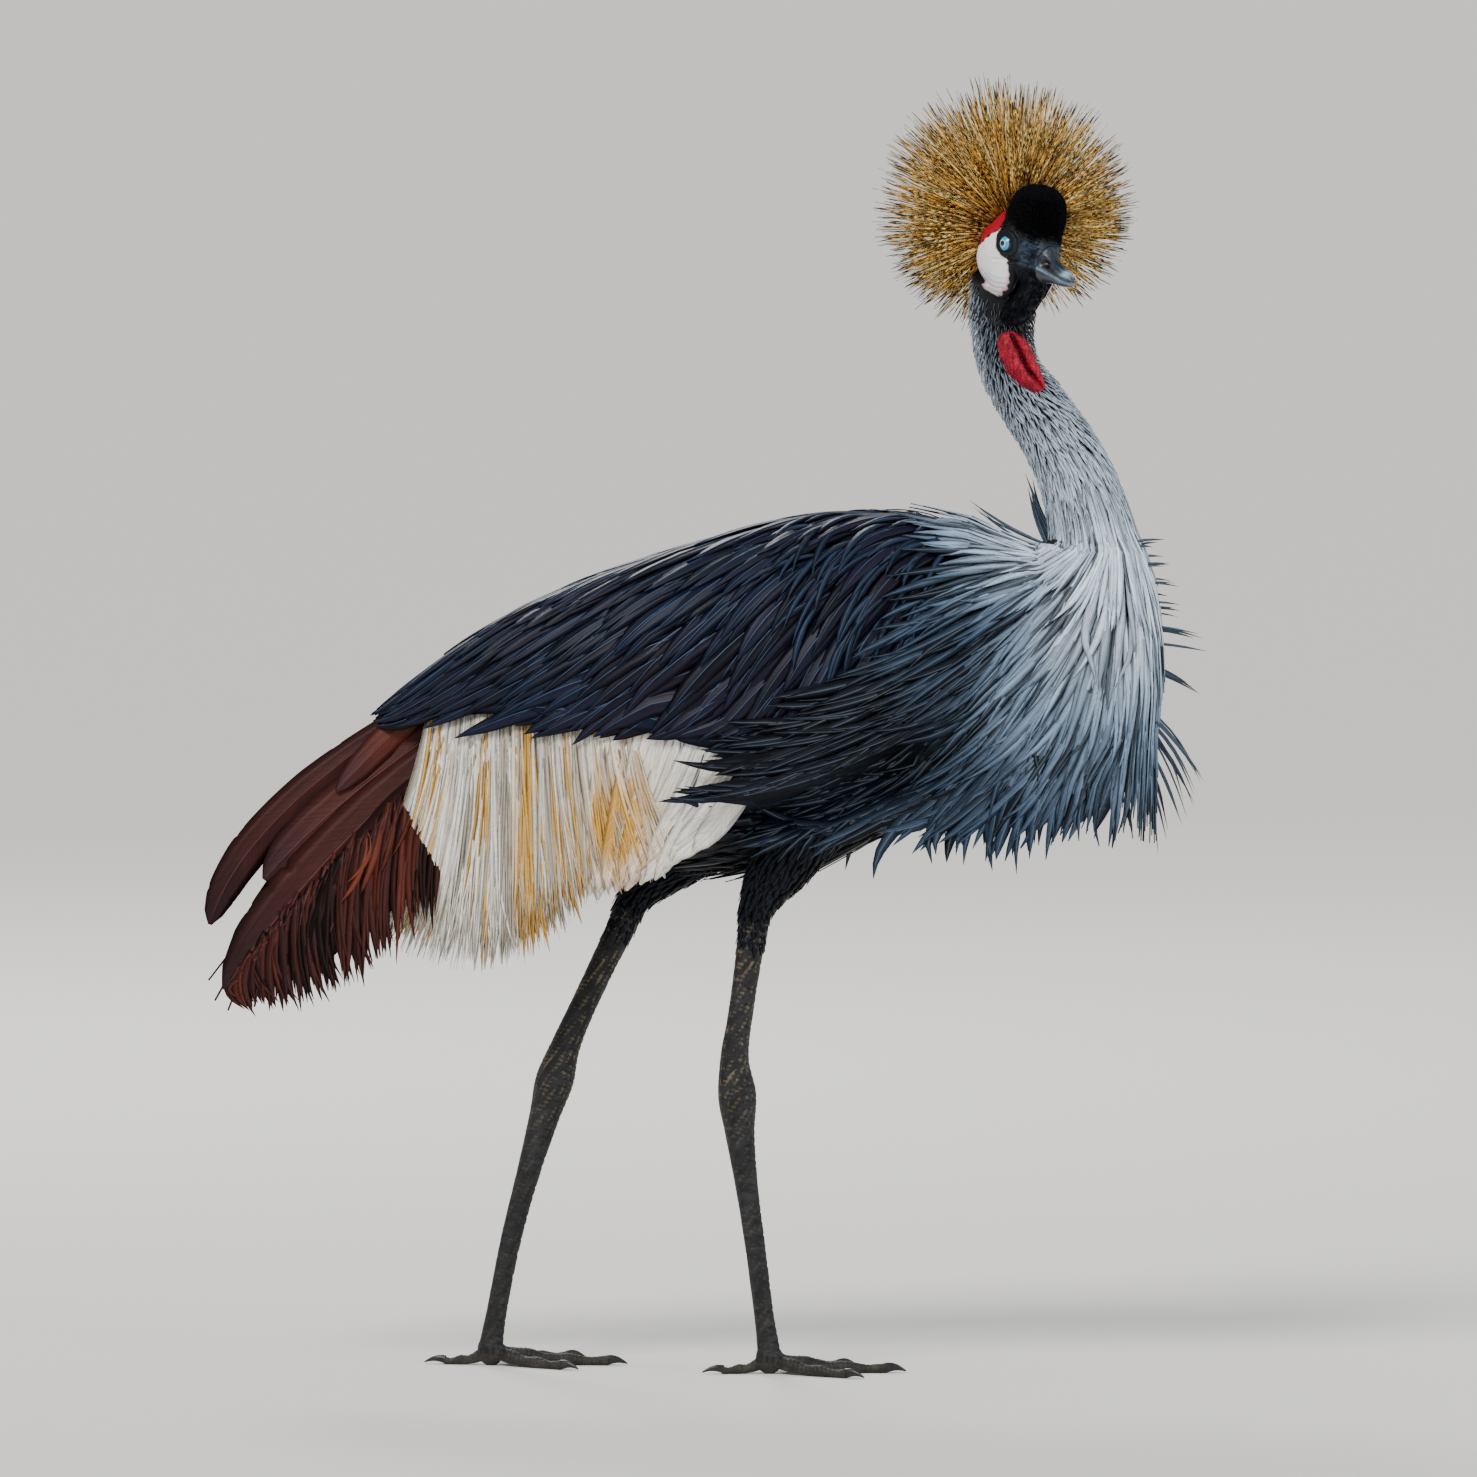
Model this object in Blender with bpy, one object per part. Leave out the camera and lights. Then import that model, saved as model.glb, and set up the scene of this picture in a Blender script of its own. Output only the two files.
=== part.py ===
"""Grey crowned crane, standing at rest, life size.

The bird faces +X with its head turned to its right, +Z is up and its left side is +Y.
The floor is z = 0. Sizes are in metres and angles in degrees.
"""

import math
import random

import bpy
from mathutils import Matrix, Quaternion, Vector
from mathutils.bvhtree import BVHTree

# Gap that touching nodes keep
GAP = 0.0003
# How far sheets that touch along an edge are moved
HAIR = 0.00003
SEED = 7

# About how many triangles each node of feathers keeps, and the head
RUFF_TRIANGLES = 4400
WING_TRIANGLES = 1300
GOLD_TRIANGLES = 1050
SECONDARY_TRIANGLES = 800
TAIL_TRIANGLES = 320
HEAD_TRIANGLES = 1700

# From the middle line of the body over the feet to the origin under the middle of the whole bird
BODY_PLACE = Vector((0.0, 0.0025, 0.0))

UP = Vector((0, 0, 1))
LEFT = Vector((0, 1, 0))
AHEAD = Vector((1, 0, 0))

# Torso under the wings: x, top, bottom, half width
TORSO = [
    (-0.228, 0.508, 0.482, 0.010),
    (-0.205, 0.524, 0.458, 0.024),
    (-0.150, 0.556, 0.431, 0.044),
    (-0.100, 0.582, 0.412, 0.060),
    (-0.040, 0.607, 0.398, 0.074),
    (0.020, 0.629, 0.392, 0.084),
    (0.080, 0.645, 0.398, 0.089),
    (0.140, 0.652, 0.420, 0.088),
    (0.200, 0.648, 0.447, 0.082),
    (0.250, 0.632, 0.474, 0.071),
    (0.295, 0.602, 0.506, 0.053),
    (0.325, 0.572, 0.536, 0.026),
]
TORSO_SIDES = 18

# Neck: x, y, z of its middle, and the radius of its short feathers, from the nape down
NECK = [
    (0.2300, -0.0150, 0.8560, 0.0250),
    (0.2285, -0.0040, 0.8280, 0.0252),
    (0.2295, 0.0000, 0.8030, 0.0232),
    (0.2360, 0.0000, 0.7800, 0.0230),
    (0.2515, 0.0000, 0.7570, 0.0252),
    (0.2680, 0.0000, 0.7330, 0.0262),
    (0.2835, 0.0000, 0.7050, 0.0285),
    (0.2955, 0.0000, 0.6700, 0.0315),
    (0.3010, 0.0000, 0.6350, 0.0365),
    (0.2980, 0.0000, 0.6000, 0.0430),
    (0.2850, 0.0000, 0.5650, 0.0460),
    (0.2600, 0.0000, 0.5300, 0.0480),
]
NECK_SIDES = 14
# Shares of the neck's length where the head ends, where the upper neck ends and where the tube ends
HEAD_CUT = 0.10
NECK_CUT = 0.46
TUBE_END = 0.86

# Mantle over the breast that the ruff grows from: height, middle x, half length, half width
MANTLE = [
    (0.655, 0.2985, 0.037, 0.034),
    (0.615, 0.2900, 0.056, 0.053),
    (0.575, 0.2720, 0.078, 0.075),
    (0.535, 0.2520, 0.098, 0.092),
    (0.500, 0.2400, 0.106, 0.098),
    (0.470, 0.2300, 0.098, 0.090),
    (0.452, 0.2220, 0.070, 0.060),
]
MANTLE_SIDES = 22
MANTLE_POWER = 0.85

# Ruff: how far a tier starts below the one above, the spacing and width of its plumes
RUFF_START = 0.642
TIER_STEP = 0.058
PLUME_SPACING = 0.0165
PLUME_WIDTH = 0.0158
PLUME_THICK = 0.0016
# Turn round the neck from the front, first heading from straight down to the back, how much the
# heading turns back in each metre, and the whole reach from the neck to the last tips
RUFF_FLOW = [
    (0.0, 0.0, 0.0, 0.225),
    (40.0, 2.0, 20.0, 0.230),
    (65.0, 8.0, 60.0, 0.245),
    (76.0, 13.0, 150.0, 0.290),
    (84.0, 20.0, 165.0, 0.380),
    (92.0, 28.0, 155.0, 0.385),
    (100.0, 37.0, 145.0, 0.345),
    (108.0, 46.0, 120.0, 0.275),
    (116.0, 52.0, 90.0, 0.215),
    (130.0, 64.0, 60.0, 0.170),
    (150.0, 78.0, 30.0, 0.140),
    (180.0, 92.0, 0.0, 0.120),
]

# Folded wing: x, ridge, widest height, half width, lower edge of the dark feathers
WING = [
    (-0.262, 0.513, 0.490, 0.010, 0.506),
    (-0.240, 0.532, 0.480, 0.026, 0.508),
    (-0.200, 0.563, 0.478, 0.047, 0.514),
    (-0.150, 0.594, 0.485, 0.065, 0.516),
    (-0.100, 0.617, 0.495, 0.079, 0.512),
    (-0.050, 0.635, 0.505, 0.090, 0.506),
    (0.000, 0.651, 0.512, 0.097, 0.503),
    (0.050, 0.664, 0.518, 0.101, 0.503),
    (0.100, 0.671, 0.524, 0.101, 0.506),
    (0.150, 0.671, 0.530, 0.096, 0.514),
    (0.200, 0.662, 0.540, 0.086, 0.530),
    (0.225, 0.650, 0.548, 0.075, 0.545),
]
# Below its widest height the wing hangs nearly straight: how much it leans in
LEAN_IN = 0.10

# White and gold feathers under the dark ones: x, lower edge of their tips
GOLD = [
    (-0.216, 0.342),
    (-0.190, 0.328),
    (-0.150, 0.330),
    (-0.115, 0.368),
    (-0.070, 0.388),
    (-0.030, 0.404),
    (0.010, 0.440),
    (0.040, 0.480),
]

# Behind the rump: x, how far the feathers start from the middle, and how much they spread going down
REAR = [
    (-0.392, 0.0030, 0.15),
    (-0.300, 0.0040, 0.18),
    (-0.260, 0.0050, 0.19),
    (-0.200, 0.0090, 0.18),
    (-0.150, 0.0220, 0.23),
]
# Back line of the secondaries, x and height
BACK_LINE = [
    (-0.392, 0.330),
    (-0.384, 0.372),
    (-0.360, 0.420),
    (-0.319, 0.464),
    (-0.262, 0.508),
    (-0.218, 0.540),
    (-0.150, 0.566),
]

# Head: the point between the eyes, its turn to the right, its nod and its tilt
EYES_MIDDLE = Vector((0.2515, -0.0406, 0.8860))
HEAD_TURN = 62.0
HEAD_NOD = 12.0
HEAD_TILT = 4.0


def clear_scene():
    for obj in list(bpy.data.objects):
        bpy.data.objects.remove(obj)


def material(name, colour, roughness):
    made = bpy.data.materials.new(name)
    made.use_nodes = True
    shader = made.node_tree.nodes["Principled BSDF"]
    shader.inputs["Base Color"].default_value = (*colour, 1.0)
    shader.inputs["Roughness"].default_value = roughness
    made.diffuse_color = (*colour, 1.0)
    return made


def mesh_object(name, shape):
    """An object from (points, faces)."""
    points, faces = shape
    mesh = bpy.data.meshes.new(name)
    mesh.from_pydata([tuple(p) for p in points], [], faces)
    mesh.validate()
    obj = bpy.data.objects.new(name, mesh)
    bpy.context.scene.collection.objects.link(obj)
    return obj


def node(name, shape, finish, smooth=True):
    """One named piece of the bird, which hangs from the empty that places the body."""
    obj = mesh_object(name, parted(*shape))
    obj.data.materials.append(finish)
    if smooth:
        obj.data.shade_smooth()
        obj.data.set_sharp_from_angle(angle=math.radians(50))
    obj.parent = bpy.data.objects["body_place"]
    return obj


def shape_of(obj):
    """(points, faces) of an object's evaluated mesh."""
    graph = bpy.context.evaluated_depsgraph_get()
    mesh = bpy.data.meshes.new_from_object(obj.evaluated_get(graph))
    mesh.calc_loop_triangles()
    points = [obj.matrix_world @ v.co for v in mesh.vertices]
    faces = [tuple(p.vertices) for p in mesh.loop_triangles]
    bpy.data.meshes.remove(mesh)
    return points, faces


def volume_of(points, faces):
    total = 0.0
    for face in faces:
        for i in range(1, len(face) - 1):
            a, b, c = points[face[0]], points[face[i]], points[face[i + 1]]
            total += a.dot(b.cross(c)) / 6
    return total


def facing_out(points, faces):
    if volume_of(points, faces) < 0:
        faces = [tuple(reversed(face)) for face in faces]
    return points, faces


def largest_surface(points, faces):
    """The surface joined edge to edge that holds the most volume."""
    owner = list(range(len(faces)))

    def root(i):
        while owner[i] != i:
            owner[i] = owner[owner[i]]
            i = owner[i]
        return i

    edges = {}
    for number, face in enumerate(faces):
        for a, b in zip(face, face[1:] + face[:1]):
            other = edges.setdefault((min(a, b), max(a, b)), number)
            owner[root(number)] = root(other)
    groups = {}
    for number, face in enumerate(faces):
        groups.setdefault(root(number), []).append(face)
    best = max(groups.values(), key=lambda group: volume_of(points, group))
    used = sorted({corner for face in best for corner in face})
    place = {old: new for new, old in enumerate(used)}
    return [points[i] for i in used], [tuple(place[c] for c in face) for face in best]


def edges_of(faces):
    """The faces on each edge."""
    found = {}
    for number, face in enumerate(faces):
        for a, b in zip(face, face[1:] + face[:1]):
            found.setdefault((min(a, b), max(a, b)), []).append(number)
    return found


def round_edge(points, faces, edge, numbers):
    """Faces on an edge where sheets touch, in pairs that each hold a wedge of the solid."""
    a, b = edge
    way = (points[b] - points[a]).normalized()
    first = way.orthogonal().normalized()
    second = way.cross(first)
    turns = []
    for number in numbers:
        face = faces[number]
        other = next(c for c in face if c not in edge)
        aside = points[other] - points[a]
        forward = face[(face.index(a) + 1) % len(face)] == b
        turns.append((math.atan2(aside.dot(second), aside.dot(first)), forward, number))
    turns.sort()
    pairs = []
    for k, (_, forward, number) in enumerate(turns):
        if not forward:
            pairs.append((number, turns[(k + 1) % len(turns)][2]))
    return pairs


def parted(points, faces):
    """The surface with its sheets moved a hair apart wherever they touch along an edge."""
    places = {}
    index = [places.setdefault(tuple(round(c, 7) for c in point), len(places)) for point in points]
    points = [Vector(place) for place in places]
    faces = [tuple(index[c] for c in face) for face in faces]
    faces = [face for face in faces if len(set(face)) == len(face)]
    edges = edges_of(faces)
    touching = {edge: numbers for edge, numbers in edges.items() if len(numbers) > 2}
    if not touching:
        return points, faces
    links = {edge: [numbers] for edge, numbers in edges.items() if len(numbers) == 2}
    for edge, numbers in touching.items():
        links[edge] = round_edge(points, faces, edge, numbers)
    corners = {corner for edge in touching for corner in edge}
    around = {corner: [] for corner in corners}
    for number, face in enumerate(faces):
        for corner in face:
            if corner in corners:
                around[corner].append(number)
    joined = {corner: [] for corner in corners}
    for edge, pairs in links.items():
        for corner in edge:
            if corner in corners:
                joined[corner] += pairs
    made = [list(face) for face in faces]
    for corner in sorted(corners):
        for group in groups_of(around[corner], joined[corner]):
            middle = sum((points[c] for n in group for c in faces[n]), Vector((0, 0, 0))) / (3 * len(group))
            points.append(points[corner] + (middle - points[corner]).normalized() * HAIR)
            for number in group:
                made[number][faces[number].index(corner)] = len(points) - 1
    used = sorted({corner for face in made for corner in face})
    place = {old: new for new, old in enumerate(used)}
    return [points[c] for c in used], [tuple(place[c] for c in face) for face in made]


def groups_of(members, pairs):
    """The members sorted into groups that the pairs join."""
    owner = {member: member for member in members}

    def root(member):
        while owner[member] != member:
            member = owner[member]
        return member

    for a, b in pairs:
        owner[root(a)] = root(b)
    groups = {}
    for member in members:
        groups.setdefault(root(member), []).append(member)
    return list(groups.values())


def boolean(shape, others, operation):
    """The shape with the others joined to it or cut from it, as its largest surface.

    MANIFOLD, because EXACT takes minutes on a node of feathers.
    """
    base = mesh_object("boolean_base", shape)
    group = bpy.data.collections.new("boolean_pieces")
    for other in others:
        piece = mesh_object("boolean_piece", other)
        bpy.context.scene.collection.objects.unlink(piece)
        group.objects.link(piece)
    step = base.modifiers.new("join", "BOOLEAN")
    step.operation = operation
    step.operand_type = "COLLECTION"
    step.collection = group
    step.solver = "MANIFOLD"
    made = shape_of(base)
    for obj in [base, *group.objects]:
        bpy.data.objects.remove(obj)
    bpy.data.collections.remove(group)
    return largest_surface(*made)


def fuse(shape, others):
    return boolean(shape, others, "UNION")


def cut(shape, others):
    return boolean(shape, others, "DIFFERENCE")


def thinned(shape, count):
    """The shape with about this many triangles: it drops the smallest slivers that a union leaves."""
    obj = mesh_object("thinned", shape)
    step = obj.modifiers.new("thin", "DECIMATE")
    step.ratio = min(1.0, count / sum(len(face) - 2 for face in shape[1]))
    made = shape_of(obj)
    bpy.data.objects.remove(obj)
    return largest_surface(*made)


def along(table, t):
    """A smooth curve through the rows of a table, at t from 0 to 1."""
    last = len(table) - 1
    place = min(max(t, 0.0), 1.0) * last
    i = min(int(place), last - 1)
    f = place - i
    rows = [table[min(max(i + k, 0), last)] for k in (-1, 0, 1, 2)]
    return tuple(
        0.5
        * (
            2 * b
            + (c - a) * f
            + (2 * a - 5 * b + 4 * c - d) * f**2
            + (3 * b - a - 3 * c + d) * f**3
        )
        for a, b, c, d in zip(*rows)
    )


def read(table, x):
    """The other columns of a table whose first column rises, at x, without a corner."""
    last = len(table) - 1
    x = min(max(x, table[0][0]), table[last][0])
    i = next(k for k in range(last) if x <= table[k + 1][0])
    low, high = table[i], table[i + 1]
    before, after = table[max(i - 1, 0)], table[min(i + 2, last)]
    step = high[0] - low[0]
    f = (x - low[0]) / step
    made = []
    for a, b, c, d in zip(before[1:], low[1:], high[1:], after[1:]):
        first = (c - a) / (high[0] - before[0]) * step
        second = (d - b) / (after[0] - low[0]) * step
        rise = f * f * (3 - 2 * f)
        made.append(b + (c - b) * rise + first * f * (1 - f) ** 2 - second * f * f * (1 - f))
    return made


def loft(rings):
    """A closed shape through rings of equally many points, with flat ends."""
    points = [p for ring in rings for p in ring]
    n = len(rings[0])
    faces = []
    for r in range(len(rings) - 1):
        for k in range(n):
            a, b = r * n + k, r * n + (k + 1) % n
            faces += [(a, b, b + n), (a, b + n, a + n)]
    faces.append(tuple(range(n - 1, -1, -1)))
    faces.append(tuple(range(len(points) - n, len(points))))
    return facing_out(points, faces)


def oval(middle, side, up, half_side, half_up, half_down, count, power=1.0):
    """A ring round a middle point, with its own height above and below."""
    ring = []
    for k in range(count):
        turn = 2 * math.pi * k / count
        c, s = math.cos(turn), math.sin(turn)
        c = math.copysign(abs(c) ** power, c)
        s = math.copysign(abs(s) ** power, s)
        high = half_up if s > 0 else half_down
        ring.append(middle + side * half_side * c + up * high * s)
    return ring


def ball(middle, radius, rings=8, sides=14, axis=UP):
    """A sphere of flat facets, with its poles along an axis."""
    axis = axis.normalized()
    across = axis.orthogonal().normalized()
    other = axis.cross(across)
    points = [middle + axis * radius]
    for r in range(1, rings):
        polar = math.pi * r / rings
        for k in range(sides):
            turn = 2 * math.pi * k / sides
            out = across * math.cos(turn) + other * math.sin(turn)
            points.append(middle + axis * radius * math.cos(polar) + out * radius * math.sin(polar))
    points.append(middle - axis * radius)
    faces = []
    for k in range(sides):
        n = (k + 1) % sides
        faces.append((0, 1 + k, 1 + n))
        base = 1 + (rings - 2) * sides
        faces.append((len(points) - 1, base + n, base + k))
        for r in range(rings - 2):
            a, b = 1 + r * sides + k, 1 + r * sides + n
            faces += [(a, a + sides, b + sides), (a, b + sides, b)]
    return facing_out(points, faces)


# Feathers: shares of their length and of their width there, root to tip
LOCK = [(0.0, 0.50), (0.36, 1.00), (0.74, 0.72), (1.0, 0.0)]
LONG_LOCK = [(0.0, 0.45), (0.26, 0.95), (0.54, 1.00), (0.80, 0.62), (1.0, 0.0)]
PLUME = [(0.0, 0.40), (0.26, 0.64), (0.54, 1.00), (0.80, 0.78), (1.0, 0.0)]
FEATHER = [(0.0, 0.45), (0.34, 0.95), (0.74, 0.92), (1.0, 0.0)]
BROAD_FEATHER = [(0.0, 0.40), (0.28, 0.90), (0.60, 1.00), (0.86, 0.80), (1.0, 0.0)]
BRISTLE = [(0.0, 1.00), (0.70, 0.75), (1.0, 0.0)]


def vane(place, shares, width, thick, sides=4, roll=0.0):
    """One closed, tapered feather: place(t) is its middle and its outward direction at t.

    With 4 sides its section is a flat diamond, with 3 it has a flat underside.
    """
    marks = [place(t) for t, _ in shares]
    last = len(marks) - 1
    points = []
    for i, (point, out) in enumerate(marks):
        heading = (marks[min(i + 1, last)][0] - marks[max(i - 1, 0)][0]).normalized()
        out = (out - heading * out.dot(heading)).normalized()
        out = Quaternion(heading, roll) @ out
        side = heading.cross(out)
        half = 0.5 * width * shares[i][1]
        high = 0.5 * thick * (1.0 - 0.35 * shares[i][0])
        if i == last:
            points.append(point)
        elif sides == 4:
            points += [point + side * half, point + out * high, point - side * half, point - out * high]
        else:
            points += [point + side * half - out * high, point + out * high, point - side * half - out * high]
    faces = [tuple(range(sides))] if sides == 3 else [(0, 1, 3), (1, 2, 3)]
    for i in range(last - 1):
        for k in range(sides):
            a, b = i * sides + k, i * sides + (k + 1) % sides
            c, d = b + sides, a + sides
            faces += [(a, c, b), (a, d, c)] if k % 2 == 0 else [(a, d, b), (b, d, c)]
    base = (last - 1) * sides
    faces += [(base + k, len(points) - 1, base + (k + 1) % sides) for k in range(sides)]
    return facing_out(points, faces)


def on_line(marks):
    """A place function for a vane along a row of (point, outward) marks."""

    def place(t):
        f = t * (len(marks) - 1)
        i = min(int(f), len(marks) - 2)
        (a, out_a), (b, out_b) = marks[i], marks[i + 1]
        return a.lerp(b, f - i), out_a.lerp(out_b, f - i).normalized()

    return place


def skin_of(shape):
    points, faces = shape
    return BVHTree.FromPolygons([tuple(p) for p in points], faces)


def clear_of(skins, point, lift):
    """The point moved out to at least lift over every skin, the outward direction and its height there."""
    for _ in range(2):
        for skin in skins:
            spot, normal, _, _ = skin.find_nearest(point)
            if (point - spot).dot(normal) < lift:
                point = spot + normal * lift
    best = None
    for skin in skins:
        spot, normal, _, distance = skin.find_nearest(point)
        if best is None or distance < best[0]:
            best = (distance, normal, spot)
    away = point - best[2]
    out = away.normalized() if away.length > 1e-5 and away.dot(best[1]) > 0 else best[1]
    return point, out, best[0]


def torso_ring(x, grow=0.0):
    top, bottom, half = read(TORSO, x)
    middle = bottom + 0.52 * (top - bottom)
    spot = Vector((x, 0, middle))
    return oval(spot, LEFT, UP, half + grow, top - middle + grow, middle - bottom + grow, TORSO_SIDES)


def torso_core(grow=0.0):
    rings = [torso_ring(row[0], grow) for row in TORSO]
    for point in rings[0]:
        point.x -= grow
    for point in rings[-1]:
        point.x += grow
    return loft(rings)


def neck_frame(t):
    """The neck's middle, its forward and sideways directions, its own direction and its radius."""
    x, y, z, radius = along(NECK, t)
    a, b = along(NECK, t - 0.004), along(NECK, t + 0.004)
    down = (Vector(b[:3]) - Vector(a[:3])).normalized()
    side = (LEFT - down * LEFT.dot(down)).normalized()
    forward = side.cross(down).normalized()
    if forward.x < 0:
        forward = -forward
    return Vector((x, y, z)), forward, side, down, radius


def neck_tube(start, end, count, grow=0.0):
    rings = []
    for i in range(count + 1):
        middle, forward, side, _, radius = neck_frame(start + (end - start) * i / count)
        radius += grow
        rings.append(oval(middle, side, forward, radius * 0.92, radius, radius, NECK_SIDES))
    return loft(rings)


def share_of_gap(table, t):
    """How much of a table's t the gap between two lengths takes."""
    a, b = Vector(along(table, t)[:3]), Vector(along(table, t + 0.01)[:3])
    return 0.01 * GAP / (b - a).length


def flank(x, angle, out, left):
    """A point of the folded wing's outside.

    Angle 0 is the ridge of the back and 90 the widest height. Past 90, one degree hangs 1 mm lower.
    """
    ridge, widest, half, _ = read(WING, x)
    turn = math.radians(min(angle, 90.0))
    y = (half + out) * math.sin(turn)
    z = widest + (ridge - widest + out) * math.cos(turn)
    if angle > 90.0:
        drop = (angle - 90.0) * 0.001
        y -= LEAN_IN * drop
        z -= drop
    return Vector((x, left * y, z))


def angle_at(x, z):
    """The flank's angle where it is at height z."""
    ridge, widest, _, _ = read(WING, x)
    if z >= widest:
        return math.degrees(math.acos(min(1.0, (z - widest) / (ridge - widest))))
    return 90.0 + (widest - z) / 0.001


def dark_edge(x):
    return angle_at(x, read(WING, x)[3])


def gold_edge(x):
    return angle_at(x, read(GOLD, x)[0])


def flank_out(x, angle, left):
    """The direction that points away from the flank."""
    along_x = flank(x + 0.004, angle, 0.0, left) - flank(x - 0.004, angle, 0.0, left)
    around = flank(x, angle + 2.0, 0.0, left) - flank(x, angle - 2.0, 0.0, left)
    out = along_x.cross(around).normalized()
    return out if out.y * left > 0 or (abs(out.y) < 0.2 and out.z > 0) else -out


def plate(outer, inner):
    """A closed slab between two grids of points, with its facets split alike on both faces."""
    rows, columns = len(outer), len(outer[0])
    size = rows * columns
    points = [p for row in outer for p in row] + [p for row in inner for p in row]
    faces = []
    for r in range(rows - 1):
        for c in range(columns - 1):
            a = r * columns + c
            b, d, e = a + 1, a + columns, a + columns + 1
            faces += [(a, b, e), (a, e, d), (a + size, e + size, b + size), (a + size, d + size, e + size)]
    rim = [c for c in range(columns)]
    rim += [r * columns + columns - 1 for r in range(1, rows)]
    rim += [(rows - 1) * columns + c for c in range(columns - 2, -1, -1)]
    rim += [r * columns for r in range(rows - 2, 0, -1)]
    for a, b in zip(rim, rim[1:] + rim[:1]):
        faces += [(b, a, a + size), (b, a + size, b + size)]
    return facing_out(points, faces)


def flank_plate(left, xs, first, last, outer, inner, count=7):
    """A slab of the flank between two angles: these are functions of x, its faces of x and the angle."""
    grids = ([], [])
    for x in xs:
        a, b = first(x), last(x)
        angles = [a + (b - a) * k / count for k in range(count + 1)]
        for grid, out in zip(grids, (outer, inner)):
            grid.append([flank(x, angle, out(x, angle), left) for angle in angles])
    return plate(*grids)


def dark_depth(x, angle):
    """How far in the base of the dark feathers reaches: down to the back, but thin at its lower edge."""
    deep = 0.006 + 0.012 * min(1.0, max(0.0, (x + 0.2) / 0.2))
    near_edge = min(1.0, max(0.0, (dark_edge(x) - 12.0 - angle) / 24.0))
    return DARK_EDGE_THICK + (deep - DARK_EDGE_THICK) * near_edge


def dark_base(left, grow=0.0):
    """What the dark feathers grow from: it rests on the back and holds the folded arm."""
    ends = [row[0] for row in WING]
    return flank_plate(
        left,
        [ends[0] - grow, *ends[1:-1], ends[-1] + grow],
        lambda x: 1.2 - 600 * grow,
        lambda x: dark_edge(x) - 2.0 + 1000 * grow,
        lambda x, angle: grow,
        lambda x, angle: -dark_depth(x, angle) - grow,
    )


def gold_room(left):
    """The room that the white and gold feathers take, for whatever lies inside them."""
    return flank_plate(
        left,
        [-0.222, *[row[0] for row in GOLD[1:]]],
        lambda x: dark_edge(x) - 14.0,
        lambda x: gold_edge(x) + 12.0,
        lambda x, angle: 0.010,
        lambda x, angle: -0.0088 - GAP,
        5,
    )


# The ramp from the wing's front down to the neck: rings, each ahead of the last and smaller
WING_RAMP = [(0.016, 0.94), (0.026, 0.84), (0.026, 0.70)]


def wing_room(out, ramp=False):
    """Both wings with all between and under them, grown by out. A ramp leads up to it from the neck."""
    xs = [-0.215, *[row[0] for row in WING[3:]]]
    rings = []
    for x in xs:
        low = gold_edge(x) if x < 0.04 else dark_edge(x) + 10.0
        angles = [0.0, *[low * k / 9 for k in range(1, 10)]]
        side = [flank(x, angle, out, 1) for angle in angles]
        other = [Vector((p.x, -p.y, p.z)) for p in reversed(side[1:])]
        rings.append(side + other)
    for point in rings[-1]:
        point.x += out
    if ramp:
        middle = Vector((rings[-1][0].x, 0.0, 0.57))
        for ahead, size in WING_RAMP:
            rings.append([middle + (point - middle) * size + AHEAD * ahead for point in rings[-1]])
    return loft(rings)


def lifted(lift, t):
    """How high a feather is over what it grows from, at t from its root to its tip."""
    return read(lift, t)[0]


# Height over the base from root to tip: sunk at the root, then clear of the base and of the row behind
WING_LIFT = [(0.0, -0.0013), (0.34, 0.0012), (0.74, 0.0028), (1.0, 0.0034)]
EDGE_LIFT = [(0.0, -0.0013), (0.28, 0.0006), (0.60, 0.0010), (0.86, 0.0010), (1.0, 0.0010)]


def wing_girth(x):
    """The way round the flank from the ridge to the dark feathers' lower edge."""
    edge = dark_edge(x)
    ridge, widest, half, _ = read(WING, x)
    return 0.8 * (ridge - widest + half) * min(edge, 90.0) / 90.0 + max(0.0, edge - 90.0) * 0.001


def wing_feather(left, x, f, length, slant, lift, width, shares, bow=0.0, sides=3, grow=0.0):
    """A feather of the dark wing: f is 0 at the ridge and 1 at the lower edge, slant its fall in degrees."""
    around = wing_girth(x)

    def place(t):
        turn = math.radians(slant + bow * (t - 0.5))
        spot_x = x - length * t * math.cos(turn)
        share = f + length * t * math.sin(turn) / around
        angle = 1.5 + share * (dark_edge(spot_x) - 1.5)
        return flank(spot_x, angle, lifted(lift, t), left), flank_out(spot_x, angle, left)

    roll = math.radians(-left * 4.0)
    points, faces = vane(place, shares, width + 2 * grow, FEATHER_THICK + 2 * grow, sides, roll)
    for point in points:
        point.y = left * max(left * point.y, 0.5 * GAP)
    return points, faces


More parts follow.
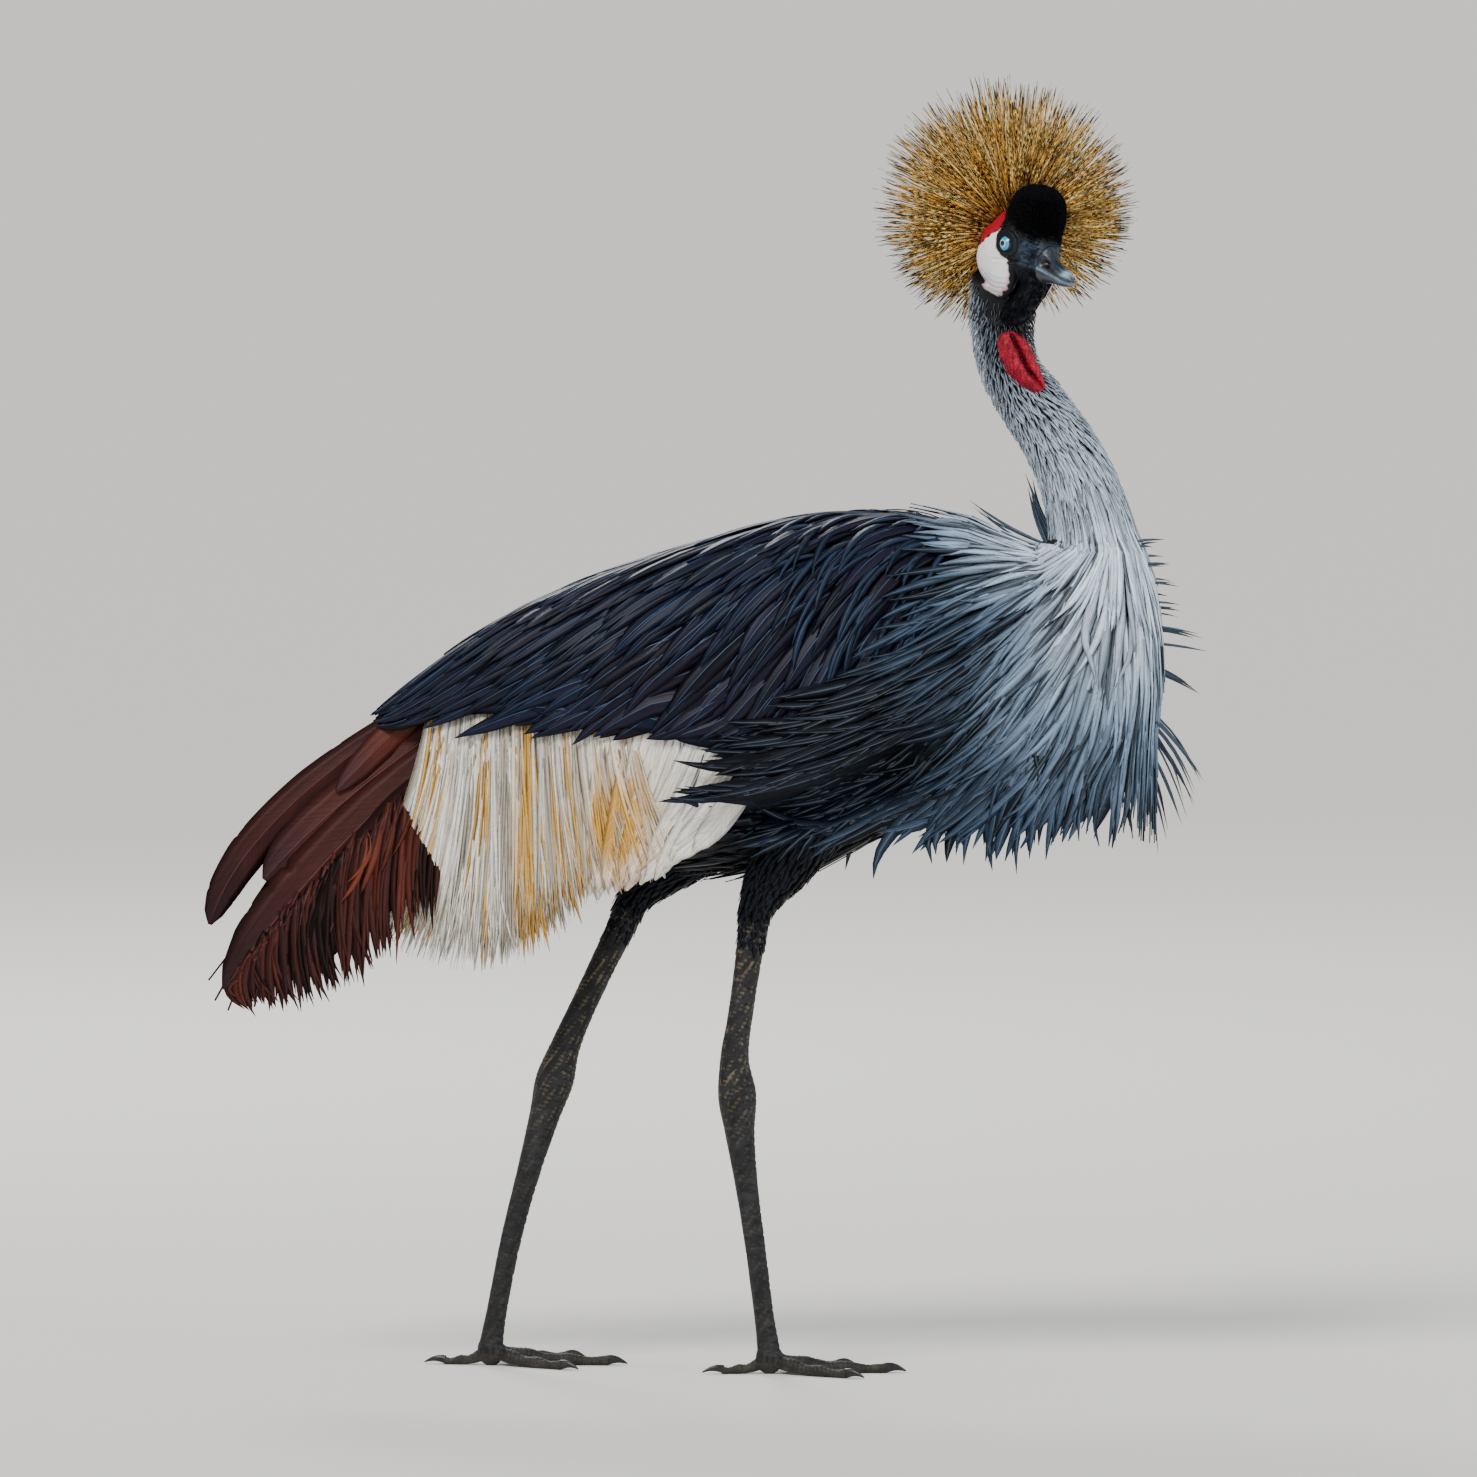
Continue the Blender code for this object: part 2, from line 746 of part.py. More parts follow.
def dark_wing(left, grow=0.0):
    """The folded wing's dark scapulars and coverts, row under row from the shoulder to the tip."""
    rng = random.Random(SEED + left)
    pieces = []
    for column in range(8):
        x = 0.150 - 0.046 * column
        rows = max(2, round(wing_girth(x) / WING_ROW))
        for row in range(rows):
            f = (row + 0.25 + 0.5 * (column % 2)) / rows
            if f > 0.82 or (x > 0.09 and f > 0.65):
                continue
            front = min(1.0, max(0.0, (x + 0.15) / 0.25))
            slant = 6.0 + 26.0 * math.sin(math.pi * min(f, 0.96)) * (0.35 + 0.65 * front)
            length = rng.uniform(0.078, 0.092) * (1.0 if x > -0.1 else 0.86)
            width = rng.uniform(0.0235, 0.0265) * (1.0 if x > -0.1 else 0.84)
            slant += rng.uniform(-2.5, 2.5)
            pieces.append(wing_feather(left, x, f, length, slant, WING_LIFT, width, FEATHER, 16.0, 3, grow))
    for x, f, length, slant in LOWER_EDGE_FEATHERS:
        shape = (length, slant, EDGE_LIFT, EDGE_WIDTH, BROAD_FEATHER, -10.0, 4, grow)
        pieces.append(wing_feather(left, x, f, *shape))
    return fuse(dark_base(left, grow), pieces)


# Width of the feathers along the lower edge
EDGE_WIDTH = 0.024
# Distance from row to row of the wing's feathers, round the flank
WING_ROW = 0.033
# Thickness of a feather of the wing, and of the dark base at its lower edge
FEATHER_THICK = 0.0016
DARK_EDGE_THICK = 0.0030
# Feathers along the dark wing's lower edge: root x, share from ridge to edge, length, fall
LOWER_EDGE_FEATHERS = [
    (0.150, 0.90, 0.105, 14.0),
    (0.098, 0.90, 0.100, 14.0),
    (0.050, 0.93, 0.086, 12.0),
    (-0.010, 0.86, 0.120, 13.0),
    (-0.075, 0.90, 0.085, 10.0),
    (-0.118, 0.86, 0.090, 6.0),
    (-0.165, 0.84, 0.082, 4.0),
    (-0.172, 0.40, 0.088, 2.0),
]


def gold_base(left):
    """The skin of the white and gold feathers, to half way down them."""
    return flank_plate(
        left,
        [row[0] for row in GOLD],
        lambda x: dark_edge(x) - 12.0,
        lambda x: dark_edge(x) + 0.45 * (gold_edge(x) - dark_edge(x)),
        lambda x, angle: -GOLD_DEPTH,
        lambda x, angle: -0.0085,
        3,
    )


# How far in the gold feathers' base starts, and the height of their tiers over it from root to tip
GOLD_DEPTH = 0.0028
GOLD_LIFTS = [
    [(0.0, -0.0013), (0.26, 0.0002), (0.54, 0.0026), (0.80, 0.0040), (1.0, 0.0044)],
    [(0.0, -0.0013), (0.26, 0.0009), (0.54, 0.0010), (0.80, 0.0010), (1.0, 0.0010)],
]


def hanging_lock(left, x, angle, length, lean, lift, width, sides=3):
    """A lock that hangs down the flank from an angle, and leans forward by its lean in degrees."""

    def place(t):
        spot_x = x + length * t * math.sin(math.radians(lean)) * (0.5 + 0.5 * t)
        spot = angle + length * t * math.cos(math.radians(lean)) / 0.001
        return flank(spot_x, spot, lifted(lift, t) - GOLD_DEPTH, left), flank_out(spot_x, spot, left)

    shares = LONG_LOCK if length > 0.09 else LOCK
    return vane(place, shares, width, PLUME_THICK, sides, math.radians(left * 3.0))


def gold_wing(left, rng):
    """The long loose white and gold feathers that hang under the dark wing."""
    pieces = []
    for tier, (share, count, width) in enumerate(((0.0, 12, 0.0150), (0.44, 11, 0.0160))):
        for k in range(count):
            f = (k + 0.5) / count
            x = -0.211 + 0.165 * f + rng.uniform(-0.002, 0.002)
            top, low = dark_edge(x) + 2.0, gold_edge(x)
            start = top + share * (low - top) + rng.uniform(-6, 6)
            reach = (low - start) * 0.001 + rng.uniform(-0.012, 0.004)
            if tier == 0:
                reach *= rng.uniform(0.72, 0.86)
            lean = -7.0 + 22.0 * f + rng.uniform(-3, 3)
            pieces.append(hanging_lock(left, x, start, reach, lean, GOLD_LIFTS[tier], width))
    for x, lean in ((-0.045, -16.0), (-0.022, -24.0), (0.002, -32.0), (0.022, -38.0)):
        start = dark_edge(x) + 2.0
        reach = (gold_edge(x - 0.025) - start) * 0.00108
        pieces.append(hanging_lock(left, x, start, reach, lean, GOLD_LIFTS[1], 0.026))
    whole = thinned(fuse(cut(gold_base(left), [dark_base(left, GAP)]), pieces), GOLD_TRIANGLES)
    return cut(whole, [dark_wing(left, 1.2 * GAP)])


def rear_side(x, z, out):
    """How far from the middle the feathers behind the rump lie."""
    start, spread = read(REAR, x)
    return start + max(0.0, read(BACK_LINE, x)[0] - z) * spread + out


# Chestnut secondaries, in the side view: root, bend and tip as x and height, width, layer over the base
SECONDARIES = [
    ("inner", (-0.150, 0.505), (-0.225, 0.440), (-0.262, 0.352), 0.040, 0.0015),
    ("long", (-0.165, 0.520), (-0.285, 0.415), (-0.378, 0.300), 0.046, 0.0030),
    ("broad", (-0.170, 0.530), (-0.275, 0.455), (-0.347, 0.386), 0.036, 0.0052),
    ("back", (-0.200, 0.534), (-0.330, 0.440), (-0.3895, 0.350), 0.026, 0.0030),
    ("upper", (-0.185, 0.545), (-0.235, 0.510), (-0.2905, 0.4545), 0.024, 0.0070),
]
# Loose barbs that hang from the long secondary
BARB_COUNT = 10
BARB_WIDTH = 0.0135


def bent(root, bend, tip, t):
    """A point of the curve from root to tip that passes its bend half way."""
    control = [2 * b - 0.5 * (a + c) for a, b, c in zip(root, bend, tip)]
    return tuple((1 - t) ** 2 * a + 2 * t * (1 - t) * b + t * t * c for a, b, c in zip(root, control, tip))


def rear_place(left, root, bend, tip, low, high):
    """A place function for a feather behind the rump, low over the base at its root and high at its tip."""

    def place(t):
        x, z = bent(root, bend, tip, t)
        y = rear_side(x, z, low + (high - low) * t)
        slope = read(REAR, x)[1]
        return Vector((x, left * y, z)), Vector((0.0, left, slope)).normalized()

    return place


def rear_base(left):
    """The quills and inner vanes that the secondaries share, to half way to their tips."""
    outer, inner = [], []
    for x, top, low in REAR_BASE:
        heights = [top + (low - top) * k / 4 for k in range(5)]
        outer.append([Vector((x, left * rear_side(x, z, 0.0012), z)) for z in heights])
        inner.append([Vector((x, left * rear_side(x, z, -0.0012), z)) for z in heights])
    return plate(outer, inner)


# Base of the secondaries: x, top and bottom
REAR_BASE = [
    (-0.148, 0.556, 0.490),
    (-0.185, 0.546, 0.455),
    (-0.220, 0.532, 0.420),
    (-0.255, 0.506, 0.392),
    (-0.290, 0.474, 0.368),
    (-0.320, 0.440, 0.352),
]


def secondaries(left, rng):
    pieces = []
    for _, root, bend, tip, width, layer in SECONDARIES:
        place = rear_place(left, root, bend, tip, 0.0, layer)
        pieces.append(vane(place, BROAD_FEATHER, width, 0.0018))
    _, root, bend, tip, _, _ = SECONDARIES[1]
    carrier = skin_of(pieces[1])
    for k in range(BARB_COUNT):
        f = k / (BARB_COUNT - 1)
        x, z = bent(root, bend, tip, 0.30 + 0.58 * f)
        z -= 0.004
        spot, _, _, _ = carrier.ray_cast(Vector((x, left * 0.2, z)), -LEFT * left)
        over = left * spot.y - rear_side(x, z, 0.0) - 0.0006
        low_x, low_z = bent((-0.222, 0.366), (-0.292, 0.306), (-0.360, 0.290), f)
        low_x += rng.uniform(-0.003, 0.003)
        low_z += rng.uniform(-0.004, 0.006)
        middle = (0.55 * x + 0.45 * low_x - 0.004, 0.5 * (z + low_z))
        place = rear_place(left, (x, z), middle, (low_x, low_z), over, 0.0020 - 0.0024 * (k % 2))
        pieces.append(vane(place, LONG_LOCK, BARB_WIDTH, 0.0018, 3))
    return thinned(fuse(rear_base(left), pieces), SECONDARY_TRIANGLES)


# Tail feathers under the secondaries: how far aside and under the first, tip x and height, width
TAIL = [
    (0.0000, 0.0000, -0.391, 0.306, 0.020),
    (0.0060, 0.0024, -0.384, 0.292, 0.020),
    (0.0095, 0.0048, -0.372, 0.286, 0.018),
]
TAIL_CORE = [(-0.2285, 0.494, 0.0090), (-0.2500, 0.470, 0.0070), (-0.2850, 0.425, 0.0020)]


def tail(grow=0.0):
    """Black tail feathers, stacked like a roof under the secondaries."""
    pieces = []
    rows = [(x, 0.0, z, radius + grow) for x, z, radius in TAIL_CORE]
    core = oval_rod(rows, 10)
    for left in (-1, 1):
        for aside, under, tip_x, tip_z, width in TAIL:
            if left > 0 and aside == 0.0:
                continue

            def place(t, aside=aside, under=under, tip_x=tip_x, tip_z=tip_z, left=left):
                x, z = bent((-0.234, 0.482), (-0.312, 0.402), (tip_x, tip_z), t)
                out = Vector((0.75, 0.0, 0.62))
                return Vector((x, left * aside * t, z)) - out * under * min(1.0, 4 * t), out

            pieces.append(vane(place, BROAD_FEATHER, width + 2 * grow, FEATHER_THICK + 2 * grow))
    return thinned(fuse(core, pieces), TAIL_TRIANGLES)


def oval_rod(rows, sides):
    """A rod of round sections through x, y, z, radius."""
    rings = []
    last = len(rows) - 1
    for i, row in enumerate(rows):
        before, after = Vector(rows[max(i - 1, 0)][:3]), Vector(rows[min(i + 1, last)][:3])
        heading = (after - before).normalized()
        side = heading.cross(UP if abs(heading.z) < 0.9 else AHEAD).normalized()
        up = side.cross(heading)
        rings.append(oval(Vector(row[:3]), side, up, row[3], row[3], row[3], sides))
    return loft(rings)


# How high over the mantle and the wings the plumes' path runs
PATH_LIFT = 0.0008


def mantle():
    rings = []
    for z, x, long, wide in MANTLE:
        spot = Vector((x, 0, z))
        rings.append(oval(spot, LEFT, AHEAD, wide, long, long, MANTLE_SIDES, MANTLE_POWER))
    return loft(rings)


def flow(turn):
    """The ruff's first heading, its bending and its reach at a turn from the front, in degrees."""
    return read(RUFF_FLOW, turn)


def plume_path(skins, left, turn, reach, step=0.008):
    """Marks (point, outward direction) down the neck and over the body, then hanging free below it."""
    first, bending, _ = flow(turn)
    middle, _, _, _, radius = neck_frame(ruff_share())
    around = math.radians(turn)
    out = Vector((math.cos(around), left * math.sin(around), 0.0))
    point = Vector((middle.x, 0.0, RUFF_START)) + out * radius
    marks = []
    free = False
    for i in range(int(reach / step) + 2):
        moved, away, height = clear_of(skins, point, PATH_LIFT)
        free = free or (away.z < -0.45 and height > PATH_LIFT)
        point = moved
        if not free:
            out = away
            point = point - out * min(max(0.0, height - PATH_LIFT), 0.5 * step)
        marks.append((point.copy(), out.copy()))
        angle = math.radians(first + bending * i * step)
        wish = Vector((-math.sin(angle), 0.10 * left * math.sin(around), -math.cos(angle)))
        heading = wish if free else wish - out * wish.dot(out) * 0.9
        point = point + heading.normalized() * step
    return marks


def ruff_share():
    """The neck's share at the height where the ruff starts."""
    low, high = NECK_CUT, 1.0
    for _ in range(20):
        middle = 0.5 * (low + high)
        if along(NECK, middle)[2] > RUFF_START:
            low = middle
        else:
            high = middle
    return low


# Height over the path from root to tip: in the mantle, or held by the plumes of the tier above
MANTLE_LIFT = [(0.0, -0.0023), (0.26, 0.0006), (0.54, 0.0020), (0.80, 0.0030), (1.0, 0.0040)]
HELD_LIFT = [(0.0, 0.0010), (0.26, 0.0003), (0.54, 0.0020), (0.80, 0.0030), (1.0, 0.0040)]


def plume(marks, start, length, lift, width, left, rng, step=0.008):
    """A lock along a path, from start on."""
    first = int(start / step)
    last = min(len(marks) - 1, int((start + length) / step))
    count = last - first
    bent_marks = []
    for i in range(first, last + 1):
        point, out = marks[i]
        bent_marks.append((point + out * lifted(lift, (i - first) / count), out))
    roll = math.radians(left * 3.0 + rng.uniform(-1.0, 1.0))
    return vane(on_line(bent_marks), PLUME, width, PLUME_THICK, 3, roll)


def ruff_plumes(skins, rng):
    pieces = []
    turns = [2.0 * k for k in range(91)]
    paths = {left: [plume_path(skins, left, turn, flow(turn)[2]) for turn in turns] for left in (-1, 1)}
    for left in (-1, 1):
        for tier in range(7):
            start = TIER_STEP * tier
            previous = None
            for turn, marks in zip(turns, paths[left]):
                reach = flow(turn)[2]
                length = min(rng.uniform(0.100, 0.120), reach - start)
                if length < 0.062:
                    continue
                if left > 0 and turn in (0.0, 180.0):
                    continue
                middle = marks[min(len(marks) - 1, int((start + 0.55 * length) / 0.008))][0]
                if previous and (middle - previous).length < PLUME_SPACING:
                    continue
                previous = middle
                length *= rng.uniform(0.92, 1.0)
                root, out = marks[int(start / 0.008)]
                spot, _, _, depth = skins[0].find_nearest(root)
                lift = MANTLE_LIFT if depth < 0.002 else HELD_LIFT
                width = PLUME_WIDTH * rng.uniform(0.9, 1.1)
                pieces.append(plume(marks, start, length, lift, width, left, rng))
    return pieces


# Thin stray plumes: root x and height, how far aside, tip ahead of the root and over it
STRAYS = [
    (0.2680, 0.6560, 0.010, -0.0180, 0.0440),
    (0.2640, 0.6540, -0.008, -0.0130, 0.0400),
    (0.2740, 0.6600, -0.004, -0.0120, 0.0360),
    (0.2520, 0.6490, 0.012, -0.0500, 0.0290),
    (0.2500, 0.6480, -0.012, -0.0580, 0.0240),
    (0.3280, 0.6450, -0.004, 0.0240, 0.0020),
    (0.3300, 0.6300, 0.004, 0.0280, 0.0030),
    (0.3330, 0.6140, -0.005, 0.0320, -0.0005),
    (0.3380, 0.5950, 0.003, 0.0340, -0.0020),
    (0.3430, 0.5750, -0.004, 0.0460, -0.0060),
    (0.3440, 0.5480, 0.005, 0.0420, -0.0180),
    (0.3440, 0.5150, -0.006, 0.0480, -0.0560),
    (0.3400, 0.5080, 0.004, 0.0430, -0.0620),
]


def strays():
    pieces = []
    for x, z, aside, ahead, over in STRAYS:
        root = Vector((x, aside, z))
        way = Vector((ahead, 0.3 * aside, over))
        bend = way.cross(LEFT).normalized() * 0.06 * way.length

        def place(t, root=root, way=way, bend=bend):
            return root + way * t + bend * math.sin(math.pi * t), LEFT

        pieces.append(vane(place, BRISTLE, 0.0022, 0.0020, 3))
    return pieces


def head_axes():
    turn, nod, tilt = (math.radians(v) for v in (HEAD_TURN, HEAD_NOD, HEAD_TILT))
    return Matrix.Rotation(-turn, 3, "Z") @ Matrix.Rotation(nod, 3, "Y") @ Matrix.Rotation(-tilt, 3, "X")


HEAD_FRAME = head_axes()


def on_head(forward, left, up):
    """A place given in the head's own directions, measured from between the eyes."""
    return EYES_MIDDLE + HEAD_FRAME @ Vector((forward, left, up))


# Skull and jaw: forward, top, bottom, half width
HEAD = [
    (-0.0450, -0.0020, -0.0180, 0.0070),
    (-0.0410, 0.0080, -0.0260, 0.0158),
    (-0.0320, 0.0175, -0.0340, 0.0218),
    (-0.0200, 0.0235, -0.0385, 0.0238),
    (-0.0060, 0.0250, -0.0390, 0.0230),
    (0.0060, 0.0235, -0.0370, 0.0205),
    (0.0160, 0.0185, -0.0335, 0.0165),
    (0.0240, 0.0105, -0.0300, 0.0130),
    (0.0290, 0.0030, -0.0280, 0.0110),
]
HEAD_SIDES = 18
# Bare cheek: forward, aside and up of its middle, then its half length, half thickness and half height
CHEEK = [
    (-0.0220, 0.0172, -0.0170, 0.0235, 0.0122, 0.0245),
    (-0.0105, 0.0160, -0.0292, 0.0190, 0.0098, 0.0208),
]
# Lappet that hangs from the cheek: forward, aside, up, half width
LAPPET = [
    (-0.0060, 0.0170, -0.0300, 0.0070),
    (-0.0055, 0.0180, -0.0380, 0.0080),
    (-0.0050, 0.0180, -0.0440, 0.0064),
    (-0.0045, 0.0178, -0.0485, 0.0030),
]


def stretched_ball(middle, radii, rings, sides):
    """An oval ball with its three radii along the head's directions."""
    points, faces = ball(Vector((0, 0, 0)), 1.0, rings, sides)
    placed = []
    for p in points:
        placed.append(on_head(*[m + r * c for m, r, c in zip(middle, radii, p)]))
    return facing_out(placed, faces)


def skull(grow=0.0):
    rings = []
    for forward, top, bottom, half in HEAD:
        middle = bottom + 0.55 * (top - bottom)
        spot = Vector((forward, 0, middle))
        ring = oval(spot, LEFT, UP, half + grow, top - middle + grow, middle - bottom + grow, HEAD_SIDES)
        rings.append(ring)
    for point in rings[0]:
        point.x -= grow
    for point in rings[-1]:
        point.x += grow
    return loft([[on_head(*point) for point in ring] for ring in rings])


def cheeks(grow=0.0):
    """The white cheeks and the lappets that hang from them."""
    pieces = []
    for left in (-1, 1):
        for forward, aside, up, long, thick, high in CHEEK:
            radii = (long + grow, thick + grow, high + grow)
            pieces.append(stretched_ball((forward, left * aside, up), radii, 6, 10))
        rings = []
        for forward, aside, up, half in LAPPET:
            spot = Vector((forward, left * aside, up - grow))
            ring = oval(spot, AHEAD, LEFT, half + grow, 0.45 * half + grow, 0.45 * half + grow, 6)
            rings.append([on_head(*point) for point in ring])
        pieces.append(loft(rings))
    return pieces


def head_whole(grow=0.0):
    nape = neck_tube(0.0, HEAD_CUT, 3, grow)
    return fuse(skull(grow), [nape, *cheeks(grow)])


# Eye: radius of the ball, its place from between the eyes, and its axis
EYE_RADIUS = 0.0080
EYE_PLACE = (-0.0010, 0.0168, -0.0020)
EYE_AXIS = (0.22, 0.97, 0.06)
# Lids: how far out along the axis their rim is, its half length and half height, and its thickness
LID = (0.0046, 0.0082, 0.0068, 0.0017)


def eye_middle(left):
    forward, side, up = EYE_PLACE
    return on_head(forward, left * side, up)


def eye_axis(left):
    forward, side, up = EYE_AXIS
    return (HEAD_FRAME @ Vector((forward, left * side, up))).normalized()


def eye(left, grow=0.0):
    return ball(eye_middle(left), EYE_RADIUS + grow, 7, 12, eye_axis(left))


def lids(left, grow=0.0):
    """The rim of the upper and the lower lid: longer than high, and thicker above."""
    out, long, high, thick = LID
    axis = eye_axis(left)
    middle = eye_middle(left) + axis * out
    up = HEAD_FRAME @ UP
    up = (up - axis * up.dot(axis)).normalized()
    ahead = up.cross(axis)
    count, sides = 14, 4
    rings = []
    for k in range(count):
        turn = 2 * math.pi * k / count
        radial = ahead * long * math.cos(turn) + up * high * math.sin(turn)
        way = radial.normalized()
        size = thick * (1.15 if math.sin(turn) > 0 else 0.90) + grow
        ring = []
        for j in range(sides):
            around = 2 * math.pi * j / sides
            ring.append(middle + radial + way * size * math.cos(around) + axis * size * math.sin(around))
        rings.append(ring)
    points = [p for ring in rings for p in ring]
    faces = []
    for k in range(count):
        for j in range(sides):
            a, b = k * sides + j, k * sides + (j + 1) % sides
            c, d = (a + sides) % len(points), (b + sides) % len(points)
            faces += [(a, b, d), (a, d, c)]
    return facing_out(points, faces)


# Line of the mouth on the head: forward, up, and half the width of its groove
MOUTH = [
    (-0.0090, -0.0190, 0.0004),
    (-0.0020, -0.0172, 0.0009),
    (0.0080, -0.0158, 0.0010),
    (0.0180, -0.0152, 0.0010),
    (0.0310, -0.0150, 0.0010),
]


def mouth_line(shape, left):
    """A thin groove cutter that runs along the head's side from the bill to the corner of the mouth."""
    skin = skin_of(shape)
    aside = HEAD_FRAME @ (LEFT * left)
    rings = []
    for forward, up, half in MOUTH:
        spot, _, _, _ = skin.ray_cast(on_head(min(forward, 0.0285), left * 0.06, up), -aside)
        spot = spot + HEAD_FRAME @ (AHEAD * max(0.0, forward - 0.0285))
        ring = oval(spot, aside, HEAD_FRAME @ UP, 0.0012, half, half, 6)
        rings.append(ring)
    return loft(rings)


# Bill: forward, top, middle line, bottom, half width
BILL = [
    (0.0296, 0.0022, -0.0150, -0.0275, 0.0106),
    (0.0360, -0.0028, -0.0155, -0.0258, 0.0092),
    (0.0440, -0.0062, -0.0162, -0.0242, 0.0078),
    (0.0540, -0.0086, -0.0172, -0.0230, 0.0064),
    (0.0630, -0.0112, -0.0184, -0.0222, 0.0048),
    (0.0700, -0.0158, -0.0206, -0.0216, 0.0018),
]
# Nostril slit: its middle forward, aside and up, then its half length, depth and half height
NOSTRIL = (0.0375, 0.0078, -0.0098, 0.0052, 0.0030, 0.0018)


def bill_half(upper):
    rings = []
    for forward, top, middle, bottom, half in BILL:
        low, high = (middle + GAP / 2, top) if upper else (bottom, middle - GAP / 2)
        ring = []
        for k in range(9):
            turn = math.pi * k / 8
            rise = (high - low) * math.sin(turn)
            ring.append((forward, half * math.cos(turn), low + rise if upper else high - rise))
        rings.append([on_head(*p) for p in ring])
    return loft(rings)


def nostrils():
    forward, aside, up, long, deep, high = NOSTRIL
    return [stretched_ball((forward, left * aside, up), (long, deep, high), 5, 8) for left in (-1, 1)]


# Velvet cap on the forehead: up, forward of its middle, half length, half width
CAP = [
    (0.0060, 0.0005, 0.0255, 0.0170),
    (0.0140, 0.0005, 0.0262, 0.0190),
    (0.0220, 0.0007, 0.0260, 0.0193),
    (0.0300, 0.0012, 0.0235, 0.0180),
    (0.0360, 0.0020, 0.0190, 0.0148),
    (0.0400, 0.0026, 0.0125, 0.0100),
    (0.0420, 0.0030, 0.0050, 0.0040),
]


def crown_cap(grow=0.0):
    rings = []
    for up, middle, length, half in CAP:
        spot = Vector((middle, 0, up))
        rings.append(oval(spot, LEFT, AHEAD, half + grow, length + grow, length + grow, 14))
    for point in rings[0]:
        point.z -= grow
    for point in rings[-1]:
        point.z += grow
    return loft([[on_head(*point) for point in ring] for ring in rings])


# Crest: the middle of its pad on the head, its axis, the pad's radius and the sphere of its tips
CREST_ROOT = Vector((-0.0280, 0.0, -0.0005))
CREST_AXIS = Vector((-0.80, 0.0, 0.60))
CREST_PAD = 0.0270
CREST_MIDDLE = 0.028
CREST_RADIUS = 0.100
CREST_COUNT = 140
CREST_OPENING = 104.0


def crest(rng):
    """Stiff bristles that stand out from a pad on the back of the head in all directions."""
    axis = (HEAD_FRAME @ CREST_AXIS).normalized()
    root = on_head(*CREST_ROOT)
    across = axis.orthogonal().normalized()
    other = axis.cross(across)
    low = math.cos(math.radians(CREST_OPENING))
    bristles = []
    for k in range(CREST_COUNT):
        c = 1.0 - (1.0 - low) * (k + 0.5) / CREST_COUNT
        s = math.sqrt(1.0 - c * c)
        turn = k * math.pi * (3.0 - math.sqrt(5.0)) + rng.uniform(-0.12, 0.12)
        way = (axis * c + (across * math.cos(turn) + other * math.sin(turn)) * s).normalized()
        # The tips lie on a sphere whose middle is ahead of the root along the axis
        shift = CREST_MIDDLE * c
        reach = shift + math.sqrt(CREST_RADIUS**2 - CREST_MIDDLE**2 * (1.0 - c * c))
        reach *= rng.uniform(0.93, 1.05)
        start = root + way * (CREST_PAD - 0.004)
        sag = Vector((0, 0, -1)) * rng.uniform(0.0, 0.05) * reach

        def place(t, start=start, way=way, reach=reach, sag=sag):
            return start + way * (reach - CREST_PAD + 0.004) * t + sag * t * t, across

        bristles.append(vane(place, BRISTLE, 0.0024, 0.0028, 3, rng.uniform(0, 3)))
    return fuse(ball(root, CREST_PAD, 7, 12, axis), bristles)


# Wattle on the throat: place on the neck from 0 to 1, how far its middle is aside, half width, how proud
WATTLE = [
    (0.1280, -0.0034, 0.0030, 0.0015),
    (0.1460, -0.0028, 0.0085, 0.0042),
    (0.1720, -0.0018, 0.0112, 0.0064),
    (0.2060, -0.0008, 0.0122, 0.0080),
    (0.2440, 0.0002, 0.0120, 0.0090),
    (0.2840, 0.0010, 0.0105, 0.0085),
    (0.3220, 0.0018, 0.0078, 0.0070),
    (0.3480, 0.0020, 0.0036, 0.0045),
]


def throat(t):
    """A point of the neck's front that turns with the head, its outward and its sideways direction."""
    middle, forward, side, _, radius = neck_frame(t)
    turn = math.radians(HEAD_TURN + 12.0 - 10.0 * min(1.0, t / 0.2))
    out = forward * math.cos(turn) - side * math.sin(turn)
    across = side * math.cos(turn) + forward * math.sin(turn)
    return middle + out * radius * 0.95, out, across


def wattle_fold(fold):
    """One of the two soft folds, with a crease where they meet."""
    rings = []
    for t, aside, half, proud in WATTLE:
        point, out, across = throat(t)
        point = point - out * 0.004 + across * (aside + fold * 0.52 * half)
        rings.append(oval(point, across, out, 0.56 * half, proud + 0.004, 0.004, 10))
    return loft(rings)


def wattle():
    return fuse(wattle_fold(-1), [wattle_fold(1)])


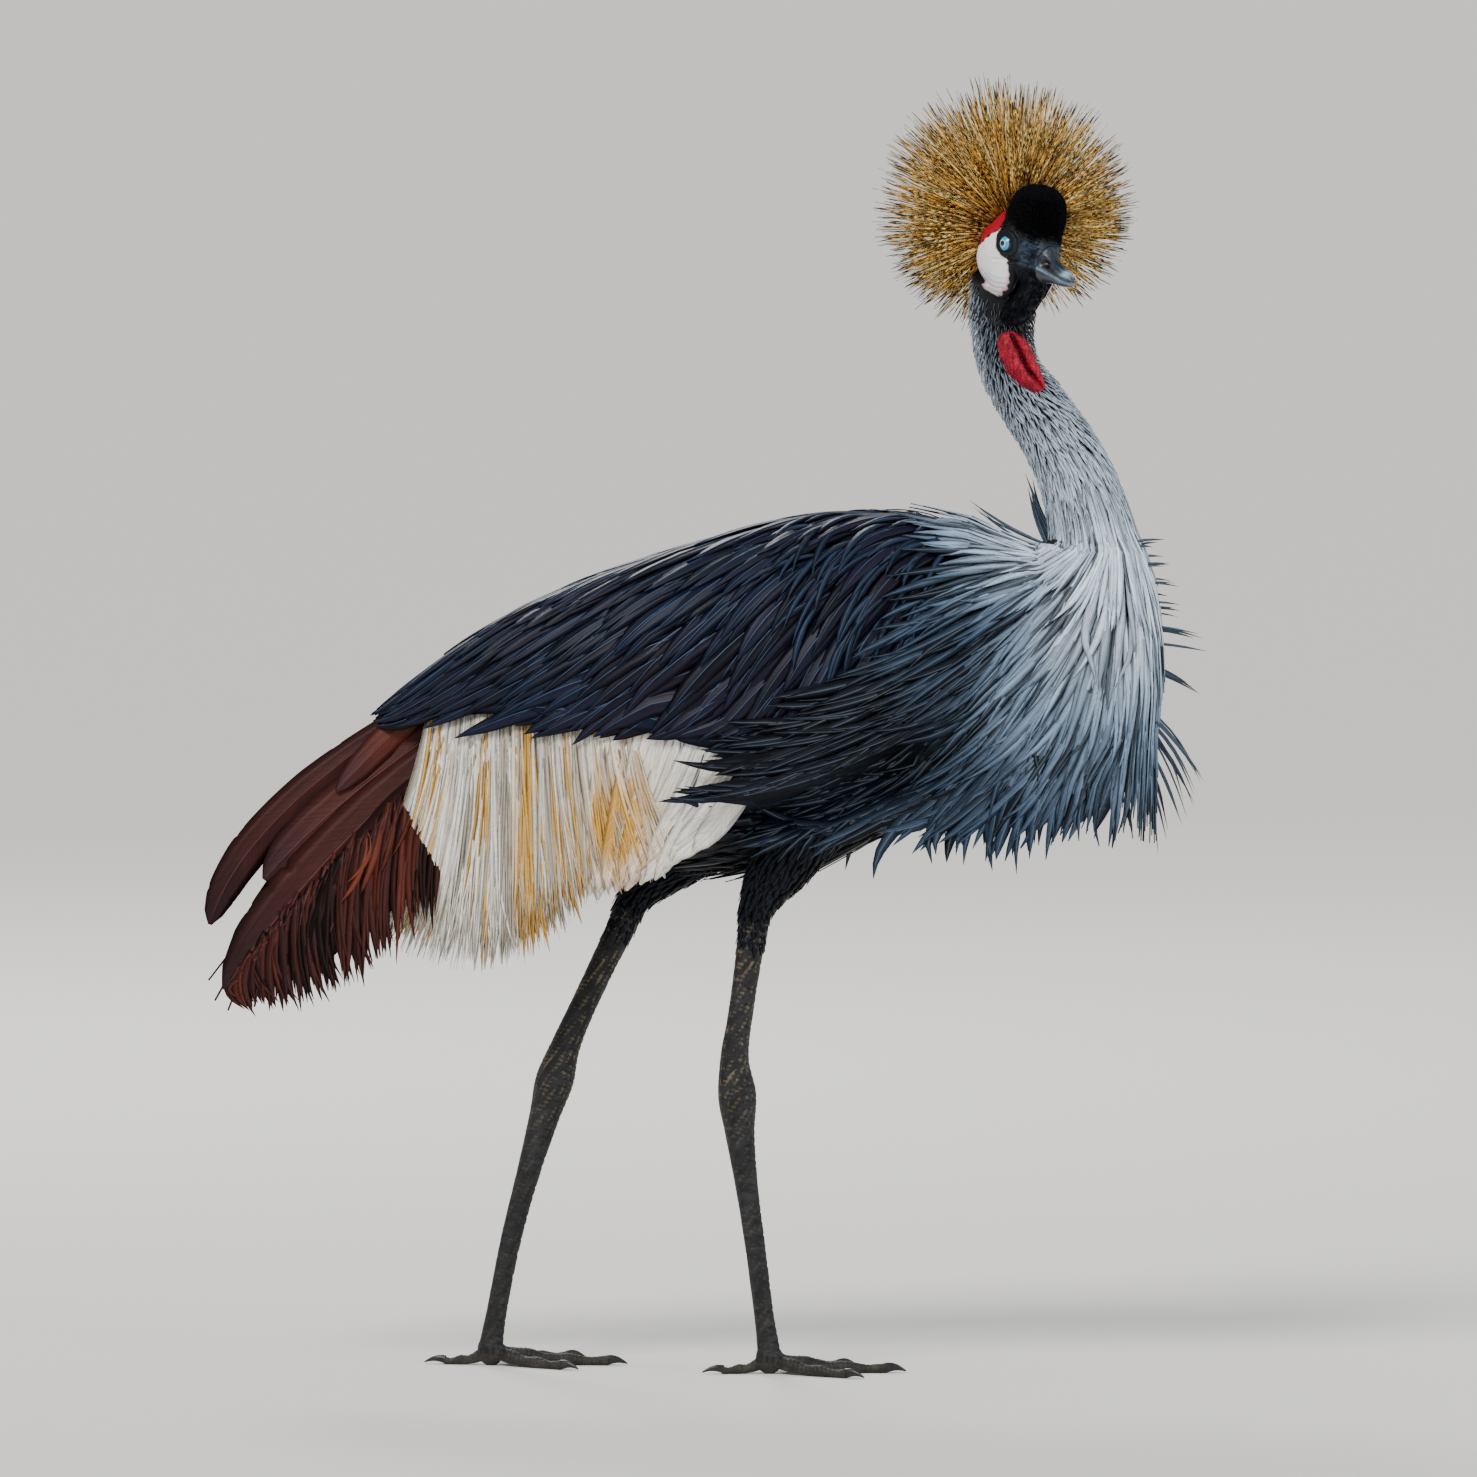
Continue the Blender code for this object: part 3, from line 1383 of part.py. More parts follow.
# Legs: middle line x, y, z and radius, hip to sole, right and left
LEG_RIGHT = [
    (0.0900, -0.0480, 0.4500, 0.0330),
    (0.0560, -0.0450, 0.4000, 0.0250),
    (0.0380, -0.0410, 0.3680, 0.0150),
    (0.0330, -0.0390, 0.3400, 0.0110),
    (0.0250, -0.0340, 0.2850, 0.0098),
    (0.0200, -0.0310, 0.2480, 0.0112),
    (0.0220, -0.0295, 0.2180, 0.0150),
    (0.0240, -0.0285, 0.1900, 0.0118),
    (0.0290, -0.0270, 0.1500, 0.0090),
    (0.0360, -0.0255, 0.1000, 0.0080),
    (0.0430, -0.0245, 0.0450, 0.0078),
    (0.0470, -0.0240, 0.0160, 0.0092),
]
LEG_LEFT = [
    (0.0400, 0.0480, 0.4400, 0.0330),
    (-0.0100, 0.0440, 0.4060, 0.0240),
    (-0.0540, 0.0410, 0.3720, 0.0150),
    (-0.0700, 0.0400, 0.3420, 0.0112),
    (-0.0960, 0.0395, 0.2880, 0.0102),
    (-0.1120, 0.0395, 0.2520, 0.0116),
    (-0.1210, 0.0395, 0.2240, 0.0150),
    (-0.1290, 0.0395, 0.1960, 0.0120),
    (-0.1420, 0.0400, 0.1500, 0.0092),
    (-0.1550, 0.0405, 0.1000, 0.0082),
    (-0.1660, 0.0410, 0.0450, 0.0080),
    (-0.1710, 0.0410, 0.0160, 0.0094),
]
LEG_SIDES = 10
THIGH_END = 0.235
ANKLE_TOP = 0.455
TARSUS_END = 0.96


def leg_tube(leg, start, end, count, grow=0.0):
    rings = []
    for i in range(count + 1):
        t = start + (end - start) * i / count
        x, y, z, radius = along(leg, t)
        a, b = along(leg, t - 0.01), along(leg, t + 0.01)
        down = (Vector(b[:3]) - Vector(a[:3])).normalized()
        side = (LEFT - down * LEFT.dot(down)).normalized()
        radius += grow
        rings.append(oval(Vector((x, y, z)), side, down.cross(side), radius * 0.88, radius, radius, LEG_SIDES))
    return loft(rings)


# Toes: name, turn from straight ahead towards the outside, length, radius at the root
TOES = [
    ("inner", -34.0, 0.070, 0.0062),
    ("middle", -2.0, 0.094, 0.0066),
    ("outer", 32.0, 0.074, 0.0062),
    ("hind", 172.0, 0.040, 0.0052),
]
CLAW_LENGTH = 0.015
TOE_STEPS = 4


def toe_frame(left, angle):
    turn = math.radians(angle * left)
    ahead = Vector((math.cos(turn), math.sin(turn), 0))
    return ahead, Vector((-ahead.y, ahead.x, 0))


def on_floor(point):
    """A point that isn't below the floor."""
    return Vector((point.x, point.y, max(point.z, 0.0)))


def toe(foot, left, angle, length, radius):
    """A jointed toe, round above and flat where it meets the floor."""
    ahead, across = toe_frame(left, angle)
    rings = []
    for i in range(TOE_STEPS + 1):
        f = i / TOE_STEPS
        size = radius * (1.0 - 0.42 * f) * (1.0 + 0.10 * math.cos(3 * 2 * math.pi * f))
        middle = foot + ahead * (length * f - 0.002)
        middle.z = size * 0.8 + 0.008 * (1 - f) ** 3
        ring = []
        for k in range(8):
            turn = 2 * math.pi * (k + 0.5) / 8
            ring.append(on_floor(middle + across * size * math.cos(turn) + UP * size * math.sin(turn)))
        rings.append(ring)
    return loft(rings)


def claw(foot, left, angle, length, radius):
    ahead, across = toe_frame(left, angle)
    rings = []
    for i in range(4):
        f = i / 3
        size = radius * 0.50 * (1.0 - 0.80 * f)
        middle = foot + ahead * (length - 0.002 + GAP + CLAW_LENGTH * f)
        middle.z = 0.0036 - 0.0018 * f + 0.002 * math.sin(math.pi * f)
        ring = []
        for k in range(6):
            turn = 2 * math.pi * k / 6
            ring.append(on_floor(middle + across * size * math.cos(turn) + UP * size * 1.15 * math.sin(turn)))
        rings.append(ring)
    return loft(rings)


def leg(table, left, side, finish, torso_grown):
    """A whole leg: feathered thigh, shank, tarsus, foot and claws."""
    feathers, scales, horn = finish
    node(f"thigh_{side}", cut(leg_tube(table, 0.0, THIGH_END, 5), [torso_grown]), feathers)
    shank = leg_tube(table, THIGH_END + share_of_gap(table, THIGH_END), ANKLE_TOP, 5)
    node(f"shank_{side}", shank, scales)
    tarsus = leg_tube(table, ANKLE_TOP + share_of_gap(table, ANKLE_TOP), TARSUS_END, 9)
    node(f"tarsus_{side}", tarsus, scales)
    x, y, _, _ = table[-1]
    foot = Vector((x, y, 0))
    knuckle = leg_tube(table, TARSUS_END + share_of_gap(table, TARSUS_END), 1.0, 2)
    toes = [toe(foot, left, angle, length, radius) for _, angle, length, radius in TOES]
    node(f"foot_{side}", fuse(knuckle, toes), scales)
    for name, angle, length, radius in TOES:
        node(f"claw_{name}_{side}", claw(foot, left, angle, length, radius), horn)


def build():
    clear_scene()
    rng = random.Random(SEED)
    place = bpy.data.objects.new("body_place", None)
    place.location = BODY_PLACE
    bpy.context.scene.collection.objects.link(place)
    slate = material("slate_feathers", (0.020, 0.028, 0.050), 0.45)
    grey = material("grey_plumes", (0.38, 0.45, 0.55), 0.50)
    white = material("white_gold_plumes", (0.80, 0.66, 0.42), 0.60)
    chestnut = material("chestnut_feathers", (0.100, 0.028, 0.018), 0.45)
    black = material("black_feathers", (0.010, 0.010, 0.014), 0.45)
    skin = material("face_skin", (0.72, 0.68, 0.72), 0.50)
    horn = material("bill_horn", (0.020, 0.030, 0.042), 0.30)
    velvet = material("velvet_cap", (0.004, 0.004, 0.006), 0.90)
    gold = material("crest_bristles", (0.70, 0.42, 0.10), 0.50)
    red = material("red_skin", (0.55, 0.01, 0.03), 0.45)
    iris = material("eye", (0.30, 0.62, 0.75), 0.10)
    scales = material("leg_scales", (0.020, 0.019, 0.022), 0.45)
    claw_horn = material("claw_horn", (0.012, 0.011, 0.011), 0.35)

    torso_grown = torso_core(1.3 * GAP)
    node("torso", torso_core(), slate)
    gap_t = share_of_gap(NECK, NECK_CUT)
    node("neck_upper", neck_tube(HEAD_CUT + share_of_gap(NECK, HEAD_CUT), NECK_CUT, 10), grey)
    thighs = [leg_tube(table, 0.0, THIGH_END, 5, 2 * GAP) for table in (LEG_RIGHT, LEG_LEFT)]
    laid_on = [mantle(), wing_room(0.0040, True), torso_core(0.0004)]
    skins = [skin_of(shape) for shape in laid_on]
    plumes = ruff_plumes(skins, rng)
    lower = fuse(neck_tube(NECK_CUT + gap_t, TUBE_END, 8), [mantle(), *plumes])
    lower = fuse(thinned(lower, RUFF_TRIANGLES), strays())
    node("neck_lower", cut(lower, [wing_room(0.0035), torso_grown, *thighs]), grey)

    head = head_whole()
    head_grown = head_whole(1.2 * GAP)
    eye_sockets = [eye(left, GAP) for left in (-1, 1)]
    grooves = [mouth_line(head, left) for left in (-1, 1)]
    node("head", thinned(cut(fuse(head, [lids(-1), lids(1)]), [*eye_sockets, *grooves]), HEAD_TRIANGLES), skin)
    node("eye_right", eye(-1), iris)
    node("eye_left", eye(1), iris)
    node("bill_upper", cut(bill_half(True), [head_grown, *nostrils()]), horn)
    node("bill_lower", cut(bill_half(False), [head_grown]), horn)
    head_blockers = [head_grown, lids(-1, GAP), lids(1, GAP)]
    node("crown_cap", cut(crown_cap(), [*head_blockers, *eye_sockets]), velvet)
    neck_grown = neck_tube(0.0, NECK_CUT, 12, 1.5 * GAP)
    node("wattle", cut(wattle(), [neck_grown, head_grown]), red)
    node("crest", cut(crest(rng), [*head_blockers, neck_grown, crown_cap(1.2 * GAP)]), gold)

    node("tail", cut(tail(), [torso_grown]), black)
    for left, side in ((-1, "right"), (1, "left")):
        node(f"wing_{side}", cut(thinned(dark_wing(left), WING_TRIANGLES), [torso_grown]), slate)
        node(f"wing_gold_{side}", gold_wing(left, rng), white)
        blockers = [torso_grown, dark_wing(left, 4 * GAP), gold_room(left), tail(1.5 * GAP)]
        node(f"secondaries_{side}", cut(secondaries(left, rng), blockers), chestnut)

    leg(LEG_RIGHT, -1, "right", (black, scales, claw_horn), torso_grown)
    leg(LEG_LEFT, 1, "left", (black, scales, claw_horn), torso_grown)


build()
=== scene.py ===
"""Grey crowned crane, life size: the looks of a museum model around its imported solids.

The bird faces +X with its head turned to its right, +Z is up and its left side is +Y.
Sizes are in metres and angles in degrees. Each piece is made by its own operator.
"""

import math
from types import SimpleNamespace

import bmesh
import bpy
import numpy as np
from mathutils import Matrix, Vector
from mathutils.bvhtree import BVHTree


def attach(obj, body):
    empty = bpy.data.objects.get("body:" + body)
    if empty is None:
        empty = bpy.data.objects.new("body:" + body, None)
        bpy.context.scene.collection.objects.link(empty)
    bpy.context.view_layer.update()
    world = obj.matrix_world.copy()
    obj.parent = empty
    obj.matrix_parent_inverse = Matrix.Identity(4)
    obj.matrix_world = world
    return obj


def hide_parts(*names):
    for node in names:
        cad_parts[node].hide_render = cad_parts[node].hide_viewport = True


bl_info = {
    "name": "Grey crowned crane",
    "version": (1, 0, 0),
    "blender": (4, 5, 0),
    "location": "3D View > Sidebar > Crane",
    "description": "Makes the skin, feathers, crest, face and legs of a standing crane",
    "category": "Object",
}

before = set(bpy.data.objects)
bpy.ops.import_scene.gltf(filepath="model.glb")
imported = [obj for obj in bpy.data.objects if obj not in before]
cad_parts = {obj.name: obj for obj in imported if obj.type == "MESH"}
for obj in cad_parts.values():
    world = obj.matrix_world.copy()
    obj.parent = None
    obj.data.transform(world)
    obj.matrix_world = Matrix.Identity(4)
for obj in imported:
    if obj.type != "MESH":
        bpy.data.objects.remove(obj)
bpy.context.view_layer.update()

# The one body that every piece rides on
BODY = "root"
# From the middle line of the body over the feet to the origin under the middle of the whole bird
BODY_PLACE = np.array((0.0, 0.0025, 0.0))
SEED = 11
# Side of the patch that one feather takes on the map for baking
PATCH = 0.003
# Millimetres in a metre, for the patterns of the materials
MM = 1000.0

# How finely the grown skins are meshed
BODY_GRAIN, HEAD_GRAIN, WATTLE_GRAIN, LEG_GRAIN = 0.0030, 0.00078, 0.00062, 0.0011

UP = np.array((0.0, 0.0, 1.0))
LEFT = np.array((0.0, 1.0, 0.0))
AHEAD = np.array((1.0, 0.0, 0.0))


def unit(v):
    return v / np.maximum(np.linalg.norm(v, axis=-1, keepdims=True), 1e-12)


def dot(a, b):
    return (a * b).sum(axis=-1, keepdims=True)


def mix(a, b, share):
    """From a to b, where share may have fewer axes than the colours or points."""
    share = np.clip(np.asarray(share, float), 0.0, 1.0)[..., None]
    return np.asarray(a) * (1.0 - share) + np.asarray(b) * share


def ramp(x, low, high):
    """0 below low, 1 above high, smooth between."""
    f = np.clip((x - low) / (high - low), 0.0, 1.0)
    return f * f * (3.0 - 2.0 * f)


def blend_of(low, high, first, second, f):
    """A cubic from low to high with the slopes first and second."""
    rise = f * f * (3 - 2 * f)
    return low + (high - low) * rise + first * f * (1 - f) ** 2 - second * f * f * (1 - f)


def read(table, x):
    """The other columns of a table whose first column rises, at every x, without a corner."""
    rows = np.asarray(table, float)
    keys, values = rows[:, 0], rows[:, 1:]
    x = np.clip(np.asarray(x, float), keys[0], keys[-1])
    i = np.clip(np.searchsorted(keys, x) - 1, 0, len(keys) - 2)
    before, after = np.maximum(i - 1, 0), np.minimum(i + 2, len(keys) - 1)
    step = (keys[i + 1] - keys[i])[..., None]
    f = (x - keys[i])[..., None] / step
    a, b, c, d = values[before], values[i], values[i + 1], values[after]
    first = (c - a) / (keys[i + 1] - keys[before])[..., None] * step
    second = (d - b) / (keys[after] - keys[i])[..., None] * step
    return np.moveaxis(blend_of(b, c, first, second, f), -1, 0)


def along(table, t):
    """A smooth curve through the rows of a table, at every t from 0 to 1."""
    rows = np.asarray(table, float)
    place = np.clip(np.asarray(t, float), 0.0, 1.0) * (len(rows) - 1)
    i = np.minimum(place.astype(int), len(rows) - 2)
    f = (place - i)[..., None]
    a, b, c, d = (rows[np.clip(i + k, 0, len(rows) - 1)] for k in (-1, 0, 1, 2))
    turn = 2 * a - 5 * b + 4 * c - d
    made = 0.5 * (2 * b + (c - a) * f + turn * f**2 + (3 * b - a - 3 * c + d) * f**3)
    return np.moveaxis(made, -1, 0)


def ripple(points, size, seed=0):
    """A smooth made-up value from -1 to 1 at each point, with waves of about this size."""
    rng = np.random.default_rng(seed)
    total = np.zeros(points.shape[:-1])
    for _ in range(6):
        wave = unit(rng.normal(size=points.shape[-1])) * 2 * math.pi / (size * rng.uniform(0.7, 1.6))
        total += np.sin(points @ wave + rng.uniform(0, 2 * math.pi))
    return total / 3.5


def oval(middle, side, up, half_side, half_up, half_down, count, power=1.0):
    """A ring round a middle point, with its own height above and below."""
    turn = np.arange(count) * 2 * math.pi / count
    c, s = np.cos(turn), np.sin(turn)
    c = np.sign(c) * np.abs(c) ** power
    s = np.sign(s) * np.abs(s) ** power
    high = np.where(s > 0, half_up, half_down)
    return middle + np.outer(half_side * c, side) + np.outer(high * s, up)


def loft(rings):
    """A closed shape (points, faces) through rings of equally many points."""
    rings = np.asarray(rings)
    count, n = rings.shape[:2]
    faces = []
    for r in range(count - 1):
        for k in range(n):
            a, b = r * n + k, r * n + (k + 1) % n
            faces.append((a, b, b + n, a + n))
    faces.append(tuple(range(n - 1, -1, -1)))
    faces.append(tuple(range((count - 1) * n, count * n)))
    return rings.reshape(-1, 3), faces


def ball(rings=32, sides=48):
    """A unit ball with its poles along X: x is 1 at the first point."""
    polar = np.linspace(0.0, math.pi, rings + 1)[1:-1]
    turn = np.arange(sides) * 2 * math.pi / sides
    ring = np.stack([np.zeros(sides), np.cos(turn), np.sin(turn)], axis=-1)
    body = np.sin(polar)[:, None, None] * ring + np.cos(polar)[:, None, None] * AHEAD
    points = np.concatenate([[AHEAD], body.reshape(-1, 3), [-AHEAD]])
    faces = []
    last = len(points) - 1
    for k in range(sides):
        n = (k + 1) % sides
        faces.append((0, 1 + k, 1 + n))
        faces.append((last, last - sides + n, last - sides + k))
        for r in range(rings - 2):
            a, b = 1 + r * sides + k, 1 + r * sides + n
            faces.append((a, a + sides, b + sides, b))
    return points, faces


def merged(shapes):
    """Several shapes as one."""
    points, faces, start = [], [], 0
    for some, their in shapes:
        points.append(np.asarray(some))
        faces += [tuple(int(c) + start for c in face) for face in their]
        start += len(some)
    return np.concatenate(points), faces


def solid(name, shape, placed=True):
    """An object from a closed shape, with its faces turned outwards."""
    points, faces = shape
    mesh = bpy.data.meshes.new(name)
    place = BODY_PLACE if placed else 0.0
    mesh.from_pydata((np.asarray(points) + place).tolist(), [], faces)
    shell = bmesh.new()
    shell.from_mesh(mesh)
    bmesh.ops.recalc_face_normals(shell, faces=shell.faces)
    shell.to_mesh(mesh)
    shell.free()
    mesh.shade_smooth()
    obj = bpy.data.objects.new(name, mesh)
    bpy.context.scene.collection.objects.link(obj)
    return obj


def applied(obj):
    """(points, faces) of an object with its modifiers, which is then removed."""
    graph = bpy.context.evaluated_depsgraph_get()
    mesh = bpy.data.meshes.new_from_object(obj.evaluated_get(graph))
    points = np.empty(len(mesh.vertices) * 3)
    mesh.vertices.foreach_get("co", points)
    faces = [tuple(p.vertices) for p in mesh.polygons]
    bpy.data.objects.remove(obj)
    return points.reshape(-1, 3), faces


def grown_together(shapes, voxel, smoothing):
    """Shapes that cross, as one surface with soft creases."""
    obj = solid("growing", merged(shapes), placed=False)
    step = obj.modifiers.new("skin", "REMESH")
    step.mode = "VOXEL"
    step.voxel_size = voxel
    soften = obj.modifiers.new("soften", "SMOOTH")
    soften.factor = 0.5
    soften.iterations = smoothing
    return applied(obj)


def normals_of(shape):
    """The outward direction at each point of a shape."""
    points, faces = shape
    mesh = bpy.data.meshes.new("normals")
    mesh.from_pydata(points.tolist(), [], faces)
    found = np.empty(len(points) * 3)
    mesh.vertices.foreach_get("normal", found)
    bpy.data.meshes.remove(mesh)
    return found.reshape(-1, 3)


def painted(obj, values):
    """Stores the colour at each point of an object."""
    layer = obj.data.color_attributes.new("Tint", "FLOAT_COLOR", "POINT")
    full = np.ones((len(obj.data.vertices), 4), np.float32)
    full[:, :3] = values
    layer.data.foreach_set("color", full.ravel())


def mapped(obj, places):
    """Gives an object the map for baking, from one place in the unit square for each point."""
    corners = np.empty(len(obj.data.loops), np.int32)
    obj.data.loops.foreach_get("vertex_index", corners)
    layer = obj.data.uv_layers.new(name="OFBake")
    layer.data.foreach_set("uv", np.asarray(places, np.float32)[corners].ravel())


def finished(obj, material, replaced=()):
    """Gives a piece its finish, its body and the solids that it stands for."""
    obj.data.materials.append(finish(material))
    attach(obj, BODY)
    if replaced:
        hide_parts(*replaced)
    return obj


# Sections of a feather: across from edge to edge, and height over its middle plane
DIAMOND = ((-1.0, 0.0), (0.0, 1.0), (1.0, 0.0), (0.0, -1.0))
RIBBED = ((-1.0, 0.0), (-0.5, 0.6), (-0.07, 0.8), (0.0, 1.9), (0.07, 0.8), (0.5, 0.6), (1.0, 0.0),
          (0.0, -1.0))
WIRE = ((-0.87, -0.5), (0.0, 1.0), (0.87, -0.5))


class Coat:
    """Feathers of one piece, gathered in batches and made into one mesh."""

    def __init__(self, seed):
        self.rng = np.random.default_rng(seed)
        self.points, self.tints, self.lies, self.shares, self.places = [], [], [], [], []
        self.quads, self.caps, self.count = [], [], 0

    def widths(self, low, high, n, outline, m):
        """Widths of n feathers at m marks, each between low and high where its outline is widest."""
        return self.rng.uniform(low, high, n)[:, None] * shape_width(outline, m)

    def lifts(self, n, heights, loose, f):
        """Heights over the skin at root, two fifths and tip, where a tip may stand up to loose higher."""
        return np.interp(f, (0, 0.4, 1), heights) + self.rng.uniform(0, loose, (n, 1)) * f

    def add(self, middles, outs, width, thick, tint, roots, section=DIAMOND, camber=0.0, roll=0.0):
        """Adds n feathers of m marks: middles and outs (n, m, 3), width and thick (n, m) or with the
        left and right half of the width apart (n, m, 2), tint (n, m, 3) and roots (n, 2)."""
        n, m = middles.shape[:2]
        across, high = np.array(section).T
        k = len(across)
        heading = unit(np.gradient(middles, axis=1))
        outs = unit(outs - heading * dot(outs, heading))
        side = np.cross(heading, outs)
        roll = np.broadcast_to(np.asarray(roll, float), (n, m))[..., None]
        outs, side = outs * np.cos(roll) + side * np.sin(roll), side * np.cos(roll) - outs * np.sin(roll)
        width = np.asarray(width, float)
        if width.ndim == 2:
            width = np.repeat(width[..., None], 2, axis=2)
        thick = np.broadcast_to(np.asarray(thick, float), (n, m))
        half = 0.5 * np.where(across < 0, width[..., :1], width[..., 1:])
        rise = 0.5 * thick[..., None] * high - camber * half * across**2
        points = middles[:, :, None] + side[:, :, None] * (across * half)[..., None]
        points = points + outs[:, :, None] * rise[..., None]
        steps = np.diff(middles, axis=1, prepend=middles[:, :1])
        distance = np.cumsum(np.linalg.norm(steps, axis=-1), axis=1)
        # Where each point lies on its feather in millimetres, and a number of the feather's own
        lies = np.empty((n, m, k, 3))
        lies[..., 0] = MM * across * half
        lies[..., 1] = MM * distance[..., None]
        lies[..., 2] = self.rng.uniform(0, 1, n)[:, None, None]
        # The same as shares across and along it
        shares = np.zeros((n, m, k, 3))
        shares[..., 0] = 0.5 + 0.5 * across
        shares[..., 1] = np.linspace(0, 1, m)[:, None]
        index = self.count + np.arange(n * m * k).reshape(n, m, k)
        after = np.roll(index, -1, axis=2)
        quads = np.stack([index[:, :-1], after[:, :-1], after[:, 1:], index[:, 1:]], axis=-1)
        self.quads.append(quads.reshape(-1, 4))
        self.caps.append((k, np.concatenate([index[:, 0, ::-1], index[:, -1]])))
        self.count += n * m * k
        self.points.append(points.reshape(-1, 3))
        self.tints.append(np.repeat(np.clip(tint, 0, 1)[:, :, None], k, axis=2).reshape(-1, 3))
        self.lies.append(lies.reshape(-1, 3))
        self.shares.append(shares.reshape(-1, 3))
        roots = np.clip(np.asarray(roots, float), 0.0, 1.0) * (1 - 2 * PATCH) + PATCH
        self.places.append((roots[:, None, None] + PATCH * (shares[..., :2] - 0.5)).reshape(-1, 2))

    def make(self, name, material, replaced=()):
        """All the feathers added so far as one finished piece."""
        loops = [np.concatenate(self.quads).ravel()]
        sizes = [np.full(len(loops[0]) // 4, 4)]
        for k, caps in self.caps:
            loops.append(caps.ravel())
            sizes.append(np.full(len(caps), k))
        corners, sizes = np.concatenate(loops).astype(np.int32), np.concatenate(sizes)
        starts = np.concatenate([[0], np.cumsum(sizes)[:-1]]).astype(np.int32)
        points = np.concatenate(self.points) + BODY_PLACE
        mesh = bpy.data.meshes.new(name)
        mesh.vertices.add(len(points))
        mesh.vertices.foreach_set("co", points.astype(np.float32).ravel())
        mesh.loops.add(len(corners))
        mesh.loops.foreach_set("vertex_index", corners)
        mesh.polygons.add(len(starts))
        mesh.polygons.foreach_set("loop_start", starts)
        mesh.update(calc_edges=True)
        mesh.validate()
        mesh.shade_smooth()
        obj = bpy.data.objects.new(name, mesh)
        bpy.context.scene.collection.objects.link(obj)
        painted(obj, np.concatenate(self.tints))
        for label, values in (("Lie", self.lies), ("Share", self.shares)):
            layer = mesh.attributes.new(label, "FLOAT_VECTOR", "POINT")
            layer.data.foreach_set("vector", np.concatenate(values).astype(np.float32).ravel())
        mapped(obj, np.concatenate(self.places))
        return finished(obj, material, replaced)


def shape_width(shares, m):
    """Shares of a feather's full width at m marks from root to tip."""
    rows = np.asarray(shares, float)
    return np.interp(np.linspace(0, 1, m), rows[:, 0], rows[:, 1])


# Outlines of feathers: shares of their length and of their width there, root to tip
LANCE = ((0.0, 0.35), (0.2, 0.75), (0.45, 1.0), (0.7, 0.85), (0.88, 0.45), (1.0, 0.04))
PLUME = ((0.0, 0.30), (0.3, 0.75), (0.55, 1.0), (0.75, 0.78), (0.9, 0.38), (1.0, 0.03))
BROAD = ((0.0, 0.30), (0.15, 0.70), (0.4, 0.96), (0.7, 1.0), (0.86, 0.82), (0.95, 0.5), (1.0, 0.10))
STRAND = ((0.0, 0.6), (0.3, 1.0), (0.7, 0.8), (1.0, 0.05))

# Torso: x, top, bottom, half width
TORSO = (
    (-0.228, 0.508, 0.482, 0.010),
    (-0.205, 0.524, 0.458, 0.024),
    (-0.150, 0.556, 0.431, 0.044),
    (-0.100, 0.582, 0.412, 0.060),
    (-0.040, 0.607, 0.398, 0.074),
    (0.020, 0.629, 0.392, 0.084),
    (0.080, 0.645, 0.398, 0.089),
    (0.140, 0.652, 0.420, 0.088),
    (0.200, 0.648, 0.447, 0.082),
    (0.250, 0.632, 0.474, 0.071),
    (0.295, 0.602, 0.506, 0.053),
    (0.325, 0.572, 0.536, 0.026),
)
# Where between bottom and top the torso and the head are widest
TORSO_WIDEST, HEAD_WIDEST = 0.52, 0.55
# Neck: x, y, z of its middle, and the radius of its short feathers, from the nape down
NECK = (
    (0.2300, -0.0150, 0.8560, 0.0250),
    (0.2285, -0.0040, 0.8280, 0.0252),
    (0.2295, 0.0000, 0.8030, 0.0232),
    (0.2360, 0.0000, 0.7800, 0.0230),
    (0.2515, 0.0000, 0.7570, 0.0252),
    (0.2680, 0.0000, 0.7330, 0.0262),
    (0.2835, 0.0000, 0.7050, 0.0285),
    (0.2955, 0.0000, 0.6700, 0.0315),
    (0.3010, 0.0000, 0.6350, 0.0365),
    (0.2980, 0.0000, 0.6000, 0.0430),
    (0.2850, 0.0000, 0.5650, 0.0460),
    (0.2600, 0.0000, 0.5300, 0.0480),
)
NECK_LENGTH = 0.385
# How wide the neck and a leg are for their depth
NECK_FLAT, LEG_FLAT = 0.92, 0.88
# Share of the neck's length where the ruff starts, and the height there
RUFF_SHARE = 0.709
RUFF_START = 0.642
# Breast under the ruff: height, middle x, half length, half width
MANTLE = (
    (0.655, 0.2985, 0.037, 0.034),
    (0.615, 0.2900, 0.056, 0.053),
    (0.575, 0.2720, 0.078, 0.075),
    (0.535, 0.2520, 0.098, 0.092),
    (0.500, 0.2400, 0.106, 0.098),
    (0.470, 0.2300, 0.098, 0.090),
    (0.452, 0.2220, 0.070, 0.060),
)
# Ruff: turn round the neck from the front, first heading from straight down to the back, how much
# it turns back in each metre, and the reach from the neck to the last tips
RUFF_FLOW = (
    (0.0, 0.0, 0.0, 0.225),
    (40.0, 2.0, 20.0, 0.230),
    (65.0, 8.0, 60.0, 0.245),
    (76.0, 13.0, 150.0, 0.300),
    (84.0, 20.0, 165.0, 0.405),
    (92.0, 28.0, 155.0, 0.410),
    (100.0, 37.0, 145.0, 0.355),
    (108.0, 46.0, 120.0, 0.275),
    (116.0, 52.0, 90.0, 0.215),
    (130.0, 64.0, 60.0, 0.170),
    (150.0, 78.0, 30.0, 0.140),
    (180.0, 92.0, 0.0, 0.120),
)
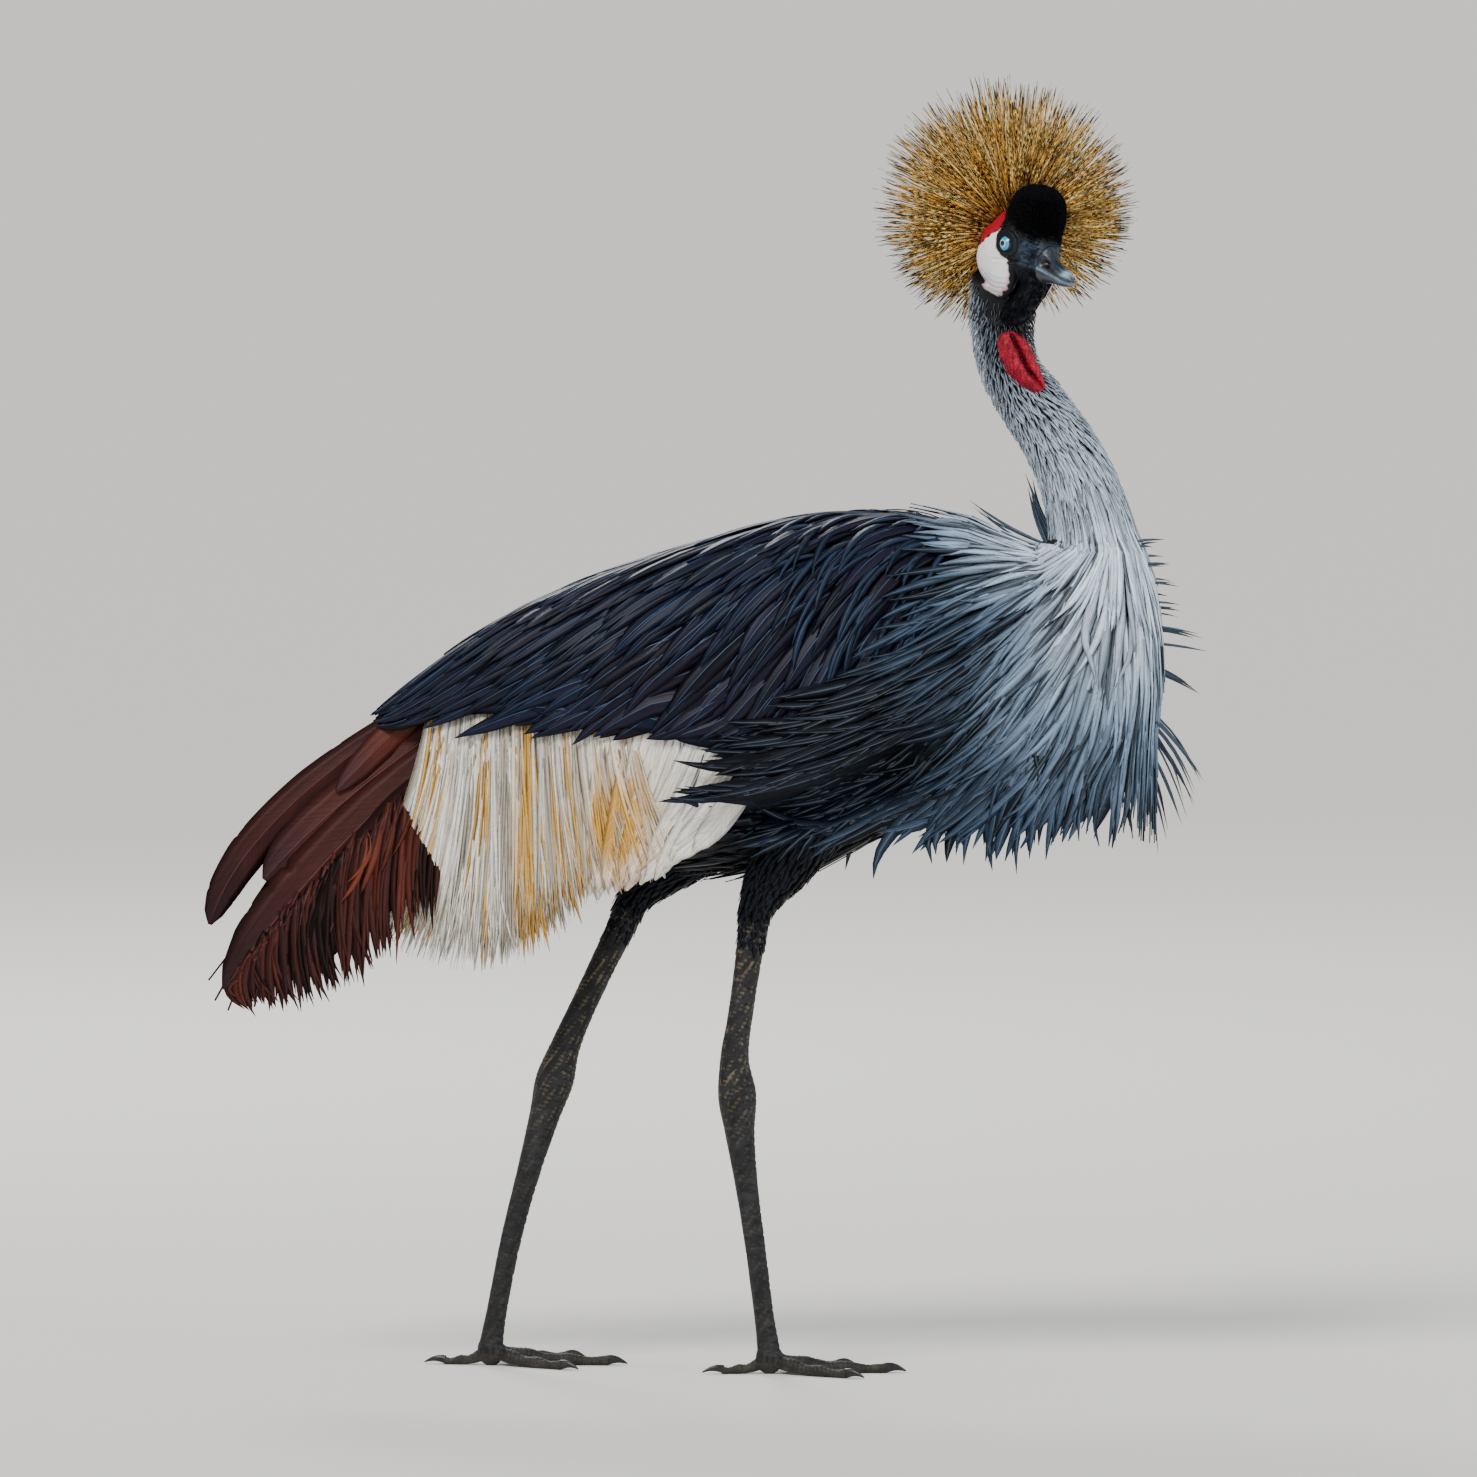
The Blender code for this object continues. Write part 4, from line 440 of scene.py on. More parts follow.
# Folded wing: x, ridge, widest height, half width, lower edge of the dark feathers
WING = (
    (-0.262, 0.513, 0.490, 0.010, 0.506),
    (-0.240, 0.532, 0.480, 0.026, 0.508),
    (-0.200, 0.563, 0.478, 0.047, 0.514),
    (-0.150, 0.594, 0.485, 0.065, 0.516),
    (-0.100, 0.617, 0.495, 0.079, 0.512),
    (-0.050, 0.635, 0.505, 0.090, 0.506),
    (0.000, 0.651, 0.512, 0.097, 0.503),
    (0.050, 0.664, 0.518, 0.101, 0.503),
    (0.100, 0.671, 0.524, 0.101, 0.506),
    (0.150, 0.671, 0.530, 0.096, 0.514),
    (0.200, 0.662, 0.540, 0.086, 0.530),
    (0.225, 0.650, 0.548, 0.075, 0.545),
)
# Below its widest height the wing hangs nearly straight: how much it leans in, and its drop a degree
LEAN_IN, DROP = 0.10, 0.001
# White and gold feathers under the dark ones: x, lower edge of their tips
GOLD = (
    (-0.216, 0.342),
    (-0.190, 0.328),
    (-0.150, 0.330),
    (-0.115, 0.368),
    (-0.070, 0.388),
    (-0.030, 0.404),
    (0.010, 0.440),
    (0.040, 0.480),
)
# Behind the rump: x, how far the feathers start from the middle, and how much they spread going down
REAR = (
    (-0.392, 0.0030, 0.15),
    (-0.300, 0.0040, 0.18),
    (-0.260, 0.0050, 0.19),
    (-0.200, 0.0090, 0.18),
    (-0.150, 0.0220, 0.23),
)
# Back line of the secondaries, x and height
BACK_LINE = (
    (-0.392, 0.330),
    (-0.384, 0.372),
    (-0.360, 0.420),
    (-0.319, 0.464),
    (-0.262, 0.508),
    (-0.218, 0.540),
    (-0.150, 0.566),
)
# The ramp from the wing's front down to the neck: rings, each ahead of the last and smaller
WING_RAMP = ((0.016, 0.94), (0.026, 0.84), (0.026, 0.70))

# Head: the point between the eyes, its turn to the right, its nod and its tilt
EYES_MIDDLE = np.array((0.2515, -0.0406, 0.8860))
HEAD_TURN, HEAD_NOD, HEAD_TILT = 62.0, 12.0, 4.0


def head_axes():
    turn, nod, tilt = (math.radians(v) for v in (HEAD_TURN, HEAD_NOD, HEAD_TILT))
    axes = Matrix.Rotation(-turn, 3, "Z") @ Matrix.Rotation(nod, 3, "Y") @ Matrix.Rotation(-tilt, 3, "X")
    return np.array(axes)


HEAD_FRAME = head_axes()


def on_head(points):
    """Places given in the head's own directions, ahead, left and up from between the eyes."""
    return EYES_MIDDLE + np.asarray(points, float) @ HEAD_FRAME.T


def in_head(points):
    """The same places turned back into the head's own directions."""
    return (np.asarray(points) - EYES_MIDDLE) @ HEAD_FRAME


def limb_frame(table, t):
    """The middle of the neck or a leg, its forward and sideways directions and its radius, at every t."""
    near = 0.004 if table is NECK else 0.01
    x, y, z, radius = along(table, t)
    down = unit(np.stack(along(table, t + near)[:3], -1) - np.stack(along(table, t - near)[:3], -1))
    side = unit(LEFT - down * dot(down, LEFT))
    forward = np.cross(side, down)
    forward = np.where(forward[..., :1] < 0, -forward, forward)
    return np.stack([x, y, z], -1), forward, side, radius


def neck_point(t, turn, out):
    """A place over the neck, at a turn in degrees from its front to the left, and its outward direction."""
    middle, forward, side, radius = limb_frame(NECK, t)
    c, s = np.cos(np.radians(turn))[..., None], np.sin(np.radians(turn))[..., None]
    away = forward * c + side * s
    size = (radius + out)[..., None]
    return middle + forward * c * size + side * s * NECK_FLAT * size, away


def torso_point(x, turn, out):
    """A place over the torso, at a turn in degrees from its top to the left, and its outward direction."""
    top, bottom, half = read(TORSO, x)
    middle = bottom + TORSO_WIDEST * (top - bottom)
    c, s = np.cos(np.radians(turn)), np.sin(np.radians(turn))
    high = np.where(c > 0, top - middle, middle - bottom)
    y, z = (half + out) * s, middle + (high + out) * c
    away = unit(np.stack([0 * x, s / half, c / high], -1))
    return np.stack([x, y, z], -1), away


def flank(x, angle, out, left):
    """A point of the folded wing's outside.

    Angle 0 is the ridge of the back and 90 the widest height. Past 90, one degree hangs 1 mm lower.
    """
    ridge, widest, half, _ = read(WING, x)
    turn = np.radians(np.minimum(angle, 90.0))
    drop = np.maximum(angle - 90.0, 0.0) * DROP
    y = (half + out) * np.sin(turn) - LEAN_IN * drop
    z = widest + (ridge - widest + out) * np.cos(turn) - drop
    return np.stack(np.broadcast_arrays(x, left * y, z), -1)


def flank_out(x, angle, left):
    """The direction that points away from the flank."""
    along_x = flank(x + 0.004, angle, 0.0, left) - flank(x - 0.004, angle, 0.0, left)
    around = flank(x, angle + 2.0, 0.0, left) - flank(x, angle - 2.0, 0.0, left)
    out = unit(np.cross(along_x, around))
    inward = (out[..., 1] * left <= 0) & ((np.abs(out[..., 1]) >= 0.2) | (out[..., 2] <= 0))
    return np.where(inward[..., None], -out, out)


def angle_at(x, z):
    """The flank's angle where it is at height z."""
    ridge, widest, _, _ = read(WING, x)
    over = np.degrees(np.arccos(np.clip((z - widest) / (ridge - widest), -1.0, 1.0)))
    return np.where(z >= widest, over, 90.0 + (widest - z) / DROP)


def dark_edge(x):
    return angle_at(x, read(WING, x)[3])


def gold_edge(x):
    return angle_at(x, read(GOLD, x)[0])


def wing_girth(x):
    """The way round the flank from the ridge to the dark feathers' lower edge."""
    edge = dark_edge(x)
    ridge, widest, half, _ = read(WING, x)
    return 0.8 * (ridge - widest + half) * np.minimum(edge, 90.0) / 90.0 + np.maximum(0.0, edge - 90.0) * DROP


def wing_room(out):
    """Both wings with all between and under them, grown by out, and a ramp up to them from the neck."""
    rings = []
    for x in [-0.215, *[row[0] for row in WING[3:]]]:
        x = np.float64(x)
        low = gold_edge(x) if x < 0.04 else dark_edge(x) + 10.0
        side = flank(np.full(10, x), low * np.arange(10) / 9, out, 1)
        side[0, 1] = 0.0
        rings.append(np.concatenate([side, side[:0:-1] * (1, -1, 1)]))
    rings[-1] = rings[-1] + AHEAD * out
    middle = np.array((rings[-1][0, 0], 0.0, 0.57))
    for ahead, size in WING_RAMP:
        rings.append(middle + (rings[-1] - middle) * size + AHEAD * ahead)
    return loft(rings)


def torso_core(out, sides=36, count=60):
    xs = np.linspace(TORSO[0][0], TORSO[-1][0], count)
    rings = []
    for x in xs:
        top, bottom, half = read(TORSO, x)
        middle = bottom + TORSO_WIDEST * (top - bottom)
        spot = np.array((x, 0, middle))
        rings.append(oval(spot, LEFT, UP, half + out, top - middle + out, middle - bottom + out, sides))
    return loft(rings)


def tube(table, flat, start, end, out, sides, count):
    """The neck or a leg between two shares of its length, grown by out."""
    rings = []
    for t in np.linspace(start, end, count):
        middle, forward, side, radius = limb_frame(table, t)
        size = radius + out
        rings.append(oval(middle, side, forward, size * flat, size, size, sides))
    return loft(rings)


def mantle(out, sides=36):
    rings = []
    for z, x, long, wide in MANTLE:
        rings.append(oval(np.array((x, 0, z)), LEFT, AHEAD, wide + out, long + out, long + out, sides, 0.85))
    return loft(rings)


def lifted(lift, t):
    """How high a feather is over what it grows from, at t from its root to its tip."""
    return read(lift, t)[0]


# Legs: middle line x, y, z and radius, hip to sole, right and left
LEG_RIGHT = (
    (0.0900, -0.0480, 0.4500, 0.0330),
    (0.0560, -0.0450, 0.4000, 0.0250),
    (0.0380, -0.0410, 0.3680, 0.0150),
    (0.0330, -0.0390, 0.3400, 0.0110),
    (0.0250, -0.0340, 0.2850, 0.0098),
    (0.0200, -0.0310, 0.2480, 0.0112),
    (0.0220, -0.0295, 0.2180, 0.0150),
    (0.0240, -0.0285, 0.1900, 0.0118),
    (0.0290, -0.0270, 0.1500, 0.0090),
    (0.0360, -0.0255, 0.1000, 0.0080),
    (0.0430, -0.0245, 0.0450, 0.0078),
    (0.0470, -0.0240, 0.0160, 0.0092),
)
LEG_LEFT = (
    (0.0400, 0.0480, 0.4400, 0.0330),
    (-0.0100, 0.0440, 0.4060, 0.0240),
    (-0.0540, 0.0410, 0.3720, 0.0150),
    (-0.0700, 0.0400, 0.3420, 0.0112),
    (-0.0960, 0.0395, 0.2880, 0.0102),
    (-0.1120, 0.0395, 0.2520, 0.0116),
    (-0.1210, 0.0395, 0.2240, 0.0150),
    (-0.1290, 0.0395, 0.1960, 0.0120),
    (-0.1420, 0.0400, 0.1500, 0.0092),
    (-0.1550, 0.0405, 0.1000, 0.0082),
    (-0.1660, 0.0410, 0.0450, 0.0080),
    (-0.1710, 0.0410, 0.0160, 0.0094),
)
LEGS = (("right", -1, LEG_RIGHT), ("left", 1, LEG_LEFT))
# Shares of a leg's length where the thigh's feathers end and its bare scales start
THIGH_END, BARE_START = 0.235, 0.223
# Length of a leg's middle line
LEG_LENGTH = 0.55


def linear(code):
    """An sRGB hex colour as linear values."""
    values = [int(code[i : i + 2], 16) / 255 for i in (1, 3, 5)]
    return tuple(v / 12.92 if v <= 0.04045 else ((v + 0.055) / 1.055) ** 2.4 for v in values)


def add(tree, kind, settings=None, links=None):
    """Adds one node with its settings, by the name of an input or of the node's own option, and its links."""
    made = tree.nodes.new("ShaderNode" + kind)
    for name, value in (settings or {}).items():
        if isinstance(name, int) or name in made.inputs:
            made.inputs[name].default_value = value
        else:
            setattr(made, name, value)
    for name, source in (links or {}).items():
        tree.links.new(source, made.inputs[name])
    return made


def new_material(name, settings):
    """A material's tree and its shader, with what is the same all over set on the shader itself."""
    made = bpy.data.materials.new(name)
    made.use_nodes = True
    tree = made.node_tree
    shader = tree.nodes["Principled BSDF"]
    for socket, value in settings.items():
        shader.inputs[socket].default_value = value
    return made, tree, shader


def colour_mix(tree, share, a, b, kind="MIX"):
    """A mix of two colours: each is a link or a plain colour, and share a link or a number."""
    made = add(tree, "Mix", {"data_type": "RGBA", "blend_type": kind})
    for place, value in ((0, share), (6, a), (7, b)):
        if isinstance(value, bpy.types.NodeSocket):
            tree.links.new(value, made.inputs[place])
        else:
            made.inputs[place].default_value = value if place == 0 else (*value, 1.0)
    return made.outputs[2]


def shift(tree, value, low, high, to_low, to_high):
    """A value moved smoothly from one range to another."""
    settings = {"interpolation_type": "SMOOTHSTEP", 1: low, 2: high, 3: to_low, 4: to_high}
    return add(tree, "MapRange", settings, {0: value}).outputs[0]


def vane_material(name, shaft, shaft_width, shaft_share, edge_share, barb, bump, settings):
    """Keratin feather: its shaft is a fine ridge along the middle, and barbs slant from it to the edge.

    The barbs of a real vane are about 0.3 mm apart, too fine to show, so barb gives in millimetres how
    coarse they are drawn.
    """
    made, tree, shader = new_material(name, settings)
    tint = add(tree, "Attribute", {"attribute_name": "Tint"})
    share = add(tree, "Attribute", {"attribute_name": "Share"})
    lie = add(tree, "Attribute", {"attribute_name": "Lie"})
    across = add(tree, "SeparateXYZ", None, {0: share.outputs["Vector"]})
    spot = add(tree, "SeparateXYZ", None, {0: lie.outputs["Vector"]})
    centred = add(tree, "Math", {"operation": "SUBTRACT", 1: 0.5}, {0: across.outputs[0]})
    aside = add(tree, "Math", {"operation": "ABSOLUTE"}, {0: centred.outputs[0]})
    # Barbs leave the shaft at about 35 degrees: 1.4 mm along for each millimetre across
    away = add(tree, "Math", {"operation": "ABSOLUTE"}, {0: spot.outputs[0]})
    slant = add(tree, "Math", {"operation": "MULTIPLY_ADD", 1: -1.4},
                {0: away.outputs[0], 2: spot.outputs[1]})
    wave = add(tree, "CombineXYZ", {0: 0.0}, {1: slant.outputs[0], 2: spot.outputs[2]})
    scaled = add(tree, "VectorMath", {"operation": "MULTIPLY", 1: (1.0, 1.0 / barb, 40.0)},
                 {0: wave.outputs[0]})
    barbs = add(tree, "TexNoise", {"Scale": 1.0, "Detail": 3.0, "Roughness": 0.6}, {0: scaled.outputs[0]})
    long = add(tree, "VectorMath", {"operation": "MULTIPLY", 1: (1.1, 0.05, 60.0)},
               {0: lie.outputs["Vector"]})
    streak = add(tree, "TexNoise", {"Scale": 1.0, "Detail": 2.0}, {0: long.outputs[0]})
    grey = shift(tree, barbs.outputs[0], 0.3, 0.7, 0.80, 1.18)
    streaks = shift(tree, streak.outputs[0], 0.3, 0.7, 0.78, 1.20)
    both = add(tree, "Math", {"operation": "MULTIPLY"}, {0: grey, 1: streaks})
    shade = add(tree, "CombineColor", None, {0: both.outputs[0], 1: both.outputs[0], 2: both.outputs[0]})
    base = colour_mix(tree, 1.0, tint.outputs["Color"], shade.outputs[0], "MULTIPLY")
    # Towards its edges the vane darkens: partly its own darker edge, partly painted shade between overlapping
    # feathers
    rim = shift(tree, aside.outputs[0], 0.36, 0.5, 0.0, edge_share)
    base = colour_mix(tree, rim, base, (0.0, 0.0, 0.0))
    line = shift(tree, aside.outputs[0], 0.0, shaft_width, shaft_share, 0.0)
    base = colour_mix(tree, line, base, shaft)
    tree.links.new(base, shader.inputs["Base Color"])
    relief = add(tree, "Bump", {"Strength": bump, "Distance": 0.0004}, {"Height": barbs.outputs[0]})
    tree.links.new(relief.outputs[0], shader.inputs["Normal"])
    return made


def skin_material(name, grain, bump, spread, settings):
    """Bare or downy skin: its colour is stored at each point, its grain in millimetres sets the folds."""
    made, tree, shader = new_material(name, settings)
    tint = add(tree, "Attribute", {"attribute_name": "Tint"})
    place = {0: add(tree, "TexCoord").outputs["Object"]}
    fine = add(tree, "TexNoise", {"Scale": MM / grain, "Detail": 4.0, "Roughness": 0.6}, place)
    coarse = add(tree, "TexNoise", {"Scale": 0.12 * MM / grain, "Detail": 3.0}, place)
    cells = add(tree, "TexVoronoi", {"Scale": 0.5 * MM / grain}, place)
    level = shift(tree, fine.outputs[0], 0.3, 0.7, 1.0 - spread, 1.0 + spread)
    patches = shift(tree, coarse.outputs[0], 0.3, 0.7, 1.0 - spread, 1.0 + 0.6 * spread)
    both = add(tree, "Math", {"operation": "MULTIPLY"}, {0: level, 1: patches})
    shade = add(tree, "CombineColor", None, {0: both.outputs[0], 1: both.outputs[0], 2: both.outputs[0]})
    base = colour_mix(tree, 1.0, tint.outputs["Color"], shade.outputs[0], "MULTIPLY")
    tree.links.new(base, shader.inputs["Base Color"])
    height = add(tree, "Math", {"operation": "MULTIPLY_ADD", 1: 0.6},
                 {0: cells.outputs[0], 2: fine.outputs[0]})
    relief = add(tree, "Bump", {"Strength": bump, "Distance": 0.0006}, {"Height": height.outputs[0]})
    tree.links.new(relief.outputs[0], shader.inputs["Normal"])
    return made


def materials():
    """The finishes of the bird, each from what the real one is."""
    made = {}
    # Keratin vane, grown and preened: dull with a soft gleam along the barbs. Index 1.55.
    keratin = {"IOR": 1.55, "Roughness": 0.50, "Specular IOR Level": 0.12}
    pale = {**keratin, "Roughness": 0.55}
    made["grey"] = vane_material("Loose grey keratin plumes", linear("#9fb6cf"), 0.10, 0.16, 0.60, 1.1, 0.35,
                                 pale)
    made["down"] = vane_material("Hair-like grey neck feathers", linear("#eef4fb"), 0.2, 0.15, 0.18, 0.9,
                                 0.25, pale)
    made["slate"] = vane_material("Close slate keratin vanes", linear("#5f86b5"), 0.022, 0.42, 0.45, 1.3,
                                  0.25,
                                  {**keratin, "Roughness": 0.42})
    made["black"] = vane_material("Black keratin feathers", linear("#3a4658"), 0.06, 0.25, 0.3, 1.2, 0.3,
                                  keratin)
    made["gold"] = vane_material("Loose straw keratin barbs", linear("#fff6dd"), 0.16, 0.22, 0.30, 1.2, 0.3,
                                 pale)
    made["chestnut"] = vane_material("Chestnut keratin vanes", linear("#8a5550"), 0.016, 0.40, 0.40, 1.2,
                                     0.35,
                                     {**keratin, "Roughness": 0.45})
    # Stiff crest bristle: a twisted flat quill that glints where it turns. Index 1.55.
    made["bristle"] = vane_material("Twisted keratin bristles", linear("#ffe9a0"), 0.10, 0.12, 0.25, 2.5, 0.2,
                                    {**keratin, "Roughness": 0.42, "Specular IOR Level": 0.30})
    # Short black plush feathers: they swallow the light but for a faint sheen at the rim
    made["velvet"] = vane_material("Black plush feathers", linear("#101014"), 0.1, 0.1, 0.1, 1.0, 0.1,
                                   {"IOR": 1.5, "Roughness": 0.9, "Specular IOR Level": 0.06})
    # Bare skin over fat and muscle, with pores and creases: soft light through it. Index 1.4.
    skin = {"IOR": 1.4, "Roughness": 0.48, "Subsurface Weight": 0.15, "Subsurface Scale": 0.002,
            "Specular IOR Level": 0.3}
    made["skin"] = skin_material("Bare crane skin", 1.6, 0.18, 0.05, skin)
    made["red"] = skin_material("Wrinkled red wattle skin", 1.3, 0.8, 0.30, {**skin, "Roughness": 0.42})
    # Close down under the feathers: short and matt; its dark tint is partly painted shade under them
    made["under"] = skin_material("Close dark down", 2.0, 0.4, 0.2, {"IOR": 1.5, "Roughness": 0.85,
                                                                   "Specular IOR Level": 0.08})
    # Horn of the bill: keratin over bone, worn smooth, with a slight polish. Index 1.55.
    horn = {"IOR": 1.55, "Roughness": 0.34, "Specular IOR Level": 0.32, "Coat Weight": 0.10,
            "Coat Roughness": 0.25}
    made["horn"] = skin_material("Worn bill horn", 1.5, 0.25, 0.30, horn)
    made["claw"] = skin_material("Worn claw horn", 1.5, 0.2, 0.25, {**horn, "Roughness": 0.36})
    # Horny scales of the leg: dry keratin plates with dust in their seams. Index 1.5.
    made["scale"] = skin_material("Dry horny leg scales", 1.1, 0.7, 0.35,
                                  {"IOR": 1.5, "Roughness": 0.55, "Specular IOR Level": 0.3})
    # Eye: wet cornea over the iris, so a clear smooth coat. Index 1.376.
    wet = {"IOR": 1.376, "Roughness": 0.12, "Coat Weight": 1.0, "Coat Roughness": 0.01, "Coat IOR": 1.376}
    made["eye"] = skin_material("Wet eye", 0.7, 0.02, 0.10, wet)
    return made


FINISHES = {}


def finish(name):
    """One of the finishes: they are made once, when the first piece asks for one."""
    if not FINISHES:
        FINISHES.update(materials())
    return FINISHES[name]


def spread_rows(rng, starts, girths, gap):
    """Even but jittered places: the row number and the share round it, for rows of these girths."""
    rows, shares = [], []
    for number, girth in enumerate(girths):
        count = max(3, int(round(girth / gap)))
        places = (np.arange(count) + rng.uniform(-0.35, 0.35, count) + 0.5 * (number % 2)) / count
        rows.append(np.full(count, starts[number]))
        shares.append(places % 1.0)
    return np.concatenate(rows), np.concatenate(shares)


def varied(rng, tint, low, high, dark=0.0, darkest=0.35):
    """The colour of each feather made lighter or darker as a whole, a few of them much darker."""
    level = rng.uniform(low, high, (len(tint), 1, 1))
    return tint * np.where(rng.uniform(size=(len(tint), 1, 1)) < dark, darkest, level)


def neck_tint(look, t, turn):
    """Black under the face and down the throat, pale grey streaks beside it, silver at the neck's foot."""
    front = np.cos(np.radians(turn + 50.0))
    black_to = 0.030 + 0.115 * ramp(front, 0.0, 0.8)
    # Beside the wattle the grey stays dark, behind it is pale right under the cheek
    grey = np.maximum(ramp(t, 0.18, 0.40), 0.85 * (1.0 - ramp(front, -0.45, 0.35)))
    tint = mix(look.black, mix(look.neck_dark, look.neck_grey, grey),
               ramp(t, black_to - 0.012, black_to + 0.020))
    return mix(tint, look.neck_silver, ramp(t, 0.34, 0.66))


def neck_feathers(look, size, name, start, end, seed):
    """Fine feathers of the neck, longer towards its foot."""
    coat = Coat(seed)
    rng, m = coat.rng, 5
    starts = np.arange(start, end, size.neck_row / NECK_LENGTH)
    t, share = spread_rows(rng, starts, 2 * math.pi * along(NECK, starts)[3], size.neck_gap)
    turn = 360.0 * share - 180.0
    t = t + rng.uniform(-0.4, 0.4, len(t)) * size.neck_row / NECK_LENGTH
    length = (0.012 + 0.020 * ramp(t, 0.25, 0.75)) * rng.uniform(0.8, 1.25, len(t))
    # None grows on the bare cheek or over it
    near, far = (neck_point(t + part * length / NECK_LENGTH, turn, 0.0 * t)[0] for part in (0.0, 0.6))
    clear = np.maximum(bare_share(near), bare_share(far)) < -0.0012
    t, turn, length, share = (v[clear] for v in (t, turn, length, share))
    n = len(t)
    width = (0.0017 + 0.0019 * ramp(t, 0.2, 0.75)) * rng.uniform(0.8, 1.2, n)
    f = np.linspace(0, 1, m)
    spot = t[:, None] + length[:, None] * f / NECK_LENGTH
    sway = rng.normal(0, 5.0, (n, 1)) * f + rng.normal(0, 2.0, (n, 1)) * f**2
    lift = coat.lifts(n, (-0.0042, -0.0010, 0.0006), 0.0012, f)
    middles, outs = neck_point(spot, turn[:, None] + sway, lift)
    tint = varied(rng, neck_tint(look, spot, turn[:, None] + 0 * spot), 0.78, 1.12, 0.07, 0.40)
    # The roots lie in the shade of the row before
    tint = tint * (0.82 + 0.24 * f)[None, :, None]
    coat.add(middles, outs, width[:, None] * shape_width(LANCE, m), 0.0005, tint, np.stack([t, share], -1))
    return coat.make(name, "down")


def clear_of(skins, point, lift):
    """The point moved out to at least lift over every skin, the outward direction and its height there."""
    for _ in range(2):
        for skin in skins:
            spot, normal, _, _ = skin.find_nearest(point)
            if (point - spot).dot(normal) < lift:
                point = spot + normal * lift
    spot, normal, _, distance = min((skin.find_nearest(point) for skin in skins), key=lambda hit: hit[3])
    away = point - spot
    out = away.normalized() if away.length > 1e-5 and away.dot(normal) > 0 else normal
    return point, out, distance


# Paths that the ruff's plumes follow: distance between marks, height over the body, number of marks
STEP, PATH_LIFT, PATH_STEPS = 0.008, 0.0008, 56


def plume_path(skins, left, turn):
    """Marks (point, outward direction) down the neck and over the body, then hanging free below it."""
    first, bending, _ = (float(v) for v in read(RUFF_FLOW, turn))
    middle, _, _, radius = limb_frame(NECK, RUFF_SHARE)
    around = math.radians(turn)
    out = Vector((math.cos(around), left * math.sin(around), 0.0))
    point = Vector((float(middle[0]), 0.0, RUFF_START)) + out * float(radius)
    points, outs = [], []
    free = False
    for i in range(PATH_STEPS):
        moved, away, height = clear_of(skins, point, PATH_LIFT)
        free = free or (away.z < -0.45 and height > PATH_LIFT)
        point = moved
        if not free:
            out = away
            point = point - out * min(max(0.0, height - PATH_LIFT), 0.5 * STEP)
        points.append(tuple(point))
        outs.append(tuple(out))
        angle = math.radians(first + bending * i * STEP)
        wish = Vector((-math.sin(angle), 0.10 * left * math.sin(around), -math.cos(angle)))
        heading = wish if free else wish - out * wish.dot(out) * 0.9
        point = point + heading.normalized() * STEP
    return points, outs


def skin_of(shape):
    """A surface to lay plumes on, facing out."""
    obj = solid("laid_on", shape, placed=False)
    tree = BVHTree.FromObject(obj, bpy.context.evaluated_depsgraph_get())
    bpy.data.objects.remove(obj)
    return tree


# Degrees between the paths, and their turns round the neck
TURN_STEP = 2.0
PATH_TURNS = np.arange(0.0, 181.0, TURN_STEP)
# Marks that each path has up the neck before the ruff's start
BEFORE = 6


def ruff_paths(left):
    """Points and outward directions of every path, with their marks up the neck first."""
    skins = [skin_of(shape) for shape in (mantle(0.0, 22), wing_room(0.0040), torso_core(0.0004, 18, 24))]
    made = [plume_path(skins, left, turn) for turn in PATH_TURNS]
    up = RUFF_SHARE - np.arange(BEFORE, 0, -1) * STEP / NECK_LENGTH
    over, away = neck_point(np.tile(up, (len(PATH_TURNS), 1)), left * PATH_TURNS[:, None], PATH_LIFT)
    points = np.concatenate([over, np.array([row[0] for row in made])], axis=1)
    return points, np.concatenate([away, np.array([row[1] for row in made])], axis=1)


def on_paths(grid, turn, distance):
    """Values of the paths at a turn and a distance, from the four nearest marks."""
    row = np.clip(turn / TURN_STEP, 0, len(grid) - 1.001)
    column = np.clip(distance / STEP + BEFORE, 0, grid.shape[1] - 1.001)
    i, j = row.astype(int), column.astype(int)
    f, g = (row - i)[..., None], (column - j)[..., None]
    near = grid[i, j] * (1 - g) + grid[i, j + 1] * g
    far = grid[i + 1, j] * (1 - g) + grid[i + 1, j + 1] * g
    return near * (1 - f) + far * f


def ruff_tint(look, turn, distance, f):
    """Silver at the neck, slate blue towards the tips, and nearly black low on the flank."""
    rear = ramp(turn, 70.0, 92.0) * (1.0 - ramp(turn, 104.0, 118.0))
    over = ramp(turn, 84.0, 112.0)
    pale_to = 0.11 - 0.03 * rear - 0.05 * over
    tint = mix(look.neck_silver, look.ruff_grey, ramp(distance, pale_to - 0.07, pale_to + 0.05))
    tint = mix(tint, look.ruff_slate, ramp(distance, pale_to + 0.02, pale_to + 0.13 - 0.05 * over))
    tint = mix(tint, look.flank_black, rear * ramp(distance, 0.13, 0.23))
    # The shaded roots show as dark gaps, deeper where the plumes are long and loose
    root = 0.60 - 0.42 * ramp(distance, 0.02, 0.12)
    return tint * (root + (1.12 - root) * ramp(f, 0.08, 0.62))[..., None]


